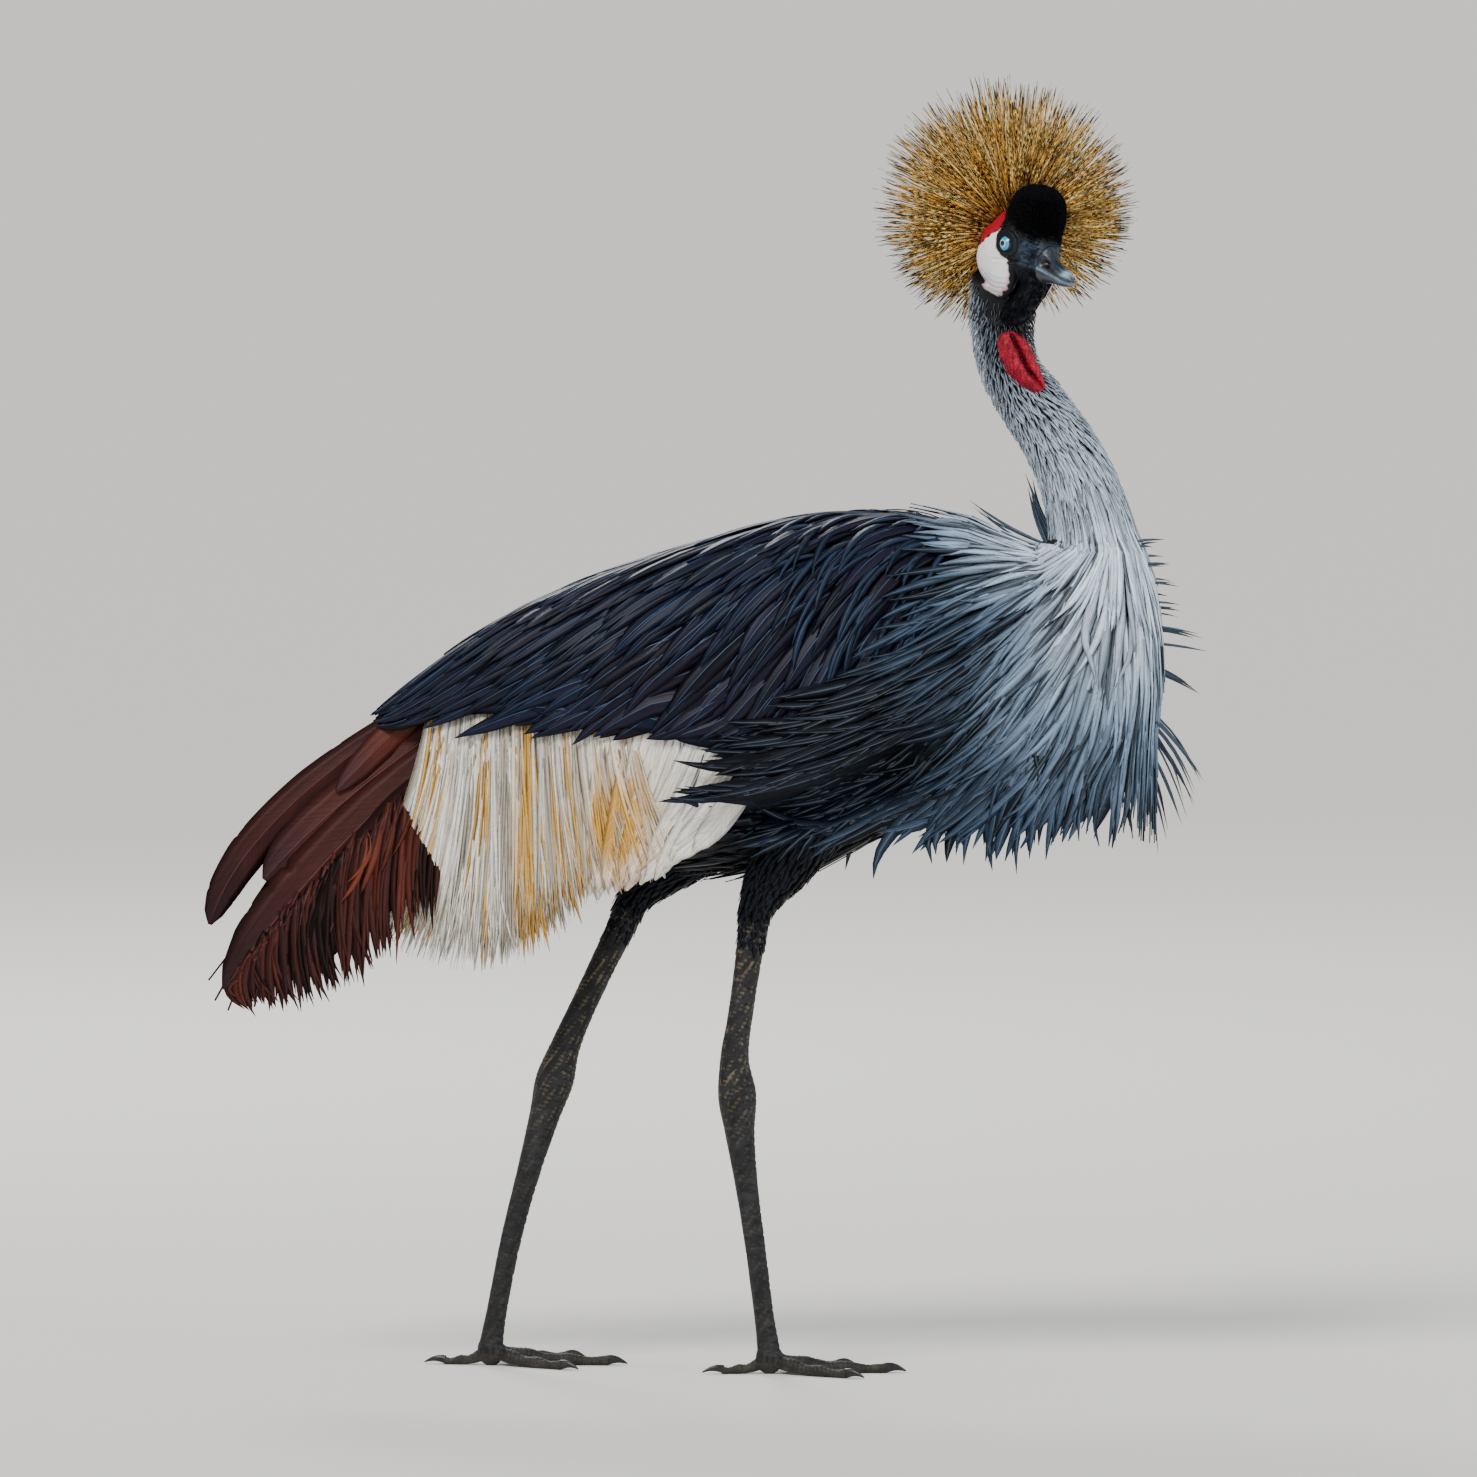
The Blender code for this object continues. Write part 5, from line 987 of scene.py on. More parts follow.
def ruff_plumes(look, size, left, name):
    """Long narrow plumes that radiate from the foot of the neck, row under row."""
    coat = Coat(SEED + 20 + left)
    points, outs = ruff_paths(left)
    rng, m = coat.rng, 10
    f = np.linspace(0, 1, m)
    reach = read(RUFF_FLOW, PATH_TURNS)[2]
    for start in np.arange(-0.044, 0.33, size.plume_row):
        # The row's length round the bird, half way along its plumes, gives their number
        half_way = max(0.0, start) + 0.55 * rng.uniform(0.095, 0.125)
        mids = on_paths(points, PATH_TURNS, np.full(len(PATH_TURNS), half_way))
        way = np.concatenate([[0.0], np.cumsum(np.linalg.norm(np.diff(mids, axis=0), axis=1))])
        count = int(way[-1] / size.plume_gap)
        turn = np.interp((np.arange(count) + rng.uniform(0, 1, count)) / count * way[-1], way, PATH_TURNS)
        begin = start + rng.uniform(-0.4, 0.4, count) * size.plume_row
        # In front the tips end at different heights, and higher
        uneven = 0.11 + 0.12 * (1.0 - ramp(turn, 15.0, 60.0)) + 0.28 * ramp(turn, 98.0, 122.0)
        end_limit = np.interp(turn, PATH_TURNS, reach) * (1.0 - uneven * rng.uniform(0, 1, count) ** 1.1)
        room = end_limit + 0.004 - begin
        length = np.minimum(rng.uniform(0.088, 0.140, count), room) * (0.70 + 0.30 * ramp(begin, -0.03, 0.05))
        # Over the shoulder and at the ends they lie loosely, with gaps between them
        loose = 0.35 * ramp(turn, 98.0, 115.0) * (begin > 0.02) + 0.60 * (room < 0.100)
        keep = (length > 0.046) & (rng.uniform(size=count) > loose)
        turn, begin, length = turn[keep], np.maximum(begin[keep], -BEFORE * STEP), length[keep]
        n = len(turn)
        if n == 0:
            continue
        distance = begin[:, None] + length[:, None] * f
        sway = np.abs(turn[:, None] + rng.normal(0, 1.2, (n, 1)) * f**2 * 2.0)
        middles, away = on_paths(points, sway, distance), unit(on_paths(outs, sway, distance))
        # Each root is sunk under the row before, and each tip has its own height over it
        tip = rng.uniform(0.0012, 0.0056, (n, 1)) * np.interp(f, [0.3, 0.6, 1.0], [0.35, 0.7, 1.0])
        lift = np.where(f < 0.3, np.interp(f, [0, 0.25], [-0.0018, 0.0008]), tip)
        middles = middles + away * (lift * (0.35 + 0.65 * ramp(distance, -0.02, 0.07)))[..., None]
        width = rng.uniform(0.0058, 0.0092, n) + 0.0020 * ramp(begin, 0.10, 0.20)
        width = width[:, None] * shape_width(PLUME, m)
        width = width * (0.50 + 0.50 * ramp(distance, -0.03, 0.09))
        tint = ruff_tint(look, turn[:, None] + 0 * distance, distance, f + 0 * distance)
        tint = varied(rng, tint, 0.55, 1.30, 0.16, 0.18)
        roots = np.stack([turn / 180.0, (begin + 0.05) / 0.5], -1)
        roll = left * np.radians(4.0) + rng.normal(0, 0.10, (n, 1))
        coat.add(middles, away, width, 0.0009, tint, roots, DIAMOND, 0.18, roll)
    return coat.make(name, "grey")


# Thin stray plumes: root x and height, how far aside, tip ahead of the root and over it
STRAYS = (
    (0.2680, 0.6560, 0.010, -0.0180, 0.0440),
    (0.2640, 0.6540, -0.008, -0.0130, 0.0400),
    (0.2740, 0.6600, -0.004, -0.0120, 0.0360),
    (0.2520, 0.6490, 0.012, -0.0500, 0.0290),
    (0.2500, 0.6480, -0.012, -0.0580, 0.0240),
    (0.3280, 0.6450, -0.004, 0.0240, 0.0020),
    (0.3300, 0.6300, 0.004, 0.0280, 0.0030),
    (0.3330, 0.6140, -0.005, 0.0320, -0.0005),
    (0.3380, 0.5950, 0.003, 0.0340, -0.0020),
    (0.3430, 0.5750, -0.004, 0.0460, -0.0060),
    (0.3440, 0.5480, 0.005, 0.0420, -0.0180),
    (0.3440, 0.5150, -0.006, 0.0480, -0.0560),
    (0.3400, 0.5080, 0.004, 0.0430, -0.0620),
    (0.3420, 0.4950, -0.002, 0.0300, -0.0660),
    (0.3400, 0.4800, 0.008, 0.0190, -0.0620),
    (0.3400, 0.4700, -0.008, 0.0110, -0.0580),
)


def stray_plumes(look):
    """Thin plumes in fours that stand off the breast and the shoulder."""
    coat = Coat(SEED + 3)
    rng, m, n = coat.rng, 8, 4
    f = np.linspace(0, 1, m)
    colour_along = mix(look.ruff_grey, look.flank_black, 0.35 + 0.5 * f)
    for x, z, aside, ahead, over in STRAYS:
        root = np.array((x, aside, z)) + rng.normal(0, 1, (n, 3)) * (0.0012, 0.010, 0.0040)
        way = np.array((ahead, 0.3 * aside, over)) * rng.uniform(0.72, 1.0, (n, 1))
        way = way + rng.normal(0, 0.002, (n, 3))
        bend = unit(np.cross(way, LEFT)) * rng.uniform(0.02, 0.10, (n, 1))
        bend = bend * np.linalg.norm(way, axis=1)[:, None]
        # A fifth of each is hidden under the others
        middles = root[:, None] + way[:, None] * (1.25 * f - 0.25)[:, None]
        middles = middles + bend[:, None] * np.sin(math.pi * f)[:, None]
        width = coat.widths(0.0016, 0.0026, n, STRAND, m)
        roots = np.stack([np.full(n, 0.5), rng.uniform(0, 1, n)], -1)
        tint = varied(rng, np.broadcast_to(colour_along, middles.shape), 0.6, 1.1)
        coat.add(middles, np.broadcast_to(-LEFT, middles.shape), width, 0.0007, tint, roots)
    return coat.make("ruff_strays", "grey")


def split_sides(rng, n, m, count, depth, first=0.35, wide=0.022):
    """Left and right shares of the width, with notches where the barbs of a vane have parted."""
    shares = np.ones((n, m, 2))
    f = np.linspace(0, 1, m)
    for _ in range(count):
        place = rng.uniform(first, 0.95, (n, 1))
        side = rng.integers(0, 2, n)
        notch = rng.uniform(0.2, 1.0, (n, 1)) * depth * np.exp(-(((f - place) / wide) ** 2))
        for k in (0, 1):
            shares[:, :, k] -= np.where(side[:, None] == k, notch, 0.0)
    return np.clip(shares, 0.25, 1.0)


def flank_row(coat, left, x, share, length, slant, bow, lift, width, shares, tint, m, camber=0.10,
              section=RIBBED):
    """Feathers of the dark wing: share is 0 at the ridge and 1 at the lower edge, slant their fall."""
    rng, n = coat.rng, len(x)
    f = np.linspace(0, 1, m)
    around = wing_girth(x)[:, None]
    turn = np.radians(slant[:, None] + bow * (f - 0.5))
    way = length[:, None] * f
    spot_x = x[:, None] - way * np.cos(turn)
    angle = 1.5 + (share[:, None] + way * np.sin(turn) / around) * (dark_edge(spot_x) - 1.5)
    raised = lifted(lift, f) + rng.uniform(-0.0002, 0.0008, (n, 1)) * f
    middles = flank(spot_x, angle, raised, left)
    middles[..., 1] = left * np.maximum(left * middles[..., 1], 0.0006)
    outs = flank_out(spot_x, angle, left)
    sides = split_sides(rng, n, m, 3, 0.35)
    full = width[:, None, None] * shape_width(shares, m)[:, None] * sides
    roll = -left * np.radians(4.0) + rng.normal(0, 0.02, (n, 1))
    roots = np.stack([(x + 0.3) / 0.6, share], -1)
    coat.add(middles, outs, full, 0.0009, tint, roots, section, camber, roll)


# Height over the flank from root to tip: sunk at the root, then clear of the row behind
WING_LIFT = ((0.0, -0.0022), (0.34, 0.0008), (0.74, 0.0026), (1.0, 0.0032))
EDGE_LIFT = ((0.0, -0.0020), (0.28, 0.0002), (0.60, 0.0012), (0.86, 0.0016), (1.0, 0.0018))
# Feathers along the dark wing's lower edge: root x, share from ridge to edge, length, fall
LOWER_EDGE = (
    (0.150, 0.90, 0.105, 14.0),
    (0.120, 0.90, 0.105, 14.0),
    (0.098, 0.90, 0.100, 14.0),
    (0.050, 0.93, 0.086, 12.0),
    (0.020, 0.88, 0.110, 12.0),
    (-0.010, 0.86, 0.120, 13.0),
    (-0.045, 0.88, 0.100, 11.0),
    (-0.075, 0.90, 0.085, 10.0),
    (-0.118, 0.86, 0.090, 6.0),
    (-0.165, 0.84, 0.082, 4.0),
    (-0.172, 0.60, 0.086, 3.0),
    (-0.172, 0.40, 0.088, 2.0),
)


def wing_feathers(look, size, left, name, replaced):
    """The dark scapulars and coverts, row under row from the shoulder to the wing's tip."""
    coat = Coat(SEED + 40 + left)
    rng = coat.rng
    # What they lie on: a plain vane-coloured layer under the rows, made of broad feathers
    for column_gap, row_gap, low, high, wide, drop in (
        (0.020, 0.017, 0.085, 0.110, 0.0250, -0.0016),
        (0.026, 0.015, 0.090, 0.150, 0.0190, 0.0),
    ):
        for number, x in enumerate(np.arange(0.196, -0.185, -column_gap)):
            rows = max(2, int(round(float(wing_girth(x)) / row_gap)))
            share = (np.arange(rows) + 0.25 + 0.5 * (number % 2) + rng.uniform(-0.3, 0.3, rows)) / rows
            share = share[share < (0.86 if x < 0.05 else 0.80)]
            n, m = len(share), 12
            xs = x + rng.uniform(-0.008, 0.008, n)
            front = ramp(xs, -0.15, 0.10)
            slant = 5.0 + 30.0 * np.sin(math.pi * np.minimum(share, 0.96)) * (0.30 + 0.70 * front)
            slant = slant + rng.normal(0, 1.8, n)
            length = rng.uniform(low, high, n) * np.where(xs > -0.08, 1.0, 0.80)
            length = np.minimum(length, xs + 0.268)
            width = wide * rng.uniform(0.85, 1.15, n) * np.where(xs > -0.1, 1.0, 0.8)
            tint = np.broadcast_to(look.wing_slate, (n, m, 3))
            warm = ripple(np.stack([xs, share * 0.15], -1), 0.09, 5)[:, None]
            tint = mix(tint, look.wing_purple, 0.35 + 0.35 * warm + 0 * tint[..., 0])
            lift = [(a, b + drop) for a, b in WING_LIFT]
            tint = varied(rng, tint, 0.5, 1.5)
            flank_row(coat, left, xs, share, length, slant, 18.0, lift, width, LANCE, tint, m, 0.05)
    rows = np.array(LOWER_EDGE)
    n, m = len(rows), 14
    tint = varied(rng, np.broadcast_to(look.wing_slate, (n, m, 3)), 0.8, 1.2)
    flank_row(coat, left, rows[:, 0], rows[:, 1], rows[:, 2], rows[:, 3], -10.0, EDGE_LIFT,
              np.full(n, 0.024), LANCE, tint, m, 0.06)
    # Narrow feathers over the shoulder, whose pale shafts cross one another
    n, m = size.shoulder_count, 9
    xs, share = rng.uniform(0.085, 0.215, n), rng.uniform(0.02, 0.62, n)
    slant = rng.normal(24.0, 13.0, n) + 30.0 * share
    length = rng.uniform(0.040, 0.075, n)
    tint = np.broadcast_to(mix(look.wing_slate, look.ruff_slate, 0.30), (n, m, 3))
    lift = ((0.0, 0.0), (0.3, 0.0030), (1.0, 0.0050))
    flank_row(coat, left, xs, share, length, slant, 20.0, lift, rng.uniform(0.005, 0.008, n), LANCE,
              varied(rng, tint, 0.7, 1.7), m, 0.1, DIAMOND)
    return coat.make(name, "slate", replaced)


def wing_base(look, left, name):
    """The close dark layer that the wing's feathers lie on."""
    xs = np.linspace(-0.258, 0.218, 60)
    rings = []
    for x in xs:
        angles = np.linspace(1.2, float(dark_edge(x)) - 2.0, 28)
        outer = flank(np.full(28, x), angles, -0.0012, left)
        inner = flank(np.full(28, x), angles[::-1], -0.0030, left)
        rings.append(np.concatenate([outer, inner]))
    obj = solid(name, loft(rings))
    # The wing's colour at six tenths: dark down, and partly painted shade under the feathers
    painted(obj, np.broadcast_to(look.wing_slate * 0.6, (len(obj.data.vertices), 3)))
    return finished(obj, "under")


def gold_patch(x, z):
    return np.clip(1.5 * np.exp(-(((x + 0.066) / 0.026) ** 2) - ((z - 0.437) / 0.044) ** 2), 0, 1)


def gold_tint(look, x, z, pick):
    """White in front, straw and white strands behind, a golden patch low between them."""
    white, straw = look.panel_white, look.panel_straw
    # Most strands are white, a few golden and some in shade; low in the middle most are golden
    warm = ramp(x, -0.185, -0.125) * (1.0 - ramp(x, -0.065, -0.040)) * (1.0 - ramp(z, 0.425, 0.490))
    tint = mix(white, straw, ramp(pick + 0.30 * warm, 0.42, 0.72) * (1.0 - ramp(x, -0.085, -0.02)))
    tint = mix(tint, look.panel_shade, (1.0 - ramp(pick, 0.05, 0.25)) * (1.0 - ramp(x, -0.085, -0.02)))
    patch = gold_patch(x, z)
    tint = mix(tint, look.panel_gold, patch * (0.45 + 0.65 * pick))
    return tint


def hanging(coat, left, x, angle, length, lean, lift, width, shares, tint_of, m, section=DIAMOND, camber=0.1):
    """Feathers that hang down the flank from an angle, and lean forward by their lean in degrees."""
    rng, n = coat.rng, len(x)
    f = np.linspace(0, 1, m)
    way = length[:, None] * f
    turn = np.radians(lean)[:, None] + rng.normal(0, 0.03, (n, 1)) * f
    spot_x = x[:, None] + way * np.sin(turn) * (0.5 + 0.5 * f)
    spot = angle[:, None] + way * np.cos(turn) / DROP
    raised = lifted(lift, f) - 0.0028 + rng.uniform(-0.0004, 0.0010, (n, 1)) * f
    middles = flank(spot_x, spot, raised, left)
    outs = flank_out(spot_x, spot, left)
    tint = tint_of(middles[..., 0], middles[..., 2], f)
    roll = left * np.radians(3.0) + rng.normal(0, 0.08, (n, 1))
    roots = np.stack([(x + 0.3) / 0.6, angle / 300.0], -1)
    coat.add(middles, outs, width[:, None] * shape_width(shares, m), 0.0007, tint, roots, section, camber,
             roll)


GOLD_LIFT = ((0.0, -0.0010), (0.3, 0.0018), (0.6, 0.0034), (1.0, 0.0044))


def gold_feathers(look, size, left, name, replaced):
    """Loose white and gold plumes that hang under the dark wing, with smooth white coverts in front."""
    coat = Coat(SEED + 60 + left)
    rng = coat.rng
    n = size.strand_count
    # Broad soft plumes below, then strands over them
    for count, wide, narrow, raise_by, m in ((150, 0.012, 0.008, 0.0, 9), (n, 0.0048, 0.0022, 0.0008, 9)):
        # They thin out towards the smooth coverts in front
        x = -0.217 + 0.160 * rng.uniform(0, 1, count) ** 1.15
        top, low = dark_edge(x) - 12.0, gold_edge(x)
        share = rng.uniform(0.0, 0.5 if count == n else 0.15, count) ** 1.4
        start = top + share * (low - top)
        length = (low - start) * DROP * rng.uniform(0.80, 1.06, count)
        back = ramp(x, -0.15, -0.217)
        lean = -6.0 - 10.0 * back + 20.0 * (x + 0.211) / 0.165 + rng.normal(0, 2.5, count)
        pick = np.clip(0.42 + 0.5 * ripple(np.stack([x, 0 * x], -1), 0.022, 8) + rng.normal(0, 0.22, count),
                       0, 1)
        level = rng.uniform(0.62, 1.08, count)[:, None, None]

        def tint_of(px, pz, f, pick=pick, level=level):
            tint = gold_tint(look, px, pz, pick[:, None])
            # Their roots are darkened: painted shade under the dark wing
            return tint * level * (0.80 + 0.22 * ramp(f, 0.0, 0.3))[:, None]

        lift = [(a, b + raise_by * (a > 0)) for a, b in GOLD_LIFT]
        hanging(coat, left, x, start, length, lean, lift, rng.uniform(narrow, wide, count), STRAND, tint_of,
                m)
    # Smooth white coverts, each with a fine grey shaft
    count = 50
    x = np.linspace(-0.088, 0.046, count) + rng.uniform(-0.002, 0.002, count)
    start = dark_edge(x) - 8.0 + 20.0 * rng.uniform(0, 1, count)
    lean = np.interp(x, [-0.075, -0.045, 0.0, 0.046], [-4.0, -14.0, -30.0, -42.0]) + rng.normal(0, 1.5, count)
    tip = x + 0.1 * np.sin(np.radians(lean))
    length = np.maximum(gold_edge(tip) - start, 25.0) * 1.08 * DROP / np.cos(np.radians(lean))
    length = length * rng.uniform(0.85, 1.0, count)

    def plain(px, pz, f):
        tint = np.broadcast_to(look.panel_white, (*px.shape, 3))
        share = gold_patch(px, pz) * rng.uniform(0.3, 1.0, (len(px), 1))
        return mix(tint, look.panel_gold, share) * rng.uniform(0.86, 1.0, (len(px), 1, 1))

    lift = ((0.0, 0.0002), (0.3, 0.0024), (1.0, 0.0050))
    width = rng.uniform(0.017, 0.023, count)
    hanging(coat, left, x, start, length, lean, lift, width, BROAD, plain, 12, RIBBED, 0.05)
    return coat.make(name, "gold", replaced)


def rear_side(x, z, out):
    """How far from the middle the feathers behind the rump lie."""
    start, spread = read(REAR, x)
    return start + np.maximum(0.0, read(BACK_LINE, x)[0] - z) * spread + out


# Chestnut secondaries, in the side view: root, bend and tip as x and height, width, layer over the
# base, and how rusty and how dark they are
SECONDARIES = (
    ((-0.150, 0.505), (-0.225, 0.440), (-0.262, 0.352), 0.042, 0.0010, 0.2, 0.45),
    ((-0.160, 0.500), (-0.250, 0.420), (-0.305, 0.322), 0.044, 0.0014, 0.2, 0.40),
    ((-0.165, 0.520), (-0.285, 0.415), (-0.378, 0.300), 0.048, 0.0030, 0.2, 0.75),
    ((-0.200, 0.534), (-0.330, 0.440), (-0.3895, 0.350), 0.030, 0.0032, 0.0, 0.8),
    ((-0.170, 0.530), (-0.275, 0.455), (-0.347, 0.386), 0.036, 0.0054, 0.1, 1.1),
    ((-0.185, 0.545), (-0.235, 0.510), (-0.2905, 0.4545), 0.024, 0.0072, 0.9, 1.2),
)
LONG_SECONDARY = 2


def bent(root, bend, tip, t):
    """Points of the curve from root to tip that passes its bend half way."""
    root, bend, tip = (np.asarray(v, float) for v in (root, bend, tip))
    control = 2 * bend - 0.5 * (root + tip)
    t = np.asarray(t)[..., None]
    return (1 - t) ** 2 * root + 2 * t * (1 - t) * control + t * t * tip


def rear_feathers(coat, left, flat, low, high, width, tint, section, camber=0.08):
    """Feathers behind the rump: flat (n, m, 2) is their line in the side view."""
    x, z = flat[..., 0], flat[..., 1]
    f = np.linspace(0, 1, x.shape[1])
    middles = np.stack([x, left * rear_side(x, z, low + (high - low) * f), z], -1)
    slope = read(REAR, x)[1]
    outs = unit(np.stack([0 * x, left + 0 * x, slope], -1))
    roots = np.stack([(x[:, 0] + 0.4) / 0.4, (z[:, 0] - 0.25) / 0.35], -1)
    coat.add(middles, outs, width, 0.0009, tint, roots, section, camber, left * 0.02)


def secondary_feathers(look, size, left, name, replaced):
    """Broad chestnut secondaries whose loose inner barbs hang down like a comb."""
    coat = Coat(SEED + 80 + left)
    rng, m = coat.rng, 60
    f = np.linspace(0, 1, m)
    chestnut, rust, edge = look.chestnut, look.rust, look.secondary_edge
    for root, bend, tip, wide, layer, rusty, level in SECONDARIES:
        flat = bent(root, bend, tip, f)[None]
        tint = mix(mix(chestnut, rust, rusty * (1 - 0.6 * f)), edge, 0.55 * ramp(f, 0.55, 1.0))[None] * level
        sides = split_sides(rng, 1, m, 4, 0.30, 0.25, 0.010)
        full = wide * shape_width(BROAD, m)[None, :, None] * sides
        rear_feathers(coat, left, flat, 0.0, layer, full, tint, RIBBED, 0.05)
    # Loose barbs: from the long secondary's shaft, and from the inner ones in front of it
    n, m = size.barb_count, 10
    f = np.linspace(0, 1, m)
    share = np.linspace(0.0, 1.0, n) + rng.normal(0, 0.012, n)
    _, bend, tip = SECONDARIES[LONG_SECONDARY][:3]
    start = bent((-0.168, 0.505), bend, tip, 0.12 + 0.80 * share)
    start[:, 1] -= rng.uniform(0.0, 0.012, n)
    end = bent((-0.220, 0.362), (-0.290, 0.304), (-0.366, 0.290), share)
    end = end + rng.normal(0, 1, (n, 2)) * (0.004, 0.005)
    middle = 0.5 * (start + end) + np.stack([-0.006 + rng.normal(0, 0.004, n), 0 * share], -1)
    flat = np.stack([bent(a, b, c, f) for a, b, c in zip(start, middle, end)])
    light = (rng.uniform(size=n) < 0.22)[:, None, None]
    level = rng.uniform(0.55, 1.20, (n, 1, 1)) * np.where(rng.uniform(size=(n, 1, 1)) < 0.28, 0.16, 1.0)
    tint = np.where(light, mix(chestnut, rust, 0.55), chestnut * 0.85) * level
    tint = np.broadcast_to(tint, (n, m, 3))
    width = coat.widths(0.0052, 0.0088, n, STRAND, m)
    order = rng.uniform(0.0002, 0.0024, (n, 1))
    rear_feathers(coat, left, flat, 0.0034, order, width, tint, DIAMOND)
    # Curled rusty barbs that lie over the comb
    n, m = 9, 9
    f = np.linspace(0, 1, m)
    share = rng.uniform(0.05, 0.55, n)
    start = bent((-0.210, 0.480), (-0.262, 0.430), (-0.330, 0.370), share)
    end = start + np.stack([rng.uniform(-0.022, -0.004, n), rng.uniform(-0.062, -0.040, n)], -1)
    middle = 0.5 * (start + end) + np.stack([rng.uniform(0.003, 0.010, n), 0 * share], -1)
    flat = np.stack([bent(a, b, c, f) for a, b, c in zip(start, middle, end)])
    tint = np.broadcast_to(rust * rng.uniform(0.6, 1.3, (n, 1, 1)), (n, m, 3))
    width = coat.widths(0.005, 0.008, n, PLUME, m)
    rear_feathers(coat, left, flat, 0.0030, 0.0048, width, tint, DIAMOND, 0.5)
    return coat.make(name, "chestnut", replaced)


# Tail feathers under the secondaries: how far aside and under the first, tip x and height, width
TAIL = (
    (0.0000, 0.0000, -0.391, 0.306, 0.022),
    (0.0060, 0.0024, -0.384, 0.292, 0.022),
    (0.0095, 0.0048, -0.372, 0.286, 0.020),
    (0.0110, 0.0066, -0.350, 0.290, 0.018),
)


def tail_feathers(look):
    coat = Coat(SEED + 5)
    m = 26
    f = np.linspace(0, 1, m)
    for left in (-1, 1):
        for aside, under, tip_x, tip_z, wide in TAIL:
            if left > 0 and aside == 0.0:
                continue
            flat = bent((-0.234, 0.482), (-0.312, 0.402), (tip_x, tip_z), f)
            out = np.array((0.75, 0.0, 0.62))
            middles = np.stack([flat[:, 0], left * aside * f, flat[:, 1]], -1)
            middles = middles - out * under * np.minimum(1.0, 4 * f)[:, None]
            tint = mix(look.tail_black, look.chestnut * 0.9, ramp(f, 0.84, 0.92))[None]
            full = wide * shape_width(BROAD, m)[None, :, None] * split_sides(coat.rng, 1, m, 5, 0.4)
            outs = np.broadcast_to(out, (1, m, 3))
            coat.add(middles[None], outs, full, 0.0010, tint, [(0.5 + 0.2 * left, aside * 50)], RIBBED, 0.05)
    return coat.make("tail_feathers", "black", ["tail"])


def body_feathers(look):
    """Black contour feathers of the belly, the rump and under the wings."""
    coat = Coat(SEED + 7)
    rng, m = coat.rng, 6
    f = np.linspace(0, 1, m)
    starts = np.arange(0.292, -0.226, -0.011)
    top, bottom, half = read(TORSO, starts)
    x, share = spread_rows(rng, starts, 3.14 * (half + 0.5 * (top - bottom)), 0.0095)
    turn = 360.0 * share
    n = len(x)
    x = x + rng.uniform(-0.004, 0.004, n)
    length = rng.uniform(0.026, 0.042, n)
    spot = np.maximum(x[:, None] - length[:, None] * f, -0.232)
    lift = coat.lifts(n, (-0.0045, -0.0008, 0.0006), 0.0014, f)
    middles, outs = torso_point(spot, turn[:, None] + rng.normal(0, 3, (n, 1)) * f, lift)
    # Feathers low on the torso are darkened: painted shade on the underside
    low = ramp(-np.cos(np.radians(turn)), 0.0, 0.5)[:, None, None]
    tint = varied(rng, np.broadcast_to(look.flank_black, (n, m, 3)), 0.5, 1.3)
    tint = tint * (1.0 - 0.35 * low)
    width = coat.widths(0.009, 0.013, n, LANCE, m)
    coat.add(middles, outs, width, 0.0007, tint, np.stack([(x + 0.25) / 0.6, share], -1), DIAMOND, 0.12)
    # Longer ones that hang under the belly between the legs and behind them
    n, m = 150, 8
    f = np.linspace(0, 1, m)
    x, turn = rng.uniform(-0.10, 0.15, n), rng.uniform(125, 235, n)
    length = rng.uniform(0.045, 0.075, n)
    way = length[:, None] * f
    lift = np.interp(f, [0, 0.4, 1], [-0.003, 0.0006, 0.0030])
    middles, outs = torso_point(x[:, None] - way * 0.93, turn[:, None] + rng.normal(0, 4, (n, 1)) * f, lift)
    middles = middles - UP * (way * 0.10)[..., None] * f[None, :, None]
    tint = varied(rng, np.broadcast_to(look.flank_black, (n, m, 3)), 0.5, 1.2)
    width = coat.widths(0.007, 0.010, n, PLUME, m)
    coat.add(middles, outs, width, 0.0008, tint, np.stack([(x + 0.25) / 0.6, turn / 360], -1), DIAMOND, 0.12)
    return coat.make("body_feathers", "black")


def thigh_feathers(look):
    """Short black feathers down to where the bare leg starts."""
    coat = Coat(SEED + 9)
    rng, m = coat.rng, 6
    f = np.linspace(0, 1, m)
    for _, left, table in LEGS:
        starts = np.arange(0.02, THIGH_END + 0.035, 0.012)
        radius = limb_frame(table, starts)[3]
        t, share = spread_rows(rng, starts, 2 * math.pi * radius, 0.0046)
        n = len(t)
        length = rng.uniform(0.013, 0.020, n)
        spot = t[:, None] + length[:, None] * f / LEG_LENGTH
        middle, forward, aside, radius = limb_frame(table, spot)
        turn = 2 * math.pi * share[:, None] + rng.normal(0, 0.12, (n, 1)) * f
        c, s = np.cos(turn)[..., None], np.sin(turn)[..., None]
        lift = coat.lifts(n, (-0.0035, -0.0008, 0.0), 0.0012, f)
        middles = middle + (forward * c + aside * s * LEG_FLAT) * (radius + lift)[..., None]
        outs = forward * c + aside * s
        tint = varied(rng, np.broadcast_to(look.flank_black, (n, m, 3)), 0.4, 1.2)
        width = coat.widths(0.0045, 0.0065, n, LANCE, m)
        coat.add(middles, outs, width, 0.0006, tint, np.stack([t * 2 + 0.25 * (left + 1), share], -1),
                 DIAMOND, 0.12)
    return coat.make("thigh_feathers", "black")


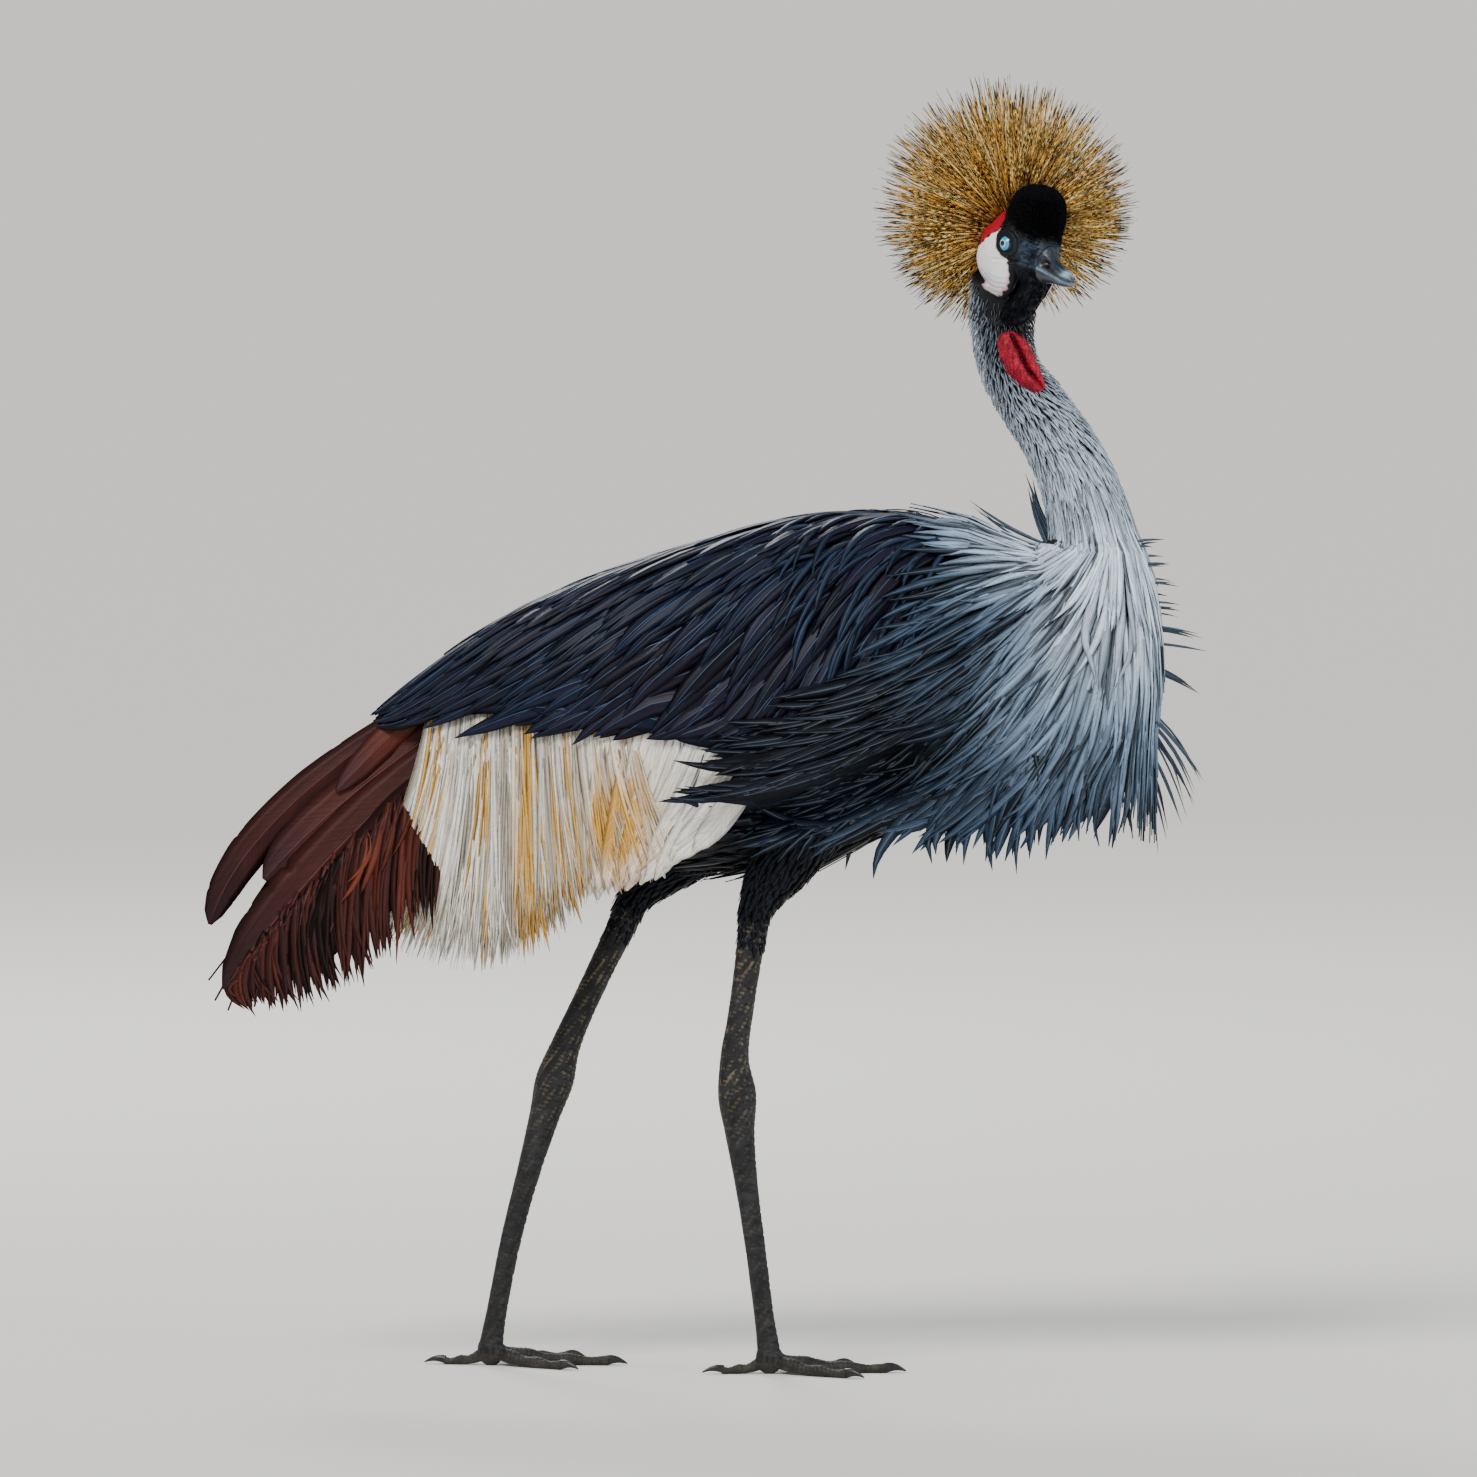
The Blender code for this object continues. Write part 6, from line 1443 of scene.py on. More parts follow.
# Skull and jaw in the head's own directions: forward, top, bottom, half width
HEAD = (
    (-0.0450, -0.0020, -0.0180, 0.0070),
    (-0.0410, 0.0080, -0.0260, 0.0158),
    (-0.0320, 0.0175, -0.0340, 0.0218),
    (-0.0200, 0.0235, -0.0385, 0.0238),
    (-0.0060, 0.0250, -0.0390, 0.0230),
    (0.0060, 0.0235, -0.0370, 0.0188),
    (0.0160, 0.0185, -0.0335, 0.0142),
    (0.0240, 0.0105, -0.0300, 0.0114),
    (0.0290, 0.0030, -0.0280, 0.0106),
)
# Bare cheek: forward, aside and up of its middle, then its half length, half thickness and half height
CHEEK = (
    (-0.0220, 0.0172, -0.0170, 0.0235, 0.0122, 0.0245),
    (-0.0105, 0.0160, -0.0292, 0.0190, 0.0098, 0.0208),
)
# Lappet that hangs from the cheek: forward, aside, up, half width
LAPPET = (
    (-0.0060, 0.0170, -0.0300, 0.0070),
    (-0.0055, 0.0180, -0.0380, 0.0080),
    (-0.0050, 0.0180, -0.0440, 0.0064),
    (-0.0045, 0.0178, -0.0485, 0.0030),
)
# Feathered throat from the jaw down to the neck: forward, up, radius
THROAT = (
    (0.0200, -0.0240, 0.0090),
    (0.0180, -0.0300, 0.0100),
    (0.0110, -0.0400, 0.0104),
    (0.0020, -0.0500, 0.0112),
    (-0.0070, -0.0600, 0.0116),
    (-0.0150, -0.0690, 0.0100),
    (-0.0200, -0.0740, 0.0070),
)
# Edge of the bare white cheek and of the red band over it: forward and up
WHITE_EDGE = (
    (-0.0120, 0.0062),
    (-0.0132, 0.0010),
    (-0.0106, -0.0056),
    (-0.0042, -0.0132),
    (0.0010, -0.0164),
    (0.0042, -0.0202),
    (0.0064, -0.0263),
    (0.0071, -0.0330),
    (0.0058, -0.0383),
    (0.0022, -0.0428),
    (-0.0014, -0.0458),
    (-0.0046, -0.0475),
    (-0.0084, -0.0481),
    (-0.0130, -0.0474),
    (-0.0172, -0.0450),
    (-0.0240, -0.0394),
    (-0.0308, -0.0342),
    (-0.0356, -0.0280),
    (-0.0362, -0.0205),
    (-0.0318, -0.0136),
    (-0.0253, -0.0078),
)
RED_EDGE = (
    (-0.0120, 0.0062),
    (-0.0122, 0.0130),
    (-0.0180, 0.0166),
    (-0.0256, 0.0180),
    (-0.0310, 0.0100),
    (-0.0350, 0.0010),
    (-0.0345, -0.0050),
    (-0.0318, -0.0136),
    (-0.0253, -0.0078),
)
# Line of the mouth: forward and up
MOUTH = ((-0.0090, -0.0190), (-0.0020, -0.0172), (0.0080, -0.0158), (0.0180, -0.0152), (0.0310, -0.0150))

# Eye: radius of the ball, its place from between the eyes, and its axis
EYE_RADIUS = 0.0080
EYE_PLACE = np.array((-0.0028, 0.0180, -0.0046))
EYE_AXIS = np.array((0.22, 0.97, 0.06))
# Lids: how far out along the axis their rim is, its half length and half height, and its thickness
LID = (0.0046, 0.0082, 0.0068, 0.0017)


def eye_frame(left):
    """The eye's middle, its axis, ahead across it and up across it, in the head's directions."""
    turned = np.array((1.0, left, 1.0))
    axis = unit(EYE_AXIS * turned)
    up = unit(UP - axis * (axis @ UP))
    ahead = np.cross(up, axis)
    return EYE_PLACE * turned, axis, ahead, up


def inside_distance(points, outline):
    """How far each point is inside a closed outline, less than 0 outside it."""
    rows = np.asarray(outline, float)
    after = np.roll(rows, -1, axis=0)
    best = np.full(len(points), 1e9)
    inside = np.zeros(len(points), bool)
    for a, b in zip(rows, after):
        edge = b - a
        share = np.clip(((points - a) @ edge) / (edge @ edge), 0, 1)
        best = np.minimum(best, np.linalg.norm(points - a - share[:, None] * edge, axis=1))
        over = (a[1] > points[:, 1]) != (b[1] > points[:, 1])
        cross = a[0] + (points[:, 1] - a[1]) / (b[1] - a[1] + 1e-12) * edge[0]
        inside ^= over & (points[:, 0] < cross)
    return np.where(inside, best, -best)


def line_distance(points, line):
    """How far each point is from an open line."""
    rows = np.asarray(line, float)
    best = np.full(len(points), 1e9)
    for a, b in zip(rows[:-1], rows[1:]):
        edge = b - a
        share = np.clip(((points - a) @ edge) / (edge @ edge), 0, 1)
        best = np.minimum(best, np.linalg.norm(points - a - share[:, None] * edge, axis=1))
    return best


def lid_ring(left, out, long, high, thick, upper):
    """A soft rim round the eye, thicker above by the share upper."""
    middle, axis, ahead, up = eye_frame(left)
    turn = np.arange(56) * 2 * math.pi / 56
    around = np.arange(12) * 2 * math.pi / 12
    points = []
    for a in turn:
        radial = ahead * long * math.cos(a) + up * high * math.sin(a)
        way = radial / np.linalg.norm(radial)
        size = thick * (1.0 + upper * math.sin(a))
        # The rim dips at the front corner, where the lids meet
        dip = -0.0006 * max(0.0, math.cos(a)) ** 6
        ring = np.outer(np.cos(around), way) + np.outer(np.sin(around), axis)
        points.append(middle + axis * (out + dip) + radial + ring * size)
    points = np.array(points)
    faces = []
    for r in range(56):
        for k in range(12):
            a, b = r * 12 + k, r * 12 + (k + 1) % 12
            faces.append((a, b, (b + 12) % 672, (a + 12) % 672))
    return points.reshape(-1, 3), faces


def skull():
    rings = []
    for forward in np.linspace(HEAD[0][0], HEAD[-1][0], 70):
        top, bottom, half = read(HEAD, forward)
        middle = bottom + HEAD_WIDEST * (top - bottom)
        rings.append(oval(np.array((forward, 0, middle)), LEFT, UP, half, top - middle, middle - bottom, 96))
    points, faces = loft(rings)
    # Sockets: the skin dips behind the eyes
    for left in (-1, 1):
        place, axis, ahead, up = eye_frame(left)
        away = points - place
        out = away @ axis
        reach = np.hypot(away @ ahead / 0.0078, away @ up / 0.0064)
        floor = 0.0030 + 0.0045 * ramp(reach, 0.80, 1.30)
        sunk = np.where(out > 0, np.minimum(0, floor - out), 0)
        points = points + sunk[:, None] * axis * (reach < 1.3)[:, None]
    return points, faces


def head_shape():
    """Skull, cheeks, lappets, lids and the top of the neck as one skin, in the head's own directions."""
    shapes = [skull()]
    for left in (-1, 1):
        for forward, aside, up, long, thick, high in CHEEK:
            points, faces = ball(40, 60)
            shapes.append((points * (long, thick, high) + (forward, left * aside, up), faces))
        rings = []
        for t in np.linspace(0, 1, 16):
            forward, aside, up, half = along(LAPPET, t)
            middle = np.array((forward, left * aside, up))
            rings.append(oval(middle, AHEAD, LEFT, half, 0.45 * half, 0.45 * half, 28))
        shapes.append(loft(rings))
        out, long, high, thick = LID
        shapes.append(lid_ring(left, out, long, high, thick, 0.12))
        shapes.append(lid_ring(left, out - 0.0004, long + 0.0030, high + 0.0026, 0.0013, 0.35))
    shapes.append(loft([
        oval(np.array((forward, 0.0, up)), AHEAD, LEFT, size, size, size, 40)
        for forward, up, size in (along(THROAT, t) for t in np.linspace(0, 1, 20))
    ]))
    nape = tube(NECK, NECK_FLAT, 0.0, 0.11, -0.0006, 96, 40)
    shapes.append((in_head(nape[0]), nape[1]))
    points, faces = grown_together(shapes, HEAD_GRAIN, 2)
    return wrinkled(points, faces), faces


def cheek_creases(points):
    """Curved creases across the lower cheek that follow its hanging edge, 1 at the bottom of each."""
    low = ramp(-points[:, 2], 0.027, 0.036)
    bend = np.hypot((points[:, 0] + 0.006) * 0.8, points[:, 2] + 0.012) + 0.0008 * ripple(points, 0.014, 3)
    return ramp(np.cos(2 * math.pi * bend / 0.0040), 0.35, 1.0) * low


def wrinkled(points, faces):
    """Folds of the bare skin, the mouth's groove and the soft ridges before the eye."""
    normals = normals_of((points, faces))
    flat = points[:, [0, 2]]
    beside = np.abs(points[:, 1]) > 0.006
    move = np.zeros(len(points))
    mouth = line_distance(flat, MOUTH)
    move -= 0.0011 * np.exp(-((mouth / 0.0008) ** 2)) * beside
    move += 0.0004 * np.exp(-(((mouth - 0.0021) / 0.0010) ** 2)) * beside
    white = inside_distance(flat, WHITE_EDGE)
    on_cheek = ramp(white, -0.001, 0.003) * beside
    # Lower cheek and lappet: level folds that follow its front edge
    move -= 0.00045 * cheek_creases(points) * on_cheek
    move += 0.00005 * ripple(points, 0.0030, 4) * on_cheek
    # Fine creases that run back from the eye
    place = points - EYE_PLACE * (1, 0, 1)
    turn = np.arctan2(place[:, 2], -place[:, 0])
    spokes = np.sin(turn * 16 + 1.5 * ripple(points, 0.010, 6))
    away = np.hypot(place[:, 0], place[:, 2])
    move += 0.00016 * spokes * np.exp(-(((away - 0.0150) / 0.0045) ** 2)) * beside
    # Step down from the feathers to the bare cheek at its front edge
    move -= 0.0005 * np.exp(-(((white - 0.0004) / 0.0009) ** 2)) * beside * ramp(points[:, 0], -0.014, -0.006)
    # Red band: fine warts
    red = ramp(inside_distance(flat, RED_EDGE), 0.0, 0.002) * beside
    move += 0.00026 * ripple(points, 0.0021, 9) * red
    # Low ridges along the face before the eye
    fore = ramp(points[:, 0], 0.008, 0.014)
    move += 0.00018 * np.sin(2 * math.pi * (points[:, 2] + 0.12 * points[:, 0]) / 0.0026) * fore * beside
    return points + normals * move[:, None]


def lore(points):
    """Share of blue-grey on the feathered face between the eye, the bill and the mouth."""
    side = np.abs(points[:, 1])
    ahead = ramp(points[:, 0] + 0.002 * ripple(points, 0.006, 72), 0.004, 0.016)
    low = ramp(points[:, 2], -0.0200, -0.0150)
    high = 1.0 - ramp(points[:, 2], 0.0000, 0.0070)
    patches = 0.55 + 0.50 * ripple(points, 0.0038, 71)
    return np.clip(ahead * low * high * ramp(side, 0.0020, 0.0060) * patches, 0, 1)


def inner_edge(up):
    """How far aside the bare skin starts: low on the head only the cheek's outer face is bare."""
    return 0.006 + 0.005 * ramp(-up, 0.020, 0.030)


def head_tint(look, points):
    """White cheek with a pink rim, red band, and black for the rest, at points in the head's directions."""
    flat = points[:, [0, 2]]
    wave = 0.0007 * ripple(points, 0.006, 12)
    side = np.abs(points[:, 1])
    # Round the back and the throat the bare skin ends
    inner = inner_edge(points[:, 2])
    beside = ramp(side, inner, inner + 0.0035)
    white = ramp(inside_distance(flat, WHITE_EDGE) + wave, -0.0003, 0.0009) * beside
    red = ramp(inside_distance(flat, RED_EDGE) + wave, -0.0003, 0.0010) * beside
    tint = np.broadcast_to(look.face_black, points.shape)
    tint = mix(tint, look.face_gleam, 0.6 * lore(points))
    tint = mix(tint, look.cheek_red, red)
    # The cheek's lower part is greyed towards cheek_shade: painted shade under the hanging cheek; the ripple
    # adds cooler patches all over
    low = ramp(-points[:, 2], 0.026, 0.038)
    cheek = mix(look.cheek_white, look.cheek_shade, 0.60 * low + 0.10 * ripple(points, 0.009, 15))
    # Its creases are darkened with painted shade
    cheek = mix(cheek, look.cheek_crease_shade, 0.55 * cheek_creases(points))
    rim = 1.0 - ramp(inside_distance(flat, WHITE_EDGE), 0.0005, 0.0022)
    cheek = mix(cheek, look.cheek_pink, 0.65 * rim * ramp(-points[:, 2], 0.018, 0.034))
    tint = mix(tint, cheek, white)
    # Lids stay black
    for left in (-1, 1):
        place, axis, ahead, up = eye_frame(left)
        away = points - place
        near = np.hypot(away @ ahead / 0.0100, away @ up / 0.0096)
        lid = (1 - ramp(near, 0.90, 1.02)) * ((away @ axis) > 0)
        tint = mix(tint, look.lid_black, lid)
    return tint


def bare_share(points):
    """How far inside the bare white or red skin each point is, in metres, less than 0 outside."""
    spot = in_head(points)
    flat = spot[:, [0, 2]]
    best = np.maximum(inside_distance(flat, WHITE_EDGE), inside_distance(flat, RED_EDGE))
    return np.where(np.abs(spot[:, 1]) > inner_edge(spot[:, 2]) + 0.001, best, -1.0)


def skin(look):
    """One skin under all the feathers: bare on the face, downy and dark elsewhere."""
    body = [torso_core(-0.0045), tube(NECK, NECK_FLAT, 0.02, 0.95, -0.0050, 36, 60), mantle(-0.0060)]
    body += [tube(table, LEG_FLAT, 0.0, THIGH_END + 0.02, -0.0030, 24, 30) for _, _, table in LEGS]
    body_points, body_faces = grown_together(body, BODY_GRAIN, 4)
    head_points, head_faces = head_shape()
    obj = solid("skin", merged([(on_head(head_points), head_faces), (body_points, body_faces)]))
    downy = np.broadcast_to(look.black, body_points.shape)
    painted(obj, np.concatenate([head_tint(look, head_points), downy]))
    return finished(obj, "skin",
                    ["head", "neck_upper", "neck_lower", "torso", "thigh_right", "thigh_left"])


def eye(look, left, name, replaced):
    """A ball with a bulged clear front, black pupil and pale blue iris with a darker ring."""
    points, faces = ball(96, 96)
    away = np.degrees(np.arccos(np.clip(points[:, 0], -1, 1)))
    turn = np.arctan2(points[:, 2], points[:, 1])
    # The cornea stands out over the iris
    bulge = 1.0 + 0.045 * (1 - ramp(away, 14.0, 42.0))
    radius = EYE_RADIUS * np.sin(np.radians(away)) * 1000
    fibres = np.sin(turn * 46 + 2.0 * np.sin(turn * 7)) * 0.5 + np.sin(turn * 83) * 0.5
    iris = mix(look.iris, look.iris_ring, 0.30 * ramp(fibres, -0.2, 1.0))
    iris = mix(iris, look.iris_pale,
               0.75 * (1 - ramp(radius, look.pupil_radius + 0.2, look.iris_radius * 0.62)))
    ring = np.exp(-(((radius - look.iris_radius * 0.72) / 0.36) ** 2))
    iris = mix(iris, look.iris_ring, 0.70 * ring)
    iris = mix(iris, look.iris_ring * 0.3, ramp(radius, look.iris_radius - 0.5, look.iris_radius))
    pupil = look.pupil_radius
    tint = mix(np.broadcast_to((0.004, 0.004, 0.006), points.shape), iris,
               ramp(radius, pupil - 0.12, pupil + 0.16))
    tint = mix(tint, np.array((0.012, 0.012, 0.016)), ramp(radius, look.iris_radius, look.iris_radius + 0.3))
    tint = np.where((away > 90)[:, None], 0.01, tint)
    place, axis, ahead, up = eye_frame(left)
    shaped = points * bulge[:, None] * EYE_RADIUS
    turned = place + shaped @ np.array([axis, ahead, up])
    obj = solid(name, (on_head(turned), faces))
    painted(obj, tint)
    return finished(obj, "eye", replaced)


# Bill: forward, top, middle line, bottom, half width
BILL = (
    (0.0296, 0.0022, -0.0150, -0.0275, 0.0106),
    (0.0360, -0.0028, -0.0155, -0.0258, 0.0092),
    (0.0440, -0.0062, -0.0162, -0.0242, 0.0078),
    (0.0540, -0.0080, -0.0168, -0.0234, 0.0068),
    (0.0630, -0.0102, -0.0174, -0.0219, 0.0055),
    (0.0695, -0.0138, -0.0180, -0.0197, 0.0026),
)
# Nostril slit: its middle forward and up, then its half length and half height
NOSTRIL = (0.0368, -0.0104, 0.0046, 0.0026)


def bill_half(look, upper, name, replaced):
    """One half of the bill: a rounded ridge above, sharp edges that meet, and a long nostril pit."""
    rings = []
    for forward in np.linspace(BILL[0][0], BILL[-1][0], 90):
        top, middle, bottom, half = read(BILL, forward)
        tip = ramp(forward, 0.0685, 0.0695)
        low, high = (middle + 0.0001, top) if upper else (bottom, middle - 0.0001)
        turn = np.linspace(0, math.pi, 49)
        c, s = np.cos(turn), np.sin(turn)
        # The sides are flatter and the ridge narrower than an oval
        aside = half * np.sign(c) * np.abs(c) ** 1.15 * (1 - 0.25 * tip)
        rise = (high - low) * s**0.90
        up = low + rise if upper else high - rise
        rings.append(np.stack([np.full(49, forward), aside, up], -1))
    points, faces = loft(rings)
    forward, aside, up = points.T
    if upper:
        mid_f, mid_u, long, high = NOSTRIL
        line = mid_u - 0.22 * (forward - mid_f)
        pit = np.exp(-(((forward - mid_f) / long) ** 4) - ((up - line) / high) ** 2)
        hollow = np.exp(-(((forward - mid_f - 0.004) / (2.1 * long)) ** 4)
                        - ((up - line) / (1.9 * high)) ** 2)
        points[:, 1] -= np.sign(aside) * np.minimum(np.abs(aside), 0.0046 * pit + 0.0008 * hollow)
    lines = ripple(np.stack([forward * 0.12, up + 0.15 * forward, aside], -1), 0.0022, 21)
    points[:, 1] += np.sign(aside) * 0.00010 * lines * (np.abs(aside) > 0.001)
    obj = solid(name, (on_head(points), faces))
    worn = np.clip(0.5 + 0.5 * lines, 0, 1) * (0.4 + 0.6 * ramp(forward, 0.040, 0.066))
    tint = mix(look.bill_dark, look.bill_pale, 0.40 * worn)
    if upper:
        # Pale blue on the nail: a painted highlight
        nail = np.exp(-(((forward - 0.0635) / 0.0040) ** 2)) * ramp(up, -0.0150, -0.0125)
        tint = mix(tint, look.bill_gleam, 0.65 * nail)
        # The nostril pit is painted black: painted shade in its hollow
        tint = mix(tint, np.array((0.001, 0.001, 0.0015)), ramp(pit, 0.15, 0.50))
    # Pale blue along the edge where the halves meet: a painted highlight
    edge = np.exp(-(((up - read(BILL, forward)[1]) / 0.0009) ** 2))
    tint = mix(tint, look.bill_gleam, 0.45 * edge)
    painted(obj, tint)
    return finished(obj, "horn", replaced)


# Velvet cap on the forehead: up, forward of its middle, half length, half width
CAP = (
    (0.0060, 0.0005, 0.0255, 0.0170),
    (0.0140, 0.0005, 0.0262, 0.0190),
    (0.0220, 0.0007, 0.0260, 0.0193),
    (0.0300, 0.0012, 0.0235, 0.0180),
    (0.0360, 0.0020, 0.0190, 0.0148),
    (0.0400, 0.0026, 0.0125, 0.0100),
    (0.0420, 0.0030, 0.0050, 0.0040),
)
CAP_FOOT, CAP_TOP = CAP[0][0], CAP[-1][0]


def cap_place(up, turn, out):
    """A place over the cap at a height and a turn in degrees from the front, and its outward direction."""
    def at(height):
        middle, length, half = read(CAP, height)
        c, s = np.cos(np.radians(turn)), np.sin(np.radians(turn))
        return np.stack([middle + length * c, half * s, height + 0 * c], -1)

    here = at(up)
    rise = at(np.minimum(up + 0.0008, CAP_TOP)) - at(np.maximum(up - 0.0008, CAP_FOOT))
    middle, length, half = read(CAP, up)
    around = np.stack([-length * np.sin(np.radians(turn)), half * np.cos(np.radians(turn)), 0 * turn], -1)
    away = unit(np.cross(around, rise))
    return here + away * np.asarray(out)[..., None], away


def cap_base(look):
    rings = []
    for up in np.linspace(CAP_FOOT, CAP_TOP, 40):
        middle, length, half = read(CAP, up)
        long, wide = length - 0.0016, half - 0.0016
        rings.append(oval(np.array((middle, 0, up)), LEFT, AHEAD, wide, long, long, 72))
    points, faces = loft(rings)
    points[:, 2] -= 0.0012
    points = points + normals_of((points, faces)) * (0.0005 * ripple(points, 0.007, 31))[:, None]
    obj = solid("cap_down", (on_head(points), faces))
    painted(obj, np.broadcast_to(look.face_black, points.shape))
    return finished(obj, "velvet")


def cap_plush(look, size):
    """Short upright plush that covers the forehead, in soft clumps."""
    coat = Coat(SEED + 12)
    rng, m = coat.rng, 3
    n = size.plush_count
    # More of them where the cap is wide
    up = 0.0060 + 0.0358 * rng.uniform(0, 1, n) ** 0.85
    turn = rng.uniform(0, 360, n)
    up = np.where(rng.uniform(size=n) < 0.22, rng.uniform(0.034, 0.0419, n), up)
    root, away = cap_place(up, turn, -0.0022 + 0 * up)
    # In front it comes down over the forehead to the bill
    front = ramp(np.cos(np.radians(turn)), 0.25, 0.95) * (1 - ramp(up, 0.006, 0.013))
    root = root + (AHEAD * 0.0012 - UP * 0.0055) * front[:, None]
    clump = ripple(root, 0.006, 33)
    length = rng.uniform(0.0034, 0.0046, n) * (1.0 + 0.10 * clump)
    f = np.linspace(0, 1, m)
    lean = unit(away + np.array((-0.35, 0, 0.25)) * (0.5 + 0.2 * clump)[:, None]
                + rng.normal(0, 0.16, (n, 3)))
    middles = root[:, None] + lean[:, None] * (length[:, None] * f)[..., None]
    tint = np.broadcast_to(look.cap_black, (n, m, 3)) * rng.uniform(0.4, 1.8, (n, 1, 1))
    # The roots are darker and the tips lighter: painted shade deep in the plush
    tint = tint * (0.5 + 0.9 * f)[None, :, None]
    width = rng.uniform(0.0006, 0.0010, n)[:, None] * np.array((1.0, 0.9, 0.25))
    outs = np.cross(lean, rng.normal(size=(n, 3)))[:, None] + 0 * middles
    roots = np.stack([(up - 0.006) / 0.036, turn / 360.0], -1)
    coat.add(on_head(middles), outs @ HEAD_FRAME.T, width, 0.0005, tint, roots, WIRE)
    return coat.make("cap_plush", "velvet", ["crown_cap"])


def face_feathers(look, size):
    """Tiny close black feathers on the face, the chin and the nape."""
    coat = Coat(SEED + 14)
    rng, m = coat.rng, 3
    n = size.face_count
    f = np.linspace(0, 1, m)
    forward = rng.uniform(-0.043, 0.0285, n)
    turn = rng.uniform(0, 360, n)
    top, bottom, half = read(HEAD, forward)
    middle = bottom + HEAD_WIDEST * (top - bottom)
    c, s = np.cos(np.radians(turn)), np.sin(np.radians(turn))
    high = np.where(c > 0, top - middle, middle - bottom)
    place = np.stack([forward, half * s, middle + high * c], -1)
    bare = bare_share(on_head(place))
    eye_away = place - EYE_PLACE * np.stack([np.ones(n), np.sign(place[:, 1]), np.ones(n)], -1)
    keep = (bare < -0.0004) & (np.linalg.norm(eye_away / (1.15, 1.4, 1.0), axis=1) > 0.0112)
    # The mouth's groove stays open
    keep &= (line_distance(place[:, [0, 2]], MOUTH) > 0.0011) | (np.abs(place[:, 1]) < 0.006)
    place, c, s, half, high = place[keep], c[keep], s[keep], half[keep], high[keep]
    n = len(place)
    out = unit(np.stack([0.25 + 0 * c, s / half, c / high], -1) * (1, 0.02, 0.02))
    out[:, 0] = 0.25 * ramp(place[:, 0], 0.004, 0.028)
    out = unit(out)
    back = unit(np.stack([-1.0 + 0 * c, 0 * c, -0.35 + 0.2 * rng.normal(size=n)], -1))
    back = unit(back - out * dot(back, out))
    length = rng.uniform(0.0022, 0.0036, n)
    lift = np.interp(f, [0, 0.4, 1.0], [-0.0004, 0.0002, 0.0007])
    middles = place[:, None] + back[:, None] * (length[:, None] * f)[..., None]
    middles = middles + out[:, None] * lift[None, :, None]
    tint = np.broadcast_to(look.face_black, (n, m, 3)) * rng.uniform(0.4, 2.2, (n, 1, 1))
    gleam = lore(place)[:, None] * rng.uniform(0.35, 1.0, (n, 1))
    tint = mix(tint, look.face_gleam, gleam * (0.5 + 0.5 * f))
    width = coat.widths(0.0006, 0.0010, n, LANCE, m)
    roots = np.stack([(place[:, 0] + 0.045) / 0.08, (np.degrees(np.arctan2(s, c)) + 180) / 360], -1)
    outs = np.broadcast_to((out @ HEAD_FRAME.T)[:, None], middles.shape)
    coat.add(on_head(middles), outs, width, 0.0003, tint, roots, WIRE)
    # The throat under the bill
    n = 1500
    spot, turn = rng.uniform(0.05, 0.95, (n, 1)), rng.uniform(0, 2 * math.pi, (n, 1))
    away = np.stack([np.cos(turn), np.sin(turn), 0 * turn], -1)
    forward, up, radius = along(THROAT, spot + 0.085 * f)
    lift = np.interp(f, [0, 0.4, 1.0], [-0.0006, 0.0004, 0.0012])
    middles = np.stack([forward, 0 * forward, up], -1) + away * (radius + lift)[..., None]
    tint = np.broadcast_to(look.face_black, (n, m, 3)) * rng.uniform(0.4, 2.0, (n, 1, 1))
    width = rng.uniform(0.0008, 0.0013, (n, 1)) * shape_width(LANCE, m)
    roots = np.concatenate([spot, turn / (2 * math.pi)], axis=1)
    coat.add(on_head(middles), (away @ HEAD_FRAME.T) + 0 * middles, width, 0.0003, tint, roots, WIRE)
    return coat.make("face_feathers", "velvet")


# Crest: the middle of its root on the head, its axis, the root's radius and the sphere of its tips
CREST_ROOT = np.array((-0.0280, 0.0, -0.0005))
CREST_AXIS = np.array((-0.80, 0.0, 0.60))
CREST_PAD = 0.0270
CREST_MIDDLE = 0.028
CREST_RADIUS = 0.100
CREST_OPENING = 112.0


def crest_ways(n, rng):
    """Directions spread evenly over the crest's opening, the reach of the tips, and two directions across."""
    axis = unit(HEAD_FRAME @ CREST_AXIS)
    across = unit(np.cross(axis, (0.3, 0.8, 0.1)))
    other = np.cross(axis, across)
    low = math.cos(math.radians(CREST_OPENING))
    c = 1.0 - (1.0 - low) * (np.arange(n) + 0.5) / n
    s = np.sqrt(1.0 - c * c)
    turn = np.arange(n) * math.pi * (3.0 - math.sqrt(5.0)) + rng.uniform(-0.3, 0.3, n)
    way = axis * c[:, None] + (across * np.cos(turn)[:, None] + other * np.sin(turn)[:, None]) * s[:, None]
    way = unit(way + rng.normal(0, 0.035, (n, 3)))
    c = way @ axis
    reach = CREST_MIDDLE * c + np.sqrt(CREST_RADIUS**2 - CREST_MIDDLE**2 * (1.0 - c * c))
    return way, reach, c


def free_ways(way):
    """Which bristles grow behind the face: not out of the bare skin and not through the cap."""
    own = way @ HEAD_FRAME
    free = np.ones(len(way), bool)
    for distance in (0.0205, 0.0240):
        free &= bare_share(on_head(CREST_ROOT + own * distance)) < -0.0002
    for distance in (0.022, 0.030, 0.038, 0.046, 0.054):
        spot = CREST_ROOT + own * distance
        middle, long, half = read(CAP, spot[:, 2])
        inside = ((spot[:, 0] - middle) / long) ** 2 + (spot[:, 1] / half) ** 2 < 1.0
        free &= ~(inside & (spot[:, 2] < 0.0425) & (spot[:, 2] > 0.0))
    # The far side of the head hides where they grow there, and none stands out of the face
    free |= (own[:, 1] > 0.55) & (own[:, 0] < 0.62)
    return free & ~((own[:, 0] > 0.35) & (own[:, 2] < 0.55) & (own[:, 1] < 0.75))


def crest_map(way, c):
    """Places on the map for baking, by the turn round the head and the angle to the crest's axis."""
    spin = np.arctan2(way @ LEFT, way @ AHEAD)
    return np.stack([(spin + math.pi) / (2 * math.pi), (c + 0.3) / 1.3], -1)


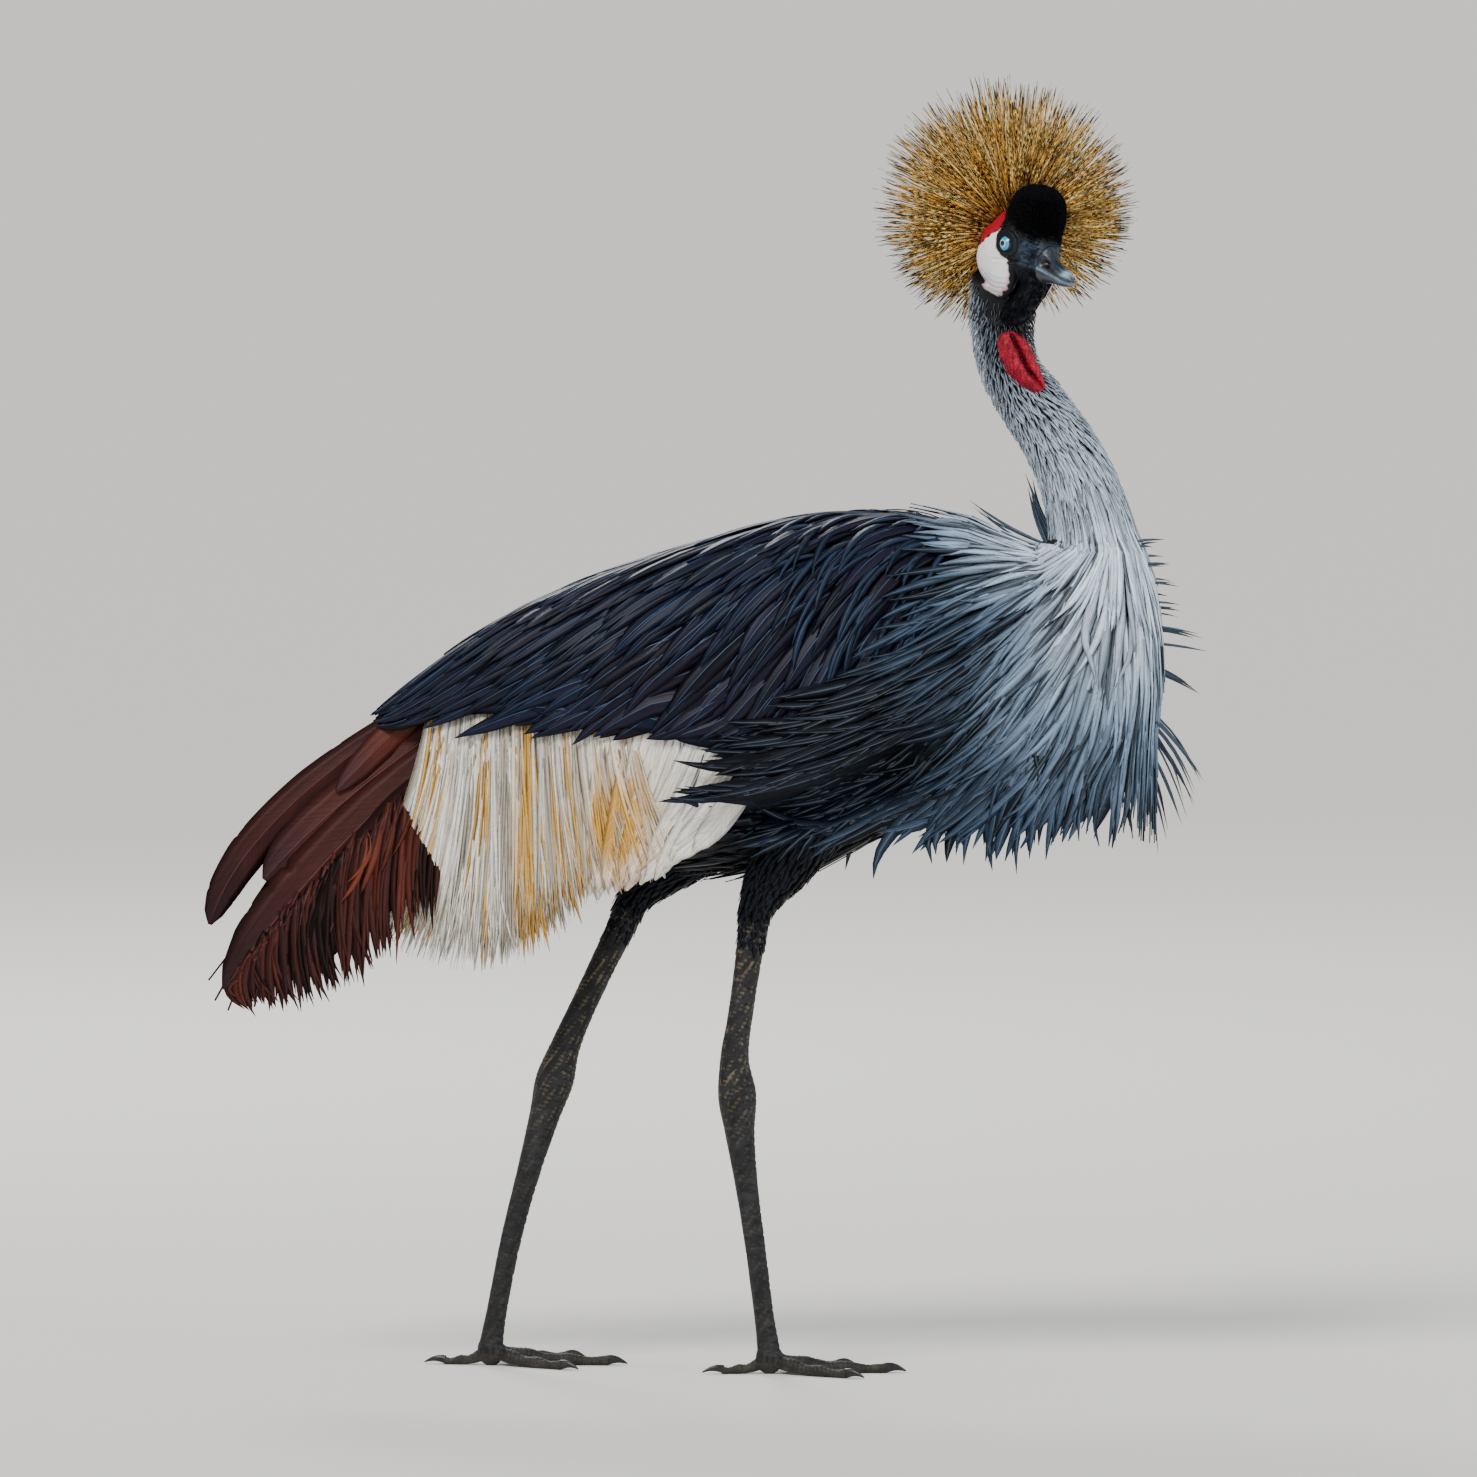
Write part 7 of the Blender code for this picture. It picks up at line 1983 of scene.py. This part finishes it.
def crest(look, name, count, thick, seed, short, replaced=()):
    """Stiff twisted bristles that stand out in a globe, gold with fine dashes of painted shade and black
    tips.
    """
    coat = Coat(seed)
    rng, m = coat.rng, 15
    way, reach, c = crest_ways(count, rng)
    free = free_ways(way)
    way, reach, c = way[free], reach[free], c[free]
    count = len(way)
    root = on_head(CREST_ROOT)
    reach = reach * rng.uniform(*short, count)
    f = np.linspace(0, 1, m)
    start = CREST_PAD - 0.0065
    distance = start + (reach[:, None] - start) * f
    bend = unit(np.cross(way, rng.normal(size=(count, 3)))) * rng.uniform(0.0, 0.065, (count, 1))
    middles = root + way[:, None] * distance[..., None]
    middles = middles + (bend * reach[:, None])[:, None] * (f**2)[None, :, None]
    middles = middles - UP * (rng.uniform(0.0, 0.05, (count, 1)) * reach[:, None] * f**2)[..., None]
    # Loose ones wave
    wave = unit(np.cross(way, (0.2, 0.5, 0.7)))
    ranges = ((0.0, 0.0014), (5, 11), (0, 6))
    height, pace, phase = (rng.uniform(low, high, (count, 1)) for low, high in ranges)
    swing = height * np.sin(pace * f + phase)
    middles = middles + wave[:, None] * (swing * f)[..., None]
    outs = np.broadcast_to(unit(np.cross(way, (0.1, 0.2, 0.9)))[:, None], middles.shape)
    twist = rng.uniform(0, 6.28, (count, 1)) + rng.uniform(18, 30, (count, 1)) * (distance - start) / 0.06
    gold = mix(look.crest_gold, look.crest_straw, rng.uniform(0, 1, count))[:, None]
    deep = look.crest_rust
    tint = mix(deep, gold, 0.30 + 0.70 * ramp(f, 0.0, 0.5))
    tint = np.broadcast_to(tint, (count, m, 3)) * rng.uniform(0.80, 1.30, (count, 1, 1))
    # Pale glints where a flat side catches the light
    glint = ramp(np.sin(twist * 0.5), 0.80, 1.0) * ramp(f, 0.25, 0.7) * rng.uniform(0.0, 0.9, (count, 1))
    tint = mix(tint, look.crest_straw * 1.1, glint)
    # Each turn of the quill is painted dark where its edge turns from the light: painted shade
    edge = ramp(np.cos(twist * 0.5 + 1.0), 0.80, 0.98) * rng.uniform(0.0, 1.0, (count, 1))
    edge = edge * ramp(f, 0.40, 0.80)
    tint = mix(tint, look.crest_black, 0.70 * edge)
    end = (1.0 - f) * (reach[:, None] - start)
    dark = rng.uniform(0.003, 0.011, (count, 1))
    tip = 1.0 - ramp(end, dark, dark + 0.003)
    tint = mix(tint, look.crest_black, tip * (rng.uniform(size=(count, 1)) < 0.93))
    width = thick * rng.uniform(0.75, 1.25, count)[:, None]
    width = width * np.interp(f, [0, 0.5, 0.9, 1.0], [0.8, 1.0, 0.8, 0.25])
    width = width * (0.72 + 0.28 * np.abs(np.cos(twist)))
    roots = crest_map(way, c)
    coat.add(middles, outs, width, 0.00032, tint, roots, WIRE, 0.0, 0.5 * twist)
    return coat.make(name, "bristle", replaced)


def crest_root(look):
    """The dense dark roots of the bristles on the back of the head."""
    coat = Coat(SEED + 17)
    rng, m = coat.rng, 5
    way, _, c = crest_ways(2600, rng)
    free = free_ways(way)
    way, c = way[free], c[free]
    count = len(way)
    root = on_head(CREST_ROOT)
    f = np.linspace(0, 1, m)
    distance = CREST_PAD - 0.0095 + rng.uniform(0.008, 0.019, (count, 1)) * f
    middles = root + way[:, None] * distance[..., None]
    middles = middles + rng.normal(0, 0.0012, (count, 1, 3)) * f[None, :, None]
    outs = np.broadcast_to(np.cross(way, (0.3, 0.1, 0.8))[:, None], middles.shape)
    tint = mix(look.crest_rust * 0.7, look.crest_black, rng.uniform(0, 1, count))[:, None]
    tint = np.broadcast_to(tint, (count, m, 3))
    width = coat.widths(0.0008, 0.0014, count, STRAND, m)
    roots = crest_map(way, c)
    coat.add(middles, outs, width, 0.0005, tint, roots)
    return coat.make("crest_roots", "bristle")


# Wattle on the throat: place on the neck from 0 to 1, how far its middle is aside, half width, how proud
WATTLE = (
    (0.128, -0.0034, 0.0030, 0.0015),
    (0.146, -0.0028, 0.0085, 0.0042),
    (0.172, -0.0018, 0.0112, 0.0064),
    (0.206, -0.0008, 0.0122, 0.0080),
    (0.244, 0.0002, 0.0120, 0.0090),
    (0.284, 0.0010, 0.0105, 0.0085),
    (0.322, 0.0018, 0.0078, 0.0070),
    (0.348, 0.0020, 0.0036, 0.0045),
)
# Rows of points down each fold
WATTLE_ROWS = 60


def throat(t):
    """A point of the neck's front that turns with the head, its outward and its sideways direction."""
    middle, forward, side, radius = limb_frame(NECK, t)
    turn = math.radians(HEAD_TURN + 12.0 - 10.0 * min(1.0, t / 0.2))
    out = forward * math.cos(turn) - side * math.sin(turn)
    across = side * math.cos(turn) + forward * math.sin(turn)
    return middle + out * radius * 0.95, out, across


def wattle(look):
    """Two soft red folds with a crease between them, darkened with painted shade, and covered in fine warts.
    """
    folds = []
    for fold in (-1, 1):
        rings = []
        for row in np.linspace(0, 1, WATTLE_ROWS):
            t, aside, half, proud = along(WATTLE, row)
            point, out, across = throat(t)
            pucker = 1.0 + 0.05 * math.sin(row * 34 + fold)
            point = point - out * 0.004 + across * (aside + fold * 0.50 * half)
            rings.append(oval(point, across, out, 0.56 * half * pucker, (proud + 0.004) * pucker, 0.004, 40))
        folds.append(loft(rings))
    points, faces = grown_together(folds, WATTLE_GRAIN, 3)
    normals = normals_of((points, faces))
    # The crease follows the line between the folds: how far aside of it each point is, and how far down
    rows = [along(WATTLE, row) for row in np.linspace(0, 1, WATTLE_ROWS)]
    places = [throat(row[0]) for row in rows]
    line = np.array([place[0] + place[2] * row[1] for place, row in zip(places, rows)])
    nearest = np.argmin(np.linalg.norm(points[:, None] - line[None], axis=2), axis=1)
    across = np.array([place[2] for place in places])[nearest]
    aside = np.abs(((points - line[nearest]) * across).sum(axis=1))
    down = nearest / (WATTLE_ROWS - 1.0)
    crease = np.exp(-((aside / 0.0013) ** 2)) * ramp(down, 0.03, 0.12) * (1 - ramp(down, 0.75, 0.95))
    warts = ripple(points, 0.0019, 41)
    wrinkles = np.sin(points[:, 2] / 0.00042 + 3.0 * ripple(points, 0.006, 43))
    move = 0.00020 * warts + 0.00008 * wrinkles - 0.0016 * crease
    obj = solid("wattle_skin", (points + normals * move[:, None], faces))
    streaks = ripple(points * (1.0, 1.0, 0.25), 0.0026, 44)
    tint = mix(look.wattle_red, look.wattle_pale, 0.30 + 0.30 * warts + 0.35 * streaks)
    # The crease is painted nearly black: painted shade between the folds
    tint = mix(tint, look.wattle_red * 0.12, crease)
    painted(obj, tint)
    return finished(obj, "red", ["wattle"])


# Toes: name, turn from straight ahead towards the outside, length, radius at the root
TOES = (
    ("inner", -34.0, 0.070, 0.0062),
    ("middle", -2.0, 0.094, 0.0066),
    ("outer", 32.0, 0.074, 0.0062),
    ("hind", 172.0, 0.040, 0.0052),
)
CLAW_LENGTH = 0.015


def toe_frame(left, angle):
    turn = math.radians(angle * left)
    ahead = np.array((math.cos(turn), math.sin(turn), 0.0))
    return ahead, np.array((-ahead[1], ahead[0], 0.0))


def leg_scales(look, left, table, name, replaced):
    """The bare leg and foot: broad plates down the front, small scales behind, pads under the toes."""
    shapes, x, y = [], table[-1][0], table[-1][1]
    foot = np.array((x, y, 0.0))
    shapes.append(tube(table, LEG_FLAT, BARE_START, 1.0, 0.0, 48, 260))
    # The joint from which the toes spread
    points, faces = ball(24, 32)
    shapes.append((points * (0.0108, 0.0098, 0.0125) + foot + UP * 0.0118, faces))
    for _, angle, length, radius in TOES:
        ahead, across = toe_frame(left, angle)
        rings = []
        for f in np.linspace(0, 1, 90):
            size = radius * (1 - 0.42 * f) * (1 + 0.10 * math.cos(6 * math.pi * f))
            middle = foot + ahead * (length * f - 0.002)
            middle[2] = size * 0.8 + 0.008 * (1 - f) ** 3
            turn = 2 * math.pi * (np.arange(28) + 0.5) / 28
            ring = middle + np.outer(np.cos(turn), across) * size + np.outer(np.sin(turn), UP) * size
            ring[:, 2] = np.maximum(ring[:, 2], 0.0002)
            rings.append(ring)
        shapes.append(loft(rings))
    points, faces = grown_together(shapes, LEG_GRAIN, 2)
    normals = normals_of((points, faces))
    # Place along the leg, and how far round from the front
    marks = np.linspace(BARE_START, 1.0, 200)
    middle, forward, side, _ = limb_frame(table, marks)
    nearest = np.argmin(np.linalg.norm(points[:, None] - middle[None], axis=2), axis=1)
    away = points - middle[nearest]
    front = (away * forward[nearest]).sum(1)
    aside = (away * side[nearest]).sum(1)
    turn = np.arctan2(aside, front)
    length = np.concatenate([[0], np.cumsum(np.linalg.norm(np.diff(middle, axis=0), axis=1))])[nearest]
    on_leg = points[:, 2] > 0.014
    plates = 0.5 + 0.5 * np.cos(2 * math.pi * (length / 0.0060 + 0.10 * np.cos(turn)))
    seam = ramp(plates, 0.80, 0.99) * ramp(np.cos(turn), 0.0, 0.5)
    bands = np.cos(2 * math.pi * length / 0.0034 + math.pi * np.round(turn * 3.2))
    cells = 0.5 + 0.5 * bands * np.cos(turn * 10)
    mesh_scale = ramp(cells, 0.72, 1.0) * (1 - ramp(np.cos(turn), 0.0, 0.5))
    # On a toe the plates cross its top
    toe_way = np.zeros(len(points))
    for _, angle, _, _ in TOES:
        ahead, across = toe_frame(left, angle)
        flat = points - foot
        near = (np.abs(flat @ across) < 0.009) & (flat @ ahead > 0.004)
        toe_way = np.where(near & ~on_leg, flat @ ahead, toe_way)
    bands = ramp(0.5 + 0.5 * np.cos(2 * math.pi * toe_way / 0.0036), 0.80, 0.99) * (normals[:, 2] > -0.2)
    groove = np.where(on_leg, np.maximum(seam, 0.75 * mesh_scale), bands)
    move = -0.00042 * groove + 0.00010 * ripple(points, 0.004, 52)
    points = points + normals * move[:, None]
    points[:, 2] = np.maximum(points[:, 2], 0.0)
    obj = solid(name, (points, faces))
    tint = mix(look.leg_black, look.leg_grey, np.clip(0.35 + 0.35 * ripple(points, 0.012, 55), 0, 1))
    tint = mix(tint, look.leg_black * 0.35, groove)
    worn = ramp(ripple(points, 0.0030, 57), 0.30, 0.85)
    worn = worn * (0.20 + 0.80 * ramp(points[:, 2], 0.16, 0.26)) * on_leg
    tint = mix(tint, look.leg_yellow, 0.45 * worn)
    dust = ramp(-points[:, 2], -0.016, -0.002)
    tint = mix(tint, look.leg_yellow, 0.07 * dust)
    painted(obj, tint)
    return finished(obj, "scale", replaced)


def claws(look, left, table, side):
    """Blunt curved claws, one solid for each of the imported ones."""
    x, y = table[-1][0], table[-1][1]
    made = []
    for name, angle, length, radius in TOES:
        ahead, across = toe_frame(left, angle)
        rings = []
        for f in np.linspace(0, 1, 24):
            size = radius * 0.56 * (1 - 0.86 * f**1.4)
            middle = np.array((x, y, 0.0)) + ahead * (length - 0.0045 + (CLAW_LENGTH + 0.0025) * f)
            middle[2] = 0.0036 - 0.0020 * f + 0.0020 * math.sin(math.pi * f)
            turn = 2 * math.pi * np.arange(20) / 20
            ring = middle + np.outer(np.cos(turn), across) * size * 0.9
            ring = ring + np.outer(np.sin(turn), UP) * size * 1.15
            ring[:, 2] = np.maximum(ring[:, 2], 0.0)
            rings.append(ring)
        points, faces = loft(rings)
        obj = solid(f"claw_{name}_{side}_horn", (points, faces))
        tint = mix(look.claw_black, look.leg_grey, 0.3 + 0.3 * ripple(points, 0.003, 61))
        painted(obj, tint)
        made.append(finished(obj, "claw", [f"claw_{name}_{side}"]))
    return made


# Camera: what it looks at, its height over the level in degrees, its distance, and the picture's width there
LOOK_AT = Vector((0.0230, 0.0, 0.4953))
CAMERA_TILT = 4.0
CAMERA_DISTANCE = 15.0
PICTURE_WIDTH = 1.152


def staged(name, data, place=(0.0, 0.0, 0.0), aim=None):
    """An object of the stage at its place, turned towards its aim if it has one."""
    obj = bpy.data.objects.new(name, data)
    obj.location = place
    if aim is not None:
        obj.rotation_euler = (Vector(aim) - Vector(place)).to_track_quat("-Z", "Y").to_euler()
    bpy.context.scene.collection.objects.link(obj)
    return obj


def soft_lamp(name, place, aim, width, power, colour):
    """A round lamp with a soft edge to its shadows, turned towards its aim."""
    data = bpy.data.lights.new(name, "AREA")
    data.shape, data.size = "DISK", width
    data.energy, data.color = power, colour
    staged(name, data, place, aim)


def stage(look, light):
    """Pale floor, soft light from above and in front, and the camera at the photo's angle."""
    scene = bpy.context.scene
    data = bpy.data.cameras.new("camera")
    tilt = math.radians(CAMERA_TILT)
    data.lens = data.sensor_width * CAMERA_DISTANCE / PICTURE_WIDTH
    data.clip_end = 400.0
    place = LOOK_AT + CAMERA_DISTANCE * Vector((0, -math.cos(tilt), math.sin(tilt)))
    scene.camera = staged("camera", data, place, LOOK_AT)
    # Matt studio paper: pale, even and without gloss
    settings = {"Base Color": (*look.floor[:3], 1.0), "Roughness": 0.95, "Specular IOR Level": 0.1}
    paper, _, _ = new_material("Matt studio paper", settings)
    turn = np.arange(128) * 2 * math.pi / 128
    rim = np.stack([80 * np.cos(turn), 80 * np.sin(turn), 0 * turn], -1)
    mesh = bpy.data.meshes.new("floor")
    mesh.from_pydata(rim.tolist(), [], [tuple(range(128))])
    mesh.materials.append(paper)
    staged("floor", mesh)
    world = bpy.data.worlds.new("studio")
    world.use_nodes = True
    sky = world.node_tree.nodes["Background"]
    sky.inputs[0].default_value = (*look.world[:3], 1.0)
    sky.inputs[1].default_value = light.sky
    scene.world = world
    # The main light is so wide and far that the whole floor is evenly lit
    sun = bpy.data.lights.new("key_light", "SUN")
    sun.energy, sun.angle, sun.color = light.key, math.radians(24.0), (1.0, 0.97, 0.93)
    staged("key_light", sun, aim=(1.7, 3.0, -3.6))
    soft_lamp("side_light", (3.6, -2.2, 1.8), (0.1, 0, 0.5), 1.8, light.side, (0.92, 0.96, 1.0))
    soft_lamp("back_light", (-1.0, 3.6, 3.0), (0, 0, 0.6), 1.4, light.back, (1.0, 1.0, 1.0))


def colour(name, description, code):
    return bpy.props.FloatVectorProperty(
        name=name, description=description, default=linear(code), size=3, min=0.0, max=1.0, subtype="COLOR"
    )


def length(name, description, default):
    return bpy.props.FloatProperty(
        name=name, description=description, default=default, min=0.0005, max=0.2, precision=4, unit="LENGTH"
    )


def number(name, description, default):
    return bpy.props.IntProperty(name=name, description=description, default=default, min=1)


class CraneSizes(bpy.types.PropertyGroup):
    neck_row: length("Neck row", "Distance between rows of neck feathers", 0.0052)
    neck_gap: length("Neck gap", "Distance between neck feathers in a row", 0.0030)
    plume_row: length("Ruff row", "Distance between rows of ruff plumes", 0.0125)
    plume_gap: length("Ruff gap", "Distance between ruff plumes in a row", 0.0064)
    shoulder_count: number("Shoulder feathers", "Narrow feathers over each shoulder", 55)
    strand_count: number("Gold strands", "White and gold strands on each side", 640)
    barb_count: number("Secondary barbs", "Loose barbs under the secondaries on each side", 90)
    crest_count: number("Crest bristles", "Stiff bristles that reach the crest's edge", 2200)
    crest_short_count: number("Short bristles", "Shorter bristles between them", 2100)
    plush_count: number("Cap plush", "Short plush feathers on the forehead", 11000)
    face_count: number("Face feathers", "Tiny feathers tried all over the head", 15000)


class CraneColours(bpy.types.PropertyGroup):
    black: colour("Black down", "Dark down and feathers at the top of the neck", "#15171c")
    neck_dark: colour("Upper neck", "Slate grey at the top of the neck", "#4e5b6a")
    neck_grey: colour("Neck", "Grey of the neck", "#a3b1c1")
    neck_silver: colour("Lower neck", "Silver at the foot of the neck", "#c6d4e3")
    ruff_grey: colour("Ruff", "Blue grey of the ruff's upper plumes", "#778ca4")
    ruff_slate: colour("Ruff slate", "Slate blue of the long plumes", "#28374a")
    flank_black: colour("Flank", "Nearly black plumes and belly feathers", "#0c111b")
    wing_slate: colour("Wing", "Blue black of the dark wing feathers", "#0a1224")
    wing_purple: colour("Wing gloss", "Purple brown gloss in the dark wing feathers", "#1a1422")
    panel_white: colour("White coverts", "White of the wing's coverts", "#f1efe8")
    panel_straw: colour("Straw plumes", "Gold of some of the loose hanging plumes", "#c99534")
    panel_shade: colour("Shaded plumes", "Grey of the plumes that lie in shade", "#a79f92")
    panel_gold: colour("Gold patch", "Golden patch low on the wing", "#cf9518")
    chestnut: colour("Secondaries", "Chestnut of the secondaries", "#3d1c19")
    rust: colour("Rust", "Rusty parts of the secondaries", "#5c2b1e")
    secondary_edge: colour("Secondary edge", "Purple black ends of the secondaries", "#15131f")
    tail_black: colour("Tail", "Black of the tail", "#17161d")
    crest_gold: colour("Crest", "Golden orange of the bristles", "#f0aa2c")
    crest_straw: colour("Crest straw", "Pale straw of the lighter bristles", "#ffe096")
    crest_rust: colour("Crest root", "Rusty brown at the roots of the bristles", "#b06a18")
    # Crest tips: the bristles' black tips and roots, and also the painted shade of their dashes
    crest_black: colour("Crest tips", "Black dashes and tips of the bristles", "#16120e")
    cap_black: colour("Cap", "Black plush of the forehead", "#0b0b0e")
    face_black: colour("Face", "Blue black of the feathered face", "#101319")
    face_gleam: colour("Face gleam", "Blue gleam before the eye", "#4a5f75")
    lid_black: colour("Lids", "Black skin of the lids", "#0c0e12")
    cheek_white: colour("Cheek", "White of the bare cheek", "#f2f0f2")
    # Cheek shade greys the lower cheek as painted shade, and also gives the cheek's cooler patches
    cheek_shade: colour("Cheek shade", "Cooler patches of the bare cheek", "#c3bfcf")
    # Painted shade in the cheek's creases
    cheek_crease_shade: colour("Cheek creases", "Lilac grey in the creases of the cheek", "#8d8496")
    cheek_pink: colour("Cheek rim", "Pink of the cheek's lower rim", "#c97f80")
    cheek_red: colour("Red band", "Red band over the cheek", "#a51226")
    wattle_red: colour("Wattle", "Red of the throat wattle", "#850a20")
    wattle_pale: colour("Wattle warts", "Paler red on the wattle's warts", "#bd2340")
    iris: colour("Iris", "Bright blue of the eye", "#37b2e8")
    iris_pale: colour("Inner iris", "Pale blue round the pupil", "#c9ecfa")
    iris_ring: colour("Iris ring", "Darker ring in the iris", "#1c5f86")
    bill_dark: colour("Bill", "Dark horn of the bill", "#15191f")
    bill_pale: colour("Bill gleam", "Worn paler horn of the bill", "#5f7891")
    # Bill edge is the colour of a painted highlight on the nail and the edges
    bill_gleam: colour("Bill edge", "Pale blue of the bill's polished edges", "#a9cbe2")
    leg_black: colour("Legs", "Black of the leg scales", "#0f1013")
    leg_grey: colour("Leg grey", "Grey worn plates of the legs", "#2f2f33")
    leg_yellow: colour("Leg flecks", "Yellowish flecks and dust on the legs", "#8c7c58")
    claw_black: colour("Claws", "Black horn of the claws", "#141416")
    floor: colour("Floor", "Studio floor", "#e4e3df")
    world: colour("Surroundings", "Light from all round", "#f2f3f4")
    iris_radius: bpy.props.FloatProperty(name="Iris", description="Radius of the iris in millimetres",
                                         default=5.5)
    pupil_radius: bpy.props.FloatProperty(name="Pupil", description="Radius of the pupil in millimetres",
                                          default=2.1)


class CraneLight(bpy.types.PropertyGroup):
    key: bpy.props.FloatProperty(name="Key", description="Strength of the light from above in front",
                                 default=2.7)
    side: bpy.props.FloatProperty(name="Side", description="Power of the lamp by the head in watts",
                                  default=60.0)
    back: bpy.props.FloatProperty(name="Back", description="Power of the lamp behind in watts", default=90.0)
    sky: bpy.props.FloatProperty(name="Surroundings", description="Strength of the light all round",
                                 default=0.60)


# Side names, and their sign along the direction to the left
SIDES = (("right", -1), ("left", 1))


def chosen(context):
    """The panel's colours and eye sizes as numbers by their names, and its feather sizes."""
    look = context.scene.crane_look
    values = {name: np.array(getattr(look, name)) for name in CraneColours.__annotations__}
    return SimpleNamespace(**values), context.scene.crane_size


class CRANE_OT_skin(bpy.types.Operator):
    """One skin under all the feathers, bare on the face"""

    bl_idname = "crane.skin"
    bl_label = "Skin"

    def execute(self, context):
        skin(chosen(context)[0])
        return {"FINISHED"}


class CRANE_OT_neck(bpy.types.Operator):
    """Hair-like feathers of the neck"""

    bl_idname = "crane.neck"
    bl_label = "Neck feathers"

    def execute(self, context):
        look, size = chosen(context)
        neck_feathers(look, size, "neck_feathers_upper", 0.0, 0.36, SEED + 1)
        neck_feathers(look, size, "neck_feathers_lower", 0.36, RUFF_SHARE - 0.02, SEED + 2)
        return {"FINISHED"}


class CRANE_OT_ruff(bpy.types.Operator):
    """Long plumes that radiate from the foot of the neck over the breast and flanks"""

    bl_idname = "crane.ruff"
    bl_label = "Ruff"

    def execute(self, context):
        look, size = chosen(context)
        for side, left in SIDES:
            ruff_plumes(look, size, left, f"ruff_{side}")
        stray_plumes(look)
        return {"FINISHED"}


class CRANE_OT_wings(bpy.types.Operator):
    """Close dark feathers of both folded wings"""

    bl_idname = "crane.wings"
    bl_label = "Dark wings"

    def execute(self, context):
        look, size = chosen(context)
        for side, left in SIDES:
            wing_base(look, left, f"wing_down_{side}")
            wing_feathers(look, size, left, f"wing_feathers_{side}", [f"wing_{side}"])
        return {"FINISHED"}


class CRANE_OT_gold(bpy.types.Operator):
    """White coverts and the loose white and gold plumes under the dark wings"""

    bl_idname = "crane.gold"
    bl_label = "White and gold plumes"

    def execute(self, context):
        look, size = chosen(context)
        for side, left in SIDES:
            gold_feathers(look, size, left, f"gold_feathers_{side}", [f"wing_gold_{side}"])
        return {"FINISHED"}


class CRANE_OT_secondaries(bpy.types.Operator):
    """Broad chestnut secondaries and their loose barbs"""

    bl_idname = "crane.secondaries"
    bl_label = "Secondaries"

    def execute(self, context):
        look, size = chosen(context)
        for side, left in SIDES:
            secondary_feathers(look, size, left, f"secondary_feathers_{side}", [f"secondaries_{side}"])
        return {"FINISHED"}


class CRANE_OT_body(bpy.types.Operator):
    """Black feathers of the belly, rump, thighs and tail"""

    bl_idname = "crane.body"
    bl_label = "Body, thigh and tail feathers"

    def execute(self, context):
        look, _ = chosen(context)
        body_feathers(look)
        thigh_feathers(look)
        tail_feathers(look)
        return {"FINISHED"}


class CRANE_OT_crest(bpy.types.Operator):
    """Globe of stiff golden bristles behind the head"""

    bl_idname = "crane.crest"
    bl_label = "Crest"

    def execute(self, context):
        look, size = chosen(context)
        crest(look, "crest_bristles", size.crest_count, 0.00175, SEED + 15, (0.88, 1.05), ["crest"])
        crest(look, "crest_bristles_short", size.crest_short_count, 0.00170, SEED + 16, (0.66, 0.99))
        crest_root(look)
        return {"FINISHED"}


class CRANE_OT_cap(bpy.types.Operator):
    """Black plush on the forehead and tiny black feathers on the face"""

    bl_idname = "crane.cap"
    bl_label = "Velvet cap and face feathers"

    def execute(self, context):
        look, size = chosen(context)
        cap_base(look)
        cap_plush(look, size)
        face_feathers(look, size)
        return {"FINISHED"}


class CRANE_OT_face(bpy.types.Operator):
    """Both halves of the bill, both eyes and the wattle"""

    bl_idname = "crane.face"
    bl_label = "Bill, eyes and wattle"

    def execute(self, context):
        look, _ = chosen(context)
        bill_half(look, True, "bill_upper_horn", ["bill_upper"])
        bill_half(look, False, "bill_lower_horn", ["bill_lower"])
        for side, left in SIDES:
            eye(look, left, f"eyeball_{side}", [f"eye_{side}"])
        wattle(look)
        return {"FINISHED"}


class CRANE_OT_legs(bpy.types.Operator):
    """Scaly legs and feet with their claws"""

    bl_idname = "crane.legs"
    bl_label = "Legs and claws"

    def execute(self, context):
        look, _ = chosen(context)
        for side, left, table in LEGS:
            leg_scales(look, left, table, f"leg_{side}", [f"shank_{side}", f"tarsus_{side}", f"foot_{side}"])
            claws(look, left, table, side)
        return {"FINISHED"}


class CRANE_OT_stage(bpy.types.Operator):
    """Pale floor, soft lamps and the camera"""

    bl_idname = "crane.stage"
    bl_label = "Stage"

    def execute(self, context):
        stage(chosen(context)[0], context.scene.crane_light)
        return {"FINISHED"}


STEPS = (
    CRANE_OT_skin,
    CRANE_OT_neck,
    CRANE_OT_ruff,
    CRANE_OT_wings,
    CRANE_OT_gold,
    CRANE_OT_secondaries,
    CRANE_OT_body,
    CRANE_OT_crest,
    CRANE_OT_cap,
    CRANE_OT_face,
    CRANE_OT_legs,
    CRANE_OT_stage,
)


class CRANE_PT_panel(bpy.types.Panel):
    """The steps of the crane and its sizes and colours"""

    bl_idname = "CRANE_PT_panel"
    bl_label = "Grey crowned crane"
    bl_space_type = "VIEW_3D"
    bl_region_type = "UI"
    bl_category = "Crane"

    def draw(self, context):
        for step in STEPS:
            self.layout.operator(step.bl_idname)
        for group in (context.scene.crane_size, context.scene.crane_look, context.scene.crane_light):
            box = self.layout.box()
            for name in group.__annotations__:
                box.prop(group, name)


CLASSES = (CraneSizes, CraneColours, CraneLight, *STEPS, CRANE_PT_panel)


def register():
    for item in CLASSES:
        bpy.utils.register_class(item)
    bpy.types.Scene.crane_size = bpy.props.PointerProperty(type=CraneSizes)
    bpy.types.Scene.crane_look = bpy.props.PointerProperty(type=CraneColours)
    bpy.types.Scene.crane_light = bpy.props.PointerProperty(type=CraneLight)


def unregister():
    del bpy.types.Scene.crane_light
    del bpy.types.Scene.crane_look
    del bpy.types.Scene.crane_size
    for item in reversed(CLASSES):
        bpy.utils.unregister_class(item)


def main():
    register()
    for step in STEPS:
        getattr(bpy.ops.crane, step.bl_idname.split(".")[1])()


if __name__ == "__main__":
    main()
